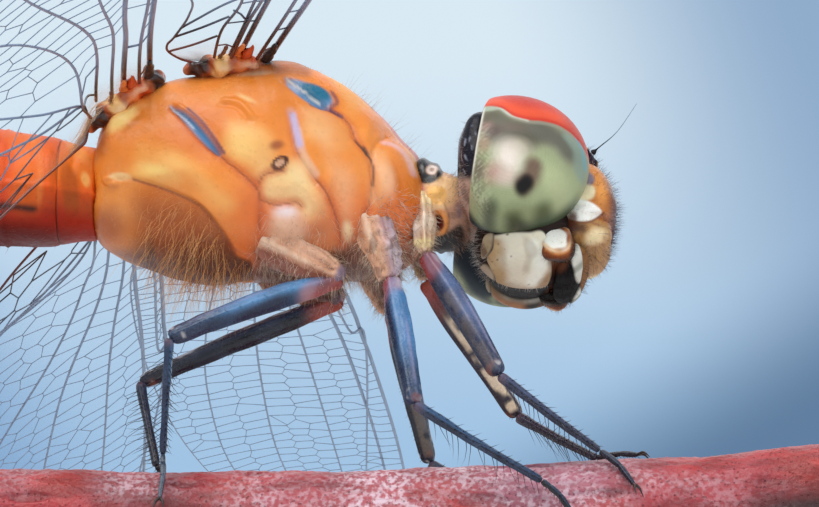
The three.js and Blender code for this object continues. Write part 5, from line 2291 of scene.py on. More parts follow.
        skin.daub((
            (0xA08A68, 0.8, (-1.1, -1.52), (0.34, 0.7), 0, 0.9),
            (0x8A6A48, 0.7, (-0.91, -1.25), (0.24, 0.14), 0, 0.9),
            (0xE2E6D2, 0.9, (0.25, -1.75), (0.42, 0.5), 0, 0.9),
            (0xF8F8F0, 0.7, (0.36, -1.68), (0.2, 0.3), 0, 0.9),
            (0xC6BCA6, 0.6, (-0.46, -2.41), (0.4, 0.16), 0, 0.9),
            (0xD0B08A, 0.5, (0.44, -1.29), (0.16, 0.16), 0, 0.9),
        ), np.max(masks, axis=0), CHEEK)
        skin.stroke(
            (
                (0xA07A50, 0.9, 0.34, plates[0][6:12]), (0xBC9A6C, 0.85, 0.5, plates[0][11:]),
                (0xF6F8EC, 0.7, 0.3, ((0.1, -1.35), (0.3, -1.9), (0.1, -2.3)))
            ),
            masks[0], CHEEK
        )
        skin.paint(0x8A7054, 0.35 * ease(0.3, 1.1, shade) * masks[0])
        skin.paint(0x5E4428, 0.7 * masks[0] * ease(1.1, 1.5, skin.ripple(0.09, 335)))
        skin.paint(0x5A3A2A, 0.7 * masks[1] * ease(0.5, 1.1, shade) + 0.5 * masks[2] * ease(0.6, 1.1, shade))
        lobe = ease(1.15, 1.25, y) * fall(-2.3, -2.1, z)
        skin.paint(0x6E4A34, lobe)
        skin.paint(0xB8845C, 0.85 * lobe * ease(-0.6, 0.3, skin.ripple(0.5, 334)))
        # Painted shadow: the far lobe's lower part, in the shade of the cleft.
        skin.paint(0x1C2C2C, 0.9 * ease(1.15, 1.25, y) * fall(-2.62, -2.4, z + 0.1 * shade))
        skin.paint(0x060304, cleft)
        skin.daub(((0x6A3A22, 0.85, (0.75, -1.75), (0.32, 0.5), 0, 0.7),), 1.0, CHEEK)
        skin.gloss = 0.1 + 0.45 * np.max(masks, axis=0) * (1 - cleft)
        skin.finish(finish, "ivory", "labium")
        coat = Coat(305)
        pale = Hair((0.1, 0.22), 0.0045, 0xBEAA96, 0xF6F2EA, (0.0, 0.3, -0.4), 0.1, 0.45)
        coat.sow(skin, pale, 70, fall(0.0, 0.14, np.abs(y + 0.1)) * (z < -2.0))
        fringe = Hair((0.16, 0.36), 0.0045, 0x827266, 0xE8E4DC, (-0.7, 0.0, -0.1), 0.1, 0.35)
        coat.sow(skin, fringe, 330, fall(-1.25, -0.9, x))
        dark = Hair((0.1, 0.24), 0.005, 0x32140E, 0x825442, (0.3, 0.0, -0.3), 0.1, 0.45)
        coat.sow(skin, dark, 420, ease(0.5, 0.7, x) + 0.6 * cleft)
        coat.weave("mouth_hair", Bristle("mouth hair").material(), "ivory")
        for side in Side:
            self.build_jaw(side, finish)

    def build_jaw(self, side: Side, finish: Material) -> None:
        """Models one jaw's cream base with its orange rim.

        Args:
            side: Which jaw it is.
            finish: Its material.
        """
        place, size = np.array((0.77, side.value * 1.3, -2.28)), np.array((0.44, 0.36, 0.5))
        piece = Bench.ball(
            f"jaw_{side.label}", 36, lambda u: place + np.sign(u) * np.abs(u) ** 0.78 * size, self.frame
        )
        skin = Skin(piece, self.frame, 0x7A3E1C)
        uneven = skin.ripple(0.35, 341)
        skin.push(0.05 * uneven)
        outline = (
            (0.3, -0.97), (0.51, -0.77), (0.85, -0.72), (1.09, -0.9), (1.14, -1.29), (1.01, -1.49),
            (0.74, -1.55), (0.47, -1.43), (0.32, -1.23)
        )
        cream = skin.patch(outline, 0.04, CHEEK)
        skin.push(0.04 * cream)
        skin.stroke(((0xB4622E, 0.8, 0.14, outline[3:8]), (0xE09A58, 0.7, 0.08, outline[4:8])), 1.0, CHEEK)
        core = skin.patch(
            (
                (0.44, -1.06), (0.59, -0.9), (0.83, -0.89), (0.99, -1.03), (1.01, -1.29), (0.87, -1.38),
                (0.68, -1.41), (0.51, -1.34), (0.42, -1.21)
            ),
            0.08, CHEEK
        )
        skin.paint(0xF6D4AC, 0.95 * cream * ease(-0.8, 0.2, uneven + 0.3))
        skin.paint(0xFFFCF0, ease(0.1, 0.9, core + 0.5 * cream - 0.4 + 0.25 * skin.ripple(0.2, 342)))
        skin.paint(0xD08A50, 0.45 * cream * ease(0.4, 1.1, skin.ripple(0.16, 343)) * (1 - core))
        inner = -skin.normals[:, 1] * side.value
        skin.paint(0x0E0908, ease(-0.3, 0.2, inner) + 0.7 * ease(1.06, 1.16, skin.x))
        skin.gloss[:] = 0.6
        skin.finish(finish, "ivory", f"mandible_{side.label}")
        coat = Coat(306 + (side is Side.LEFT))
        fuzz = Hair((0.08, 0.2), 0.004, 0x461E14, 0xAA785A, (0.1, 0.0, 0.0), 0.1, 0.5)
        coat.sow(skin, fuzz, 420, 1 - 0.8 * cream, axis=1)
        coat.weave(f"jaw_hair_{side.label}", Bristle("jaw hair").material(), "ivory")

    def build_antenna(self, side: Side, black: Material) -> None:
        """Models one feeler: two stout joints, then a fine bristle.

        Args:
            side: Which feeler it is.
            black: The dark shell's material.
        """
        tips = {Side.LEFT: (2.5, 1.75, 1.3), Side.RIGHT: (3.1, -1.5, 2.2)}
        root = np.array((1.86, side.value * 0.42, 1.2))
        tip = np.array(tips[side])
        middle = (root + tip) / 2 + np.array((0.08, 0.0, -0.1))
        line = soften((root, root * 0.72 + middle * 0.28, middle, tip), 6)
        rings = tube_rings(line, (0, 0.08, 0.16, 0.2, 0.3, 1), (0.085, 0.1, 0.07, 0.034, 0.018, 0.008), 8)
        piece = Bench.loft(f"feeler_{side.label}", rings, 1, self.frame)
        skin = Skin(piece, self.frame, 0x1E1C22)
        skin.paint(0x8EA8B6, 0.9 * ease(0.2, 0.5, gap_to_line(skin.points, line)[1]))
        skin.finish(black, "black_shell", f"antenna_{side.label}")


# ---- Legs --------------------------------------------------------------------------------------


@dataclass(frozen=True)
class LegLook:
    """The colours of one leg: dark is both its own dark colour and the painted shade of its undersides."""

    hip: int
    root: int
    main: int
    dark: int
    stripe: float
    grain: float


@dataclass(frozen=True)
class LegForm:
    """One leg's places, with Y as the distance out from the middle."""

    hip: Point
    trochanter: Point
    knee: Point
    ankle: Point
    toe: Point
    coxa: float
    look: LegLook


class Leg:
    """One leg: hip joint, thigh, shin, foot and claws, with their spines and hair."""

    THIGH = (
        (0.0, 0.62), (0.05, 0.86), (0.1, 0.74), (0.16, 1.0), (0.4, 1.1), (0.7, 0.94), (0.88, 0.82),
        (0.96, 0.84), (1.0, 0.5)
    )
    SHIN = ((0.0, 0.72), (0.04, 1.0), (0.12, 0.86), (0.5, 0.74), (0.9, 0.66), (0.97, 0.74), (1.0, 0.4))
    FOOT = (
        (0.0, 0.55), (0.06, 0.8), (0.2, 0.7), (0.22, 0.55), (0.26, 0.78), (0.5, 0.66), (0.52, 0.5),
        (0.56, 0.72), (0.9, 0.62), (1.0, 0.3),
    )
    RIDGES = {"fore": 1.3, "mid": 1.0, "hind": 0.72}
    THIGH_REACH = 0.33
    SHIN_REACH = 0.175
    FOOT_REACH = 0.13

    def __init__(self, pair: str, side: Side, form: LegForm, seed: int, shell: Material) -> None:
        """Takes the leg's pair, side, places, the seed of its spines and its shell."""
        self.pair, self.side, self.form, self.seed, self.shell = pair, side, form, seed, shell
        self.coat = Coat(seed)
        self.name = f"{pair}_{side.label}"

    def place(self, point: Point) -> Array:
        """A place on this leg's side."""
        return np.array(point) * (1, self.side.value, 1)

    def node(self, part: str) -> str:
        """The name of the solid that a part stands for."""
        return f"{self.pair}_{part}_{self.side.label}"

    def build(self, hair: Material) -> None:
        """Builds the leg.

        Args:
            hair: The material of its spines and hair.
        """
        form = self.form
        hip, trochanter = self.place(form.hip), self.place(form.trochanter)
        knee, ankle, toe = self.place(form.knee), self.place(form.ankle), self.place(form.toe)
        self.build_hip(hip, trochanter)
        bow = np.array((0.0, 0.06 * self.side.value, 0.1))
        thigh = soften((trochanter, (trochanter + knee) / 2 + bow, knee), 8)
        shin = soften((knee, (knee + ankle) / 2 - bow * 0.4, ankle), 8)
        foot = soften((ankle, (ankle + toe) / 2 + (0.05, 0.0, 0.08), toe), 8)
        self.build_part("femur", thigh, self.THIGH, self.THIGH_REACH)
        self.build_part("tibia", shin, self.SHIN, self.SHIN_REACH)
        self.build_part("tarsus", foot, self.FOOT, self.FOOT_REACH)
        self.coat.weave(f"spines_{self.name}", hair, "leg")
        self.build_claws(foot)

    def build_hip(self, hip: Array, trochanter: Array) -> None:
        """Models the hip joint between these ends, ridged along its length, with its wool.

        Args:
            hip: Its upper end.
            trochanter: Its lower end.
        """
        start = hip + (hip - trochanter) * 0.3
        line = soften((start, (hip + trochanter) / 2 + (0.0, 0.08 * self.side.value, -0.05), trochanter), 6)
        shares = np.linspace(0, 1, len(line))
        reach = self.form.coxa * np.interp(
            shares, (0, 0.12, 0.5, 0.86, 0.93, 1), (0.9, 1.12, 0.94, 0.62, 0.66, 0.45)
        )
        piece = Bench.loft(f"hip_{self.name}", limb_rings(line, [(r, r * 1.08) for r in reach], 16), 3)
        skin = Skin(piece, colour=0xE2A474)
        _, along = gap_to_line(skin.points, line)
        _, across, above = (vectors.mean(axis=0) for vectors in limb_axes(line, (0.3, 0.1, 1.0)))
        outward = skin.points - np.stack([np.interp(along, shares, line[:, k]) for k in range(3)], axis=1)
        turn = np.arctan2(outward @ across, outward @ above) * self.side.value
        body = ease(0.0, 0.12, along) * fall(0.84, 0.92, along)
        pair, look, forward = self.pair, self.form.look, skin.normals[:, 0]
        folds = ripple(np.stack((turn * 2.0, along * 0.9), axis=1), 0.9, self.seed)
        streaks = ripple(np.stack((turn * 7.0, along * 2.2), axis=1), 1.0, self.seed + 6)
        fine, uneven = skin.ripple(0.14, self.seed + 3), skin.ripple(0.5, self.seed + 2)
        ridge, groove = (
            bell(turn - self.RIDGES[pair] - where, wide) * body for where, wide in ((0.0, 0.06), (0.16, 0.06))
        )
        skin.push(
            0.06 * folds * body + 0.045 * uneven + 0.008 * streaks * body + 0.016 * fine + 0.012 * ridge
            - 0.012 * groove + 0.04 * skin.ripple(0.25, 515) * body
        )
        skin.paint(look.hip, 1.0)
        skin.paint(0xF4D8BC, 0.7 * ease(0.1, 0.9, folds + 0.3 * fine))
        skin.paint(0xB07A62, 0.6 * ease(0.3, 1.1, -folds) + 0.35 * ease(0.6, 1.3, streaks))
        # Painted shade: the hind hip is darker on its underside.
        skin.paint(0x8C3E26, 0.8 * fall(-0.75, -0.1, skin.normals[:, 2]) * (pair == "hind"))
        skin.paint(0xA88CA6, 0.75 * ease(-0.2, 0.6, forward) * (pair == "mid"))
        skin.paint(0xD8D2DE, 0.6 * ease(0.3, 0.9, forward + 0.3 * uneven) * (pair == "mid"))
        skin.paint(0xC0602C, 0.75 * ease(0.1, 0.8, -forward) * fall(0.25, 0.55, along) * (pair == "mid"))
        skin.paint(0xFFECB8, 0.9 * fall(0.2, 0.4, along) * (pair == "fore"))
        skin.paint(0xFFE8D0, 0.95 * ease(0.3, 0.5, along) * fall(0.6, 0.75, along) * (pair == "fore"))
        skin.paint(0xB094A4, 0.4 * ease(0.5, 1.0, -forward + 0.3 * uneven) * (pair == "fore"))
        skin.paint(0xFFECD4, 0.9 * fall(0.08, 0.26, along + 0.08 * uneven) * (pair == "mid"))
        skin.paint(0x6A4034, 0.6 * ease(0.3, 0.9, skin.ripple(0.3, 516) + 0.5 * fine) * (pair == "mid"))
        skin.paint(0xF2DCA4, 0.9 * ease(0.74, 0.82, along) * fall(0.9, 0.95, along) * (pair == "fore"))
        skin.paint(0xF8E4BC, 0.2 * ridge)
        skin.paint(0x5E2C1E, 0.2 * groove)
        skin.paint(0x6C6E92, 0.75 * ease(0.88, 0.95, along) * (pair == "hind"))
        # Painted shade: every hip is darker on its inner side, towards the middle of the body.
        skin.paint(0x54302A, 0.8 * ease(0.1, 0.8, -skin.normals[:, 1] * self.side.value))
        skin.finish(self.shell, "amber_shell", self.node("coxa"))
        wool = Hair((0.16, 0.46), 0.0055, 0xD6B08C, 0xFFF2DC, (0.0, 0.0, -0.5), 0.25, 0.5)
        self.coat.sow(skin, wool, 520, np.ones(len(along)), axis=2)
        dusk = Hair((0.12, 0.34), 0.006, 0x462E2C, 0x967468, (0.2, 0.0, -0.4), 0.2, 0.5)
        self.coat.sow(skin, dusk, 120 if pair == "fore" else 260, ease(0.5, 0.9, along) + 0.3, axis=2)

    def build_part(self, part: str, line: Array, shape: Sequence[Pair], reach: float) -> None:
        """Models one long part, keeled along its length, and its spines.

        Args:
            part: The part's name, as its node has it.
            line: Its middle line.
            shape: How thick it is at each share of its length.
            reach: Its radius.
        """
        shares = np.array([share for share, _ in shape])
        walked = np.linspace(0, 1, len(line))
        middles = np.stack([np.interp(shares, walked, line[:, k]) for k in range(3)], axis=1)
        slim = {"femur": 0.86, "tibia": 0.8, "tarsus": 0.9}[part]
        rings = limb_rings(
            middles, [(reach * size * slim, reach * size) for _, size in shape], 12, (0.3, 0.1, 1.0)
        )
        piece = Bench.loft(f"{part}_{self.name}", rings, 3)
        skin = Skin(piece, colour=self.form.look.main)
        _, along = gap_to_line(skin.points, line)
        _, across, above = (vectors.mean(axis=0) for vectors in limb_axes(line, (0.3, 0.1, 1.0)))
        turn = np.arctan2(skin.normals @ across, skin.normals @ above)
        skin.push(
            reach * (0.1 * np.abs(np.cos(2 * turn)) ** 8 - 0.05) + 0.01 * skin.ripple(0.35, self.seed + 5)
        )
        self.paint_part(part, skin, along, turn)
        skin.finish(self.shell, "leg", self.node(part))
        self.set_spines(part, line, reach, across, above)

    def paint_part(self, part: str, skin: Skin, along: Array, turn: Array) -> None:
        """Paints one part of the leg.

        Args:
            part: The part's name.
            skin: Its surface.
            along: How far down each vertex lies, from 0 to 1.
            turn: Which way round each vertex faces, 0 being up.
        """
        look, seed = self.form.look, self.seed
        cloud = skin.ripple(0.5, seed + 8)
        # Painted shade: each part is darker on its underside, as if lit from above, with some clouding.
        skin.paint(look.dark, 0.95 * ease(-0.2, 0.5, -np.cos(turn)) + 0.2 * cloud)
        if part == "femur":
            base = fall(0.06, 0.22, along + 0.07 * cloud + 0.05 * np.cos(turn))
            skin.paint(Paint.UMBER, 0.7 * bell(along - 0.1, 0.012))
            skin.paint(look.root, base)
            skin.paint(0x963426, 0.8 * base * ease(-0.3, 0.6, cloud - np.cos(turn)))
            skin.paint(
                0xCEC4D6,
                0.7 * base * ease(0.2, 0.9, np.cos(turn)) * ease(-0.5, 0.3, skin.ripple(0.3, seed + 1))
            )
            skin.paint(look.dark, 0.85 * ease(0.5, 0.85, along))
            side = turn * self.side.value
            belt = ease(1.2, 1.6, np.abs(side)) * fall(2.3, 2.7, np.abs(side)) * ease(0.2, 0.34, along)
            flecks = ease(-0.7, 0.0, skin.ripple(0.22, seed + 9))
            skin.paint(0xE8D2B4, look.stripe * belt * flecks * fall(0.95, 0.98, along))
            # Painted sheen: a pale bluish highlight streak along the thigh's side.
            sheen = bell(np.abs(side) - 0.75, 0.22) * ease(0.3, 0.5, along) * fall(0.8, 0.94, along)
            skin.paint(0x9698BE, 0.55 * sheen)
            knee = ease(0.9, 0.95, along)
            skin.paint(0x96543C, 0.45 * knee * ease(0.0, 0.7, skin.ripple(0.3, seed + 7)))
            skin.paint(0xCEC8C8, 0.7 * knee * ease(0.5, 0.9, skin.ripple(0.16, seed + 6)))
            grains = ease(0.35, 0.8, skin.ripple(0.07, seed + 4) + 0.6 * skin.ripple(0.6, seed + 3))
            skin.paint(0xCED4E0, look.grain * grains * ease(0.0, 0.6, np.cos(turn)) * (1 - base))
        elif part == "tibia":
            skin.paint(look.dark, 0.6 + 0.3 * ease(0.3, 0.9, along))
            skin.paint(0x6E5460, 0.5 * fall(0.03, 0.1, along))
        else:
            skin.paint(Paint.BLACK, 0.85)
        skin.gloss = 0.62 + 0.15 * cloud

    def set_spines(self, part: str, line: Array, reach: float, across: Array, above: Array) -> None:
        """Sets the rows of spines along one part.

        Args:
            part: The part's name.
            line: Its middle line.
            reach: Its radius.
            across: The direction across it.
            above: The direction above it.
        """
        rows = {
            "femur": ((140, 26, 0.08, 0.2), (-140, 22, 0.08, 0.22), (0, 30, 0.03, 0.07), (95, 10, 0.2, 0.45)),
            "tibia": (
                (115, 18, 0.5, 0.95), (-115, 18, 0.45, 0.9), (60, 14, 0.14, 0.34), (-60, 14, 0.14, 0.34)
            ),
            "tarsus": ((130, 12, 0.1, 0.2), (-130, 12, 0.1, 0.2)),
        }[part]
        walked = np.linspace(0, 1, len(line))
        direction = (line[-1] - line[0]) / np.linalg.norm(line[-1] - line[0])
        for degrees, number, short, long in rows:
            shares = np.linspace(
                0.1 if part != "femur" else 0.28, 0.97, number
            ) + self.coat.dice.normal(scale=0.006, size=number)
            middles = np.stack([np.interp(shares, walked, line[:, k]) for k in range(3)], axis=1)
            angle = math.radians(degrees)
            outward = across * math.sin(angle) + above * math.cos(angle)
            roots = middles + outward * reach * 0.55
            lean = 0.75 if part == "tibia" else 0.6
            headings = np.tile(outward + direction * lean, (number, 1))
            taper = long - (long - short) * np.abs(np.linspace(-0.6, 1, number))
            spine = Hair((0.9, 1.1), 0.013 if part == "tibia" else 0.011, Paint.BLACK, 0x282430, spread=0.07)
            flat = SHEET_EDGE + SHEET_SPAN * np.stack((shares, np.full(number, (degrees / 360) % 1)), axis=1)
            for k in range(number):
                sized = Hair(
                    (taper[k], taper[k] * 1.08), spine.thick, spine.root, spine.tip, spread=spine.spread
                )
                one = slice(k, k + 1)
                self.coat.plant(
                    BODY, roots[one], headings[one] / 1.25, sized, flat[one], np.array((rgb(Paint.BLACK),))
                )

    def build_claws(self, foot: Array) -> None:
        """Models the two hooked claws.

        Args:
            foot: The foot's middle line, which ends between them.
        """
        toe, direction = foot[-1], foot[-1] - foot[-2]
        direction = direction / np.linalg.norm(direction)
        across = np.cross(direction, (0.0, 0.0, 1.0))
        across /= max(np.linalg.norm(across), 1e-6)
        hooks = []
        for turn in (-1, 1):
            line = soften((
                toe - direction * 0.05, toe + direction * 0.14 + across * turn * 0.1 + (0.0, 0.0, 0.05),
                toe + direction * 0.3 + across * turn * 0.16 - (0.0, 0.0, 0.1),
            ), 4)
            rings = tube_rings(line, (0, 0.4, 1), (0.05, 0.045, 0.008), 8, (0.2, 0.3, 1.0))
            hooks.append(Bench.loft("hook", rings, 1))
        piece = Bench.join(f"claws_{self.name}", hooks)
        Skin(piece, colour=0x2C1C18).store()
        Bench.polish(piece, self.shell)
        Bench.enter(piece, "leg")


@dataclass
class Legs:
    """The six legs, each with its own places and colours."""

    violet: LegLook = LegLook(0xECC4A0, 0x8C606E, 0x586A92, 0x20223A, 0.1, 0.1)
    ivory: LegLook = LegLook(0xECC4A0, 0xAA5A4A, 0x54465A, 0x2A202C, 1.0, 0.15)
    sky: LegLook = LegLook(0xE2AC88, 0x9684A4, 0x4A7CAE, 0x16223E, 0.0, 0.1)
    slate: LegLook = LegLook(0xE2AC88, 0x968096, 0x425C7E, 0x181A26, 0.15, 0.5)
    blue: LegLook = LegLook(0xE6B290, 0xB08082, 0x548CBE, 0x16223E, 0.0, 0.1)
    navy: LegLook = LegLook(0xE6B290, 0xAA5842, 0x32405C, 0x141624, 0.0, 0.95)

    def forms(self) -> list[tuple[str, Side, LegForm]]:
        """Every leg's pair, side and form."""
        fore = ((0.35, 0.95, 1.0), (0.42, 1.0, -0.42))
        mid = ((-1.0, 1.2, 0.35), (-0.52, 1.25, -1.25))
        hind = ((-3.6, 0.95, -0.2), (-1.85, 0.82, -1.08))
        right, left = Side.RIGHT, Side.LEFT
        return [
            (
                "fore", right,
                LegForm(*fore, (2.4, 1.7, -4.2), (5.1, 1.05, -6.12), (5.95, 1.7, -7.3), 0.3, self.violet)
            ),
            (
                "fore", left,
                LegForm(*fore, (3.0, 1.7, -4.2), (5.1, 0.5, -5.82), (6.25, 0.4, -5.75), 0.3, self.ivory)
            ),
            (
                "mid", right,
                LegForm(*mid, (0.12, 2.5, -5.3), (3.5, 1.78, -7.2), (4.3, 1.72, -8.1), 0.5, self.sky)
            ),
            (
                "mid", left,
                LegForm(*mid, (0.55, 2.5, -5.3), (3.4, 1.78, -7.2), (4.2, 1.72, -8.1), 0.5, self.slate)
            ),
            (
                "hind", right,
                LegForm(*hind, (-6.47, 1.77, -3.17), (-6.6, 1.08, -6.25), (-6.6, 1.75, -7.7), 0.52, self.blue)
            ),
            (
                "hind", left,
                LegForm(*hind, (-7.52, 1.77, -3.17), (-6.9, 0.6, -6.0), (-6.5, 1.35, -6.6), 0.52, self.navy)
            ),
        ]

    def build(self) -> None:
        """Builds the six legs."""
        shell = Cuticle(
            "leg cuticle", rough=0.34, clouds=0.3, cloud_scale=1800.0, pits=0.12, pit_scale=9000.0,
            bloom=0.14,
            bloom_colour=0x8296BA, bloom_scale=1500.0, coat=0.15, specular=0.4, bump=0.35,
        ).material()
        hair = Bristle("spines", rough=0.3).material()
        for number, (pair, side, form) in enumerate(self.forms()):
            Leg(pair, side, form, 400 + 20 * number, shell).build(hair)


# ---- Wings -------------------------------------------------------------------------------------

@dataclass(frozen=True)
class WingForm:
    """One pair of wings, as distances out from the root and back from the leading edge."""

    name: str
    root: Point
    pitch: float
    droop: Pair
    sweep: Pair
    front: Plan
    rear: Plan
    veins: tuple[Plan, ...]
    root_veins: tuple[Plan, ...]
    bare: float
    stigma: Pair
    amber: tuple[float, float, float]
    fold: float
    pale: Point


class Wing:
    """One wing: a rippled clear membrane, its net of veins, its stigma and its root plates."""

    ROWS = 0.95

    def __init__(self, form: WingForm, side: Side) -> None:
        """Takes the wing's form and side."""
        self.form, self.side = form, side
        self.tip = form.front[-1][0]
        self.lines = [soften(vein, 8) for vein in (form.front, *form.veins, form.rear)]

    def back(self, line: Array, out: Array) -> Array:
        """How far back a vein's line lies at these distances out."""
        order = np.argsort(line[:, 0], kind="stable")
        return np.interp(out, line[order, 0], line[order, 1])

    @property
    def frame(self) -> Frame:
        """The wing's own axes."""
        form, turn = self.form, self.side.value
        pick = 0 if self.side is Side.LEFT else 1
        span = Matrix(((0, 1, 0), (1, 0, 0), (0, 0, -1)))
        axes = (
            Matrix.Rotation(math.radians(-turn * form.sweep[pick]), 3, "Z")
            @ Matrix.Rotation(math.radians(-turn * form.droop[pick]), 3, "X")
            @ Matrix.Rotation(math.radians(-form.pitch), 3, "Y")
            @ span
        )
        return Frame(np.array(form.root) * (1, turn, 1), np.array(axes))

    def raised(self, flat: Array) -> Array:
        """Puts places of the plan onto the pleated wing.

        Args:
            flat: Distances out and back.

        Returns:
            The places in the wing's axes.
        """
        out, back = flat[:, 0], flat[:, 1]
        front, rear = self.back(self.lines[0], out), self.back(self.lines[-1], out)
        chord = np.maximum(rear - front, 0.05)
        share = np.clip((back - front) / chord, 0, 1)
        pleat = np.zeros(len(flat))
        fade = 0.16 * (1 - 0.6 * np.clip(out / self.tip, 0, 1))
        tracks = [self.back(line, out) for line in self.lines]
        for k, (near, far) in enumerate(zip(tracks, tracks[1:])):
            start, end = (0.5, -0.6, 0.7, -0.5, 0.35, -0.2, 0.1, 0.0, 0.0)[k : k + 2]
            inside = (back >= near) & (back <= far)
            step = np.clip((back - near) / np.maximum(far - near, 1e-3), 0, 1)
            pleat = np.where(inside, start + (end - start) * step, pleat)
        lift = pleat * fade + 0.3 * np.sin(math.pi * share) * np.clip(out / 6, 0, 1)
        drop = self.form.fold * (0.45 * ease(2.05, 2.7, back) + 0.17 * np.clip(back - 2.5, 0, 4))
        lift -= drop * fall(3.5, 7.0, out)
        lift += 0.05 * ripple(flat, 5.0, 501)
        return np.stack((self.side.value * out, -back, -lift), axis=1)

    def build(self, membrane: Material, shell: Material) -> None:
        """Builds the wing.

        Args:
            membrane: The clear skin's material.
            shell: The veins' and plates' material.
        """
        label = f"{self.form.name}_{self.side.label}"
        self.build_membrane(label, membrane)
        self.build_veins(f"veins_{label}", shell)
        self.build_root(f"wing_root_{label}", shell)

    def build_membrane(self, label: str, material: Material) -> None:
        """Shapes a fine grid into the membrane.

        Args:
            label: The wing's pair and side, which also name the solid that it stands for.
            material: Its material.
        """
        Bench.idle()
        bpy.ops.mesh.primitive_grid_add(x_subdivisions=150, y_subdivisions=44, size=2.0)
        piece = Bench.take(f"membrane_{label}")
        grid = Bench.read(piece)[:, :2] / 2 + 0.5
        out = self.tip * np.sin(grid[:, 0] * math.pi / 2)
        front, rear = self.back(self.lines[0], out), self.back(self.lines[-1], out)
        flat = np.stack((out, front + (rear - front) * grid[:, 1]), axis=1)
        Bench.shape(piece, self.raised(flat), self.frame)
        skin = Skin(piece, self.frame, 0xE2E8EE)
        skin.gloss = np.full(len(flat), 0.025)
        start, end, cover = self.form.amber
        tint = cover * fall(start, end, out + 0.4 * np.clip(flat[:, 1] - 2.0, 0, 3))
        skin.paint(0xF0B054, tint)
        skin.gloss += 0.42 * tint
        smoke = ease(self.tip - 2.2, self.tip - 0.4, out)
        skin.paint(0x785032, 0.5 * smoke)
        skin.gloss += 0.16 * smoke
        x, y, reach = self.form.pale
        flap = fall(0.5 * reach, reach, np.hypot(out - x, flat[:, 1] - y))
        skin.paint(0x463C3A, flap)
        skin.gloss += 0.7 * flap
        skin.finish(material, "wing", label)

    def seeds(self) -> tuple[Array, Array]:
        """Scatters one seed for each cell.

        Returns:
            The seeds, and the number of the strip between veins that each is in.
        """
        dice = np.random.default_rng(510 if self.form.name == "forewing" else 520)
        seeds, strips = [], []
        out = 0.35
        while out < self.tip + 0.6:
            tracks = [float(self.back(line, np.array([min(out, self.tip)]))[0]) for line in self.lines]
            step = 0.72 + 0.75 * (1 - float(ease(1.0, 9.0, np.array([out]))[0])) - 0.16 * out / self.tip
            seeds.append((out, tracks[0] - 0.4))
            strips.append(-1)
            for strip, (near, far) in enumerate(zip(tracks, tracks[1:])):
                if far - near < 0.12:
                    continue
                rows = max(1, round((far - near) / (self.ROWS * (1.0 - 0.25 * out / self.tip))))
                for row in range(rows):
                    shift = (
                        0.5 * (row % 2) + 0.25 * (strip % 2)
                    ) * step if rows > 1 else 0.3 * (strip % 2) * step
                    wobble = dice.normal(scale=0.045 if rows == 1 else 0.09, size=2)
                    place = out + shift + wobble[0]
                    span = [
                        float(self.back(self.lines[k], np.array([min(place, self.tip)]))[0])
                        for k in (strip, strip + 1)
                    ]
                    share = (row + 0.5) / rows + wobble[1] * 0.5 * (rows > 1)
                    if place < self.tip - 0.1 and span[1] - span[0] > 0.1:
                        seeds.append((place, span[0] + (span[1] - span[0]) * share))
                        strips.append(strip)
            seeds.append((out + 0.2, tracks[-1] + 0.45))
            strips.append(len(self.lines) - 1)
            out += step
        return np.array(seeds), np.array(strips)

    def cells(self) -> list[Array]:
        """Finds the walls between the cells.

        Returns:
            Each wall's two ends, as distances out and back.
        """
        seeds, strips = self.seeds()
        places, _, faces, *_ = delaunay_2d_cdt([Vector(s) for s in seeds], [], [], 0, 1e-6)
        points = np.array([tuple(p) for p in places])
        owner = np.array([int(np.argmin(np.linalg.norm(seeds - p, axis=1))) for p in points])
        centres, shared = [], {}
        for number, face in enumerate(faces):
            (ax, ay), (bx, by), (cx, cy) = points[list(face)]
            d = 2 * (ax * (by - cy) + bx * (cy - ay) + cx * (ay - by))
            d = d if abs(d) > 1e-9 else 1e-9
            a2, b2, c2 = ax * ax + ay * ay, bx * bx + by * by, cx * cx + cy * cy
            centre = np.array((
                (a2 * (by - cy) + b2 * (cy - ay) + c2 * (ay - by)) / d,
                (a2 * (cx - bx) + b2 * (ax - cx) + c2 * (bx - ax)) / d,
            ))
            ranks = sorted({int(strips[owner[v]]) for v in face})
            centre[0] = min(max(centre[0], 0.0), self.tip)
            if len(ranks) > 1:
                line = self.lines[ranks[0] + 1 if ranks[0] + 1 < len(self.lines) else ranks[0]]
                centre[1] = self.back(line, centre[:1])[0]
            low, high = (self.back(self.lines[k], centre[:1])[0] for k in (0, -1))
            centre[1] = min(max(centre[1], low), high)
            centres.append(centre)
            for first, second in zip(face, (*face[1:], face[0])):
                shared.setdefault(tuple(sorted((first, second))), []).append(number)
        walls = []
        for (first, second), users in shared.items():
            strip = strips[owner[first]]
            if len(users) != 2 or strip != strips[owner[second]] or strip in (-1, len(self.lines) - 1):
                continue
            wall = np.array([centres[user] for user in users])
            middle, size = wall.mean(axis=0), np.linalg.norm(wall[0] - wall[1])
            bare = strip == len(self.lines) - 2 and middle[0] < self.form.bare
            if 0.03 < size < 3.0 and not bare:
                walls.append(wall)
        return walls

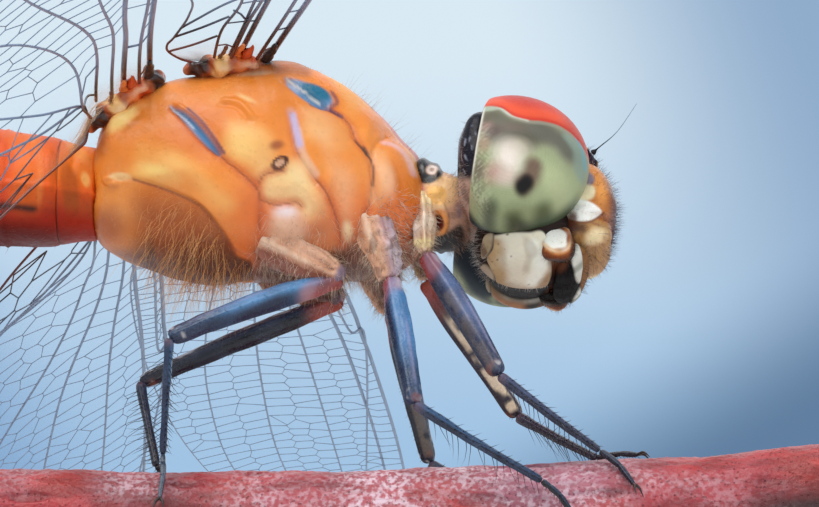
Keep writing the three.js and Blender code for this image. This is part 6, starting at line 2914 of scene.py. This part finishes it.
    def build_veins(self, name: str, material: Material) -> None:
        """Draws the main veins and the walls of the cells as fine tubes.

        Args:
            name: Its name.
            material: The veins' material.
        """
        parts = []
        outline = np.vstack((self.lines[0], self.lines[-1][::-1]))
        for rank, line in enumerate((*self.lines[:-1], outline)):
            thick = (
                0.075, 0.045, 0.07, 0.042, 0.042, 0.036, 0.032, 0.03
            )[min(rank, 7)] if rank < len(self.lines) - 1 else 0.03
            fine = np.clip(line[:, 0] / self.tip, 0, 1)
            parts.append((line, thick * (1.25 - 0.75 * fine)))
        for plan in self.form.root_veins:
            line = soften(plan, 6)
            parts.append((line, np.full(len(line), 0.034)))
        for wall in self.cells():
            parts.append((wall, np.full(2, 0.014 + 0.008 * (wall[0, 0] < 5))))
        piece = self.tubes(name, parts)
        stigma = self.build_stigma()
        piece = Bench.join(name, [piece, stigma])
        Bench.polish(piece, material)
        Bench.enter(piece, "wing")

    def tubes(self, name: str, parts: Sequence[tuple[Array, Array]]) -> Piece:
        """Makes one mesh of many tubes that follow the wing.

        Args:
            name: The mesh's name.
            parts: Each tube's plan line and its radius at each place.

        Returns:
            The painted piece.
        """
        places, faces, tints = [], [], []
        sides, count = 5, 0
        angle = np.linspace(0, TURN, sides, endpoint=False)[:, None]
        for line, reach in parts:
            if len(line) == 2:
                line = line[0] + (line[1] - line[0]) * np.array((0.0, 0.5, 1.0))[:, None]
                reach = np.interp((0, 0.5, 1), (0, 1), reach)
            middles = self.raised(line)
            _, across, above = limb_axes(middles)
            ring = middles[:, None] + reach[:, None, None] * (
                np.sin(angle) * across[:, None] + np.cos(angle) * above[:, None]
            )
            places.append(ring.reshape(-1, 3))
            rows = len(line)
            for row in range(rows - 1):
                here, ahead = count + row * sides, count + (row + 1) * sides
                faces += [
                    (here + k, here + (k + 1) % sides, ahead + (k + 1) % sides, ahead + k)
                    for k in range(sides)
                ]
            faces.append(tuple(count + k for k in reversed(range(sides))))
            faces.append(tuple(count + (rows - 1) * sides + k for k in range(sides)))
            warm = fall(0.3, 2.2, line[:, 0])[:, None]
            far = ease(1.6, 5.0, line[:, 0])[:, None]
            tone = np.array(rgb(0x16101A)) * (1 - 0.5 * warm) + np.array(rgb(0x9A3E1C)) * 0.5 * warm
            tone = tone * (1 - 0.85 * far) + np.array(rgb(0x7E94B4)) * 0.85 * far
            tints.append(np.repeat(tone, sides, axis=0))
            count += rows * sides
        mesh = bpy.data.meshes.new(name)
        mesh.from_pydata(((self.frame.to_body(np.concatenate(places)) + DATUM) * MM).tolist(), [], faces)
        piece = bpy.data.objects.new(name, mesh)
        bpy.context.scene.collection.objects.link(piece)
        Bench.outwards(piece)
        skin = Skin(piece, self.frame)
        skin.tint = np.concatenate(tints)
        return skin.store()

    def build_stigma(self) -> Piece:
        """Models the thick dark cell near the wing's tip."""
        start, end = self.form.stigma
        rings = []
        for share, size in ((0.0, 0.5), (0.04, 1.0), (0.5, 1.0), (0.96, 1.0), (1.0, 0.5)):
            out = np.array([start + (end - start) * share])
            near, far = (float(self.back(self.lines[k], out)[0]) for k in (0, 2))
            flat = np.array(((out[0], near + 0.04), (out[0], (near + far) / 2), (out[0], far - 0.04)))
            middle = self.raised(flat)
            rise = np.array((0.0, 0.0, 0.05 * size))
            rings.append(np.vstack((middle - rise, middle[::-1] + rise)))
        piece = Bench.loft("stigma", rings, 2, self.frame)
        skin = Skin(piece, self.frame, 0x783A1A)
        skin.paint(0x3C1C12, 0.6 * ease(0.0, 0.7, skin.ripple(0.8, 530)))
        return skin.store()

    def build_root(self, name: str, material: Material) -> None:
        """Models the hinge plates that the veins grow from.

        Args:
            name: Its name.
            material: Their material.
        """
        core = Bench.ball(
            "core", 36,
            lambda unit: np.array((-self.side.value * 0.3, -0.95, 0.1)) + unit * (0.75, 1.3, 0.34), self.frame
        )
        Bench.outwards(core)
        skin = Skin(core, self.frame, 0xB0582C)
        skin.points, normals = skin.points * (self.side.value, -1, 1), skin.normals * (self.side.value, -1, 1)
        x, back = skin.x, skin.points[:, 1]
        lumps = skin.ripple(0.55, 541)
        skin.points = skin.points + normals * (0.14 * lumps + 0.07 * skin.ripple(0.2, 542))[:, None]
        hollow = ease(0.1, 0.9, -lumps)
        for tone, place, reach in (
            (0x16181E, (0.3, 0.02), (0.6, 0.3)), (0x8A8290, (-0.5, 0.0), (0.5, 0.35)),
            (0xD2521E, (0.2, 0.62), (0.6, 0.32)),
            (0xE87A34, (0.35, 0.86), (0.4, 0.2)), (0x9A3A1E, (-0.2, 1.05), (0.5, 0.3)),
            (0xF0C078, (0.2, 1.4), (0.45, 0.22)),
            (0x845036, (-0.45, 1.5), (0.4, 0.3)), (0x2E2424, (0.1, 1.95), (0.6, 0.3)),
            (0xF4DCBA, (-0.5, 0.45), (0.3, 0.16)),
            (0xC8743C, (-0.8, 1.0), (0.35, 0.7)),
        ):
            away = np.hypot((x - place[0]) / reach[0], (back - place[1]) / reach[1])
            skin.paint(tone, 0.95 * fall(0.6, 1.15, away + 0.25 * skin.ripple(0.3, 543)))
        # Painted shade in the hollows between the lumps, and painted highlights on the lumps' tops.
        skin.paint(0x2E1612, 0.85 * hollow)
        skin.paint(0xF6D8B0, 0.6 * ease(0.5, 1.0, lumps) * ease(0.0, 0.8, skin.ripple(0.25, 544)))
        skin.points = skin.points * (self.side.value, -1, 1)
        made = [skin.store()]
        for number, (back_at, reach, tone) in enumerate(
            ((0.08, 0.15, 0x14161C), (0.7, 0.13, 0xC84A1C), (0.95, 0.1, 0xE07A38), (1.4, 0.08, 0x6A3018))
        ):
            size = np.array((0.95 - 0.12 * number, reach, reach * 0.9))
            middle = np.array((self.side.value * 0.55, -back_at, -0.02))
            piece = Bench.ball("sclerite", 10, lambda unit, m=middle, s=size: m + unit * s, self.frame)
            Bench.outwards(piece)
            skin = Skin(piece, self.frame, tone)
            skin.push(0.05 * skin.ripple(0.25, 550 + number))
            made.append(skin.store())
        piece = Bench.join(name, made)
        Bench.polish(piece, material)
        Bench.enter(piece, "wing")


@dataclass
class Wings:
    """The four wings."""

    fore: WingForm = WingForm(
        name="forewing", root=(-4.0, 1.35, 5.2), pitch=5.0, droop=(5.0, 4.0), sweep=(9.0, 16.0),
        front=((0.0, 0.0), (4.5, -0.05), (8.0, 0.1), (17.0, 0.0), (28.0, 0.5), (33.2, 1.7), (34.0, 3.0)),
        rear=(
            (-0.2, 1.96), (0.02, 2.45), (0.5, 2.9), (1.0, 3.05), (1.6, 2.97), (3.2, 2.92), (4.6, 3.2),
            (6.6, 4.6),
            (10.0, 6.5), (19.0, 7.5), (27.0, 6.8), (32.6, 4.8), (34.0, 3.0),
        ),
        veins=(
            ((0.3, 0.42), (4.2, 0.34), (10.0, 0.55), (15.0, 0.35), (16.6, 0.03), (34.0, 3.0)),
            ((0.3, 0.85), (4.2, 0.9), (10.0, 1.08), (17.0, 0.72), (28.0, 1.18), (32.6, 2.05), (34.0, 3.0)),
            ((0.0, 1.12), (2.75, 1.18), (5.0, 1.2), (10.0, 1.8), (17.0, 2.1), (26.0, 2.6), (33.9, 3.05)),
            ((0.0, 1.14), (2.75, 1.2), (6.0, 1.5), (11.0, 2.7), (18.0, 3.9), (26.0, 4.6), (33.4, 3.9)),
            (
                (-0.3, 1.5), (2.0, 1.76), (4.3, 1.68), (8.0, 2.7), (13.0, 4.6), (19.0, 5.9), (26.0, 6.2),
                (33.0, 4.4)
            ),
        ),
        root_veins=(
            ((1.71, 1.8), (1.1, 2.3), (0.53, 2.92)), ((2.99, 1.76), (2.3, 2.3), (1.59, 2.96)),
            ((4.3, 1.7), (3.57, 2.23), (2.23, 2.95)), ((3.4, 1.72), (2.75, 1.17)),
        ),
        bare=4.6, stigma=(28.6, 31.6), amber=(0.2, 1.8, 0.7), fold=0.0, pale=(-0.1, 2.0, 0.6),
    )
    hind: WingForm = WingForm(
        name="hindwing", root=(-7.2, 1.55, 4.72), pitch=39.0, droop=(9.0, 8.0), sweep=(-3.0, 6.0),
        front=((0.0, 0.0), (7.0, 0.1), (14.0, 0.0), (27.0, 0.6), (32.2, 1.8), (33.0, 3.3)),
        rear=(
            (-0.15, 2.1), (0.0, 2.6), (0.25, 3.4), (0.65, 4.6), (1.4, 6.8), (3.8, 9.7), (8.5, 10.8),
            (16.0, 10.2),
            (25.0, 8.4), (31.4, 5.4), (33.0, 3.3),
        ),
        veins=(
            ((0.4, 0.5), (4.25, 0.5), (7.5, 0.42), (13.0, 0.3), (14.5, 0.03), (33.0, 3.3)),
            ((0.5, 0.88), (4.25, 0.85), (8.0, 1.0), (14.5, 0.75), (27.0, 1.3), (32.0, 2.4), (33.0, 3.3)),
            ((0.9, 1.4), (6.1, 1.42), (10.0, 1.9), (16.0, 2.4), (25.0, 3.1), (32.9, 3.35)),
            ((0.9, 1.84), (4.83, 1.81), (8.0, 2.3), (14.0, 4.2), (22.0, 5.3), (32.3, 4.1)),
            ((0.2, 2.12), (3.23, 2.66), (6.17, 2.75), (10.0, 4.2), (15.0, 7.4), (22.0, 8.3), (31.0, 5.3)),
            ((0.2, 2.14), (3.23, 2.7), (5.0, 4.2), (8.0, 7.4), (12.0, 9.9), (20.0, 9.3), (31.2, 5.4)),
        ),
        root_veins=(
            ((3.23, 2.66), (3.83, 3.95), (4.47, 5.03), (5.4, 7.0)), ((3.9, 0.5), (3.7, 0.85)),
            ((3.2, 2.66), (2.3, 2.3), (1.45, 1.86)),
        ),
        bare=-1.0, stigma=(27.6, 30.6), amber=(0.8, 2.6, 0.8), fold=1.0, pale=(-0.1, 2.5, 0.7),
    )

    def build(self) -> None:
        """Builds the four wings."""
        membrane = Membrane().material()
        shell = Cuticle(
            "vein cuticle", rough=0.36, clouds=0.4, cloud_scale=2200.0, pits=0.2, pit_scale=9000.0,
            bloom=0.05,
            coat=0.25, bump=0.3,
        ).material()
        for form in (self.fore, self.hind):
            for side in Side:
                Wing(form, side).build(membrane, shell)


# ---- Perch, stand and studio ---------------------------------------------------------------------


@dataclass
class Perch:
    """The cut length of red twig."""

    length: float = 30.0
    reach: float = 1.45
    low_x: float = -5.6
    low_z: float = -7.84
    bend: float = 0.0027

    def height(self, x: Array) -> Array:
        """The height of the twig's middle at X."""
        return self.low_z + self.bend * (x - self.low_x) ** 2

    def build(self) -> None:
        """Models the twig: uneven bark, two leaf scars and sawn ends."""
        half = self.length / 2
        shares = (-1.0, -0.997, -0.985, *np.linspace(-0.94, 0.94, 17), 0.985, 0.997, 1.0)
        rings = []
        for share in shares:
            x = half * share
            size = self.reach * (0.93 if abs(share) > 0.999 else 0.975 if abs(share) > 0.99 else 1.0)
            size += 0.04 * math.sin(1.3 * x)
            rings.append(oval(x, float(self.height(np.array(x))), size, size, size, 14))
        piece = Bench.loft("twig", rings, 4)
        skin = Skin(piece, colour=0xA83038)
        x, y = skin.x, skin.points[:, 1]
        z = skin.z - self.height(x)
        body = fall(half - 0.35, half - 0.1, np.abs(x))
        turn = np.arctan2(y, z)
        rough = 0.05 * skin.ripple(1.1, 601, (0.5, 1, 1)) + 0.02 * skin.ripple(0.35, 602)
        skin.push(body * (rough + 0.012 * skin.ripple(0.12, 603)))
        cracks = ease(0.75, 1.05, ripple(np.stack((x * 0.35, turn * 1.45), axis=1), 0.5, 604))
        skin.push(-0.07 * cracks * body)
        for middle, facing in ((9.2, 0.9), (-11.4, -2.3)):
            scar = np.hypot(x - middle, (np.angle(np.exp(1j * (turn - facing)))) * 1.45 / 0.8)
            skin.push(0.3 * bell(scar, 0.8) - 0.2 * bell(scar, 0.35))
            skin.paint(0x5C2824, bell(scar, 0.45))
        skin.paint(0xC23428, 0.7 * ease(-0.1, 0.9, skin.ripple(1.6, 605)))
        skin.paint(0x74141C, 0.7 * ease(0.1, 0.9, skin.ripple(2.3, 606)) + 0.6 * cracks)
        # Painted shadow along the twig's underside, reaching higher up its side near the right end.
        skin.paint(0x3A080C, 0.85 * fall(-1.2, -0.2, z) + 0.75 * ease(7.5, 10.5, x) * fall(-0.7, 0.9, z))
        skin.paint(
            0x8C7A9A,
            0.45 * ease(0.5, 3.0, x) * fall(4.0, 6.5, x) * ease(-0.4, 0.5, z + 0.3 * skin.ripple(1.4, 608))
        )
        skin.gloss = 0.38 + 0.62 * bell(x - 2.0, 4.0) - 0.3 * ease(4.5, 8.0, x) + 0.25 * skin.ripple(2.0, 607)
        skin.gloss = np.clip(
            skin.gloss - 0.3 * fall(-10.0, -7.5, x), 0, 1
        ) * (0.35 + 0.65 * ease(-0.9, 0.1, z))
        skin.store()
        Bench.polish(piece, Bark().material())
        self.saw(piece, half)
        Bench.enter(piece, "bark", "perch")

    def saw(self, piece: Piece, half: float) -> None:
        """Gives the twig's two flat ends their cut wood.

        Args:
            piece: The twig.
            half: Half the twig's length.
        """
        for number, sign in enumerate((-1, 1), 1):
            x = sign * half
            middle = (x * MM, 0.0, (float(self.height(np.array(x))) + DATUM[2]) * MM)
            piece.data.materials.append(CutWood(f"cut wood {number}", middle).material())
        for face in piece.data.polygons:
            x = face.center.x / MM
            if abs(face.normal.x) > 0.8 and abs(x) > half - 0.12:
                face.material_index = 1 if x < 0 else 2


@dataclass
class Stand:
    """The plain base and the two rods, with a ferrule where each rod meets wood or base."""

    half_x: float = 30.0
    half_y: float = 23.0
    thick: float = 4.0
    corner: float = 5.0
    chamfer: float = 0.6
    rod: float = 1.2
    rods: Pair = (8.0, -8.0)

    def build(self, perch: Perch) -> None:
        """Builds the base and the rods.

        Args:
            perch: The twig that the rods carry.
        """
        self.build_base()
        steel = Steel().material()
        for name, x in zip(("front", "rear"), self.rods):
            top = float(perch.height(np.array(x))) + DATUM[2] - perch.reach + 0.1
            self.build_rod(name, x, top, steel)

    def build_base(self) -> None:
        """Models the base from a block whose corners and rims are rounded."""
        Bench.idle()
        bpy.ops.mesh.primitive_cube_add(size=1.0, location=(0.0, 0.0, self.thick * MM / 2))
        piece = Bench.take("base_block")
        piece.scale = (2 * self.half_x * MM, 2 * self.half_y * MM, self.thick * MM)
        bpy.ops.object.transform_apply(location=True, rotation=True, scale=True)
        mesh = piece.data
        bpy.ops.object.mode_set(mode="EDIT")
        bpy.ops.mesh.select_mode(type="EDGE")
        bpy.ops.mesh.select_all(action="DESELECT")
        bpy.ops.object.mode_set(mode="OBJECT")
        for edge in mesh.edges:
            first, second = (mesh.vertices[v].co for v in edge.vertices)
            edge.select = abs(first.z - second.z) > self.thick * MM / 2
        bpy.ops.object.mode_set(mode="EDIT")
        bpy.ops.mesh.bevel(offset=self.corner * MM, segments=16, affect="EDGES")
        bpy.ops.object.mode_set(mode="OBJECT")
        Bench.outwards(piece)
        rims = piece.modifiers.new("rims", "BEVEL")
        rims.width, rims.segments, rims.limit_method = self.chamfer * MM, 4, "ANGLE"
        rims.angle_limit = math.radians(60)
        bpy.ops.object.modifier_apply(modifier=rims.name)
        Skin(piece, colour=0xECE9E2).store()
        Bench.polish(piece, Lacquer().material())
        Bench.pick(piece)
        bpy.ops.object.shade_smooth_by_angle(angle=math.radians(35))
        Bench.enter(piece, "base", "stand_base")

    def build_rod(self, name: str, x: float, top: float, steel: Material) -> None:
        """Models one rod with its foot ferrule and its cradle collar.

        Args:
            name: The rod's name.
            x: Where it stands.
            top: Its height above the floor.
            steel: The rod's material.
        """
        r = self.rod
        profile = (
            (self.thick - 0.4, r * 0.6), (self.thick - 0.3, r * 1.5), (self.thick + 0.1, r * 1.75),
            (self.thick + 0.9, r * 1.75),
            (self.thick + 1.2, r * 1.55), (self.thick + 1.35, r * 1.02), (self.thick + 1.6, r), (top / 2, r),
            (top - 2.4, r),
            (top - 2.2, r * 1.04), (top - 2.05, r * 1.3), (top - 0.5, r * 1.3), (top - 0.3, r * 1.2),
            (top, r * 0.8),
        )
        angle = np.linspace(0, TURN, 24, endpoint=False)
        rings = [
            np.stack((x + reach * np.cos(angle), reach * np.sin(angle), np.full(24, z - DATUM[2])), axis=1)
            for z, reach in profile
        ]
        piece = Bench.loft(f"rod_{name}", rings, 2)
        Bench.polish(piece, steel)
        Bench.enter(piece, "rod", f"stand_rod_{name}")


@dataclass
class Studio:
    """The camera, the soft lights, the pale floor and the pale blue surroundings."""

    # which way a deeper blue lies, where it starts and ends, and its tone
    SKIES = (
        ((0.0, 0.375, -0.927), -0.07, 0.07, 0xA5C8E9),
        ((0.93, -0.139, 0.343), 0.045, 0.14, 0x94B1D1),
        ((0.5, 0.325, -0.803), 0.055, 0.105, 0x6482A4),
        ((-0.85, 0.2, -0.49), 0.1, 0.16, 0x80A6D0),
    )
    rise: float = -22.0
    distance: float = 90.0
    lens: float = 142.4

    def build(self) -> None:
        """Sets up the studio."""
        self.set_camera()
        self.set_lights()
        self.set_world()
        self.lay_floor()
        bpy.context.scene.view_settings.view_transform = "Standard"

    def set_camera(self) -> None:
        """Places the camera low and in front of the insect's right side."""
        tilt = math.radians(self.rise)
        towards = Vector((0.0, math.cos(tilt), -math.sin(tilt)))
        data = bpy.data.cameras.new("camera")
        data.lens, data.sensor_width, data.clip_start, data.clip_end = self.lens, 36.0, 0.001, 20.0
        camera = bpy.data.objects.new("camera", data)
        camera.location = (Vector(DATUM) - towards * self.distance) * MM
        camera.rotation_euler = towards.to_track_quat("-Z", "Y").to_euler()
        bpy.context.scene.collection.objects.link(camera)
        bpy.context.scene.camera = camera

    def set_lights(self) -> None:
        """Adds a broad key light, a fill and a rim light, all far enough away to light the floor evenly."""
        lamps = (
            ("key", (-0.35, -0.7, 0.95), 50.0, 2.3, (1.0, 0.97, 0.93)),
            ("fill", (0.9, -0.9, 0.25), 60.0, 0.7, (0.95, 0.97, 1.0)),
            ("rim", (0.2, 0.9, 0.8), 60.0, 0.6, (1.0, 1.0, 1.0)),
        )
        for name, side, spread, power, tone in lamps:
            data = bpy.data.lights.new(name, "SUN")
            data.angle, data.energy, data.color = math.radians(spread), power, tone
            lamp = bpy.data.objects.new(name, data)
            lamp.location = Vector(side) * 0.5
            lamp.rotation_euler = Vector(side).to_track_quat("Z", "Y").to_euler()
            bpy.context.scene.collection.objects.link(lamp)

    def set_world(self) -> None:
        """Surrounds the scene with a pale blue that deepens below and to one side."""
        world = bpy.data.worlds.new("surroundings")
        bpy.context.scene.world = world
        world.use_nodes = True
        w = Wiring(world.node_tree)
        shader = world.node_tree.nodes["Background"]
        place = w.add("ShaderNodeTexCoord").outputs["Generated"]
        colour = shade(0xDEEFFA)
        for way, start, end, tone in self.SKIES:
            slope = w.add("ShaderNodeVectorMath", {0: place, 1: way}, operation="DOT_PRODUCT").outputs[1]
            colour = w.blend(w.remap(slope, start, end, 0.0, 1.0), colour, shade(tone))
        seen = w.add("ShaderNodeLightPath").outputs["Is Camera Ray"]
        colour = w.blend(seen, (0.8, 0.88, 1.0, 1.0), colour)
        w.join(shader, {"Color": colour, "Strength": w.remap(seen, 0.0, 1.0, 0.5, 0.95)})

    def lay_floor(self) -> None:
        """Lays the plain pale floor."""
        Bench.idle()
        bpy.ops.mesh.primitive_plane_add(size=4.0, location=(0.0, 0.0, 0.0))
        floor = bpy.context.object
        floor.name = "floor"
        floor.data.materials.append(Matt().material())


def main() -> None:
    """Builds the studio, the insect, its perch and its stand."""
    logging.basicConfig(level=logging.INFO, format="%(name)s: %(message)s")
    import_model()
    Studio().build()
    perch = Perch()
    for part in (Thorax(), Head(), Abdomen(), Legs(), Wings(), perch):
        part.build()
        LOG.info("%s done", type(part).__name__)
    Stand().build(perch)
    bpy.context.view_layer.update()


if __name__ == "__main__":
    main()
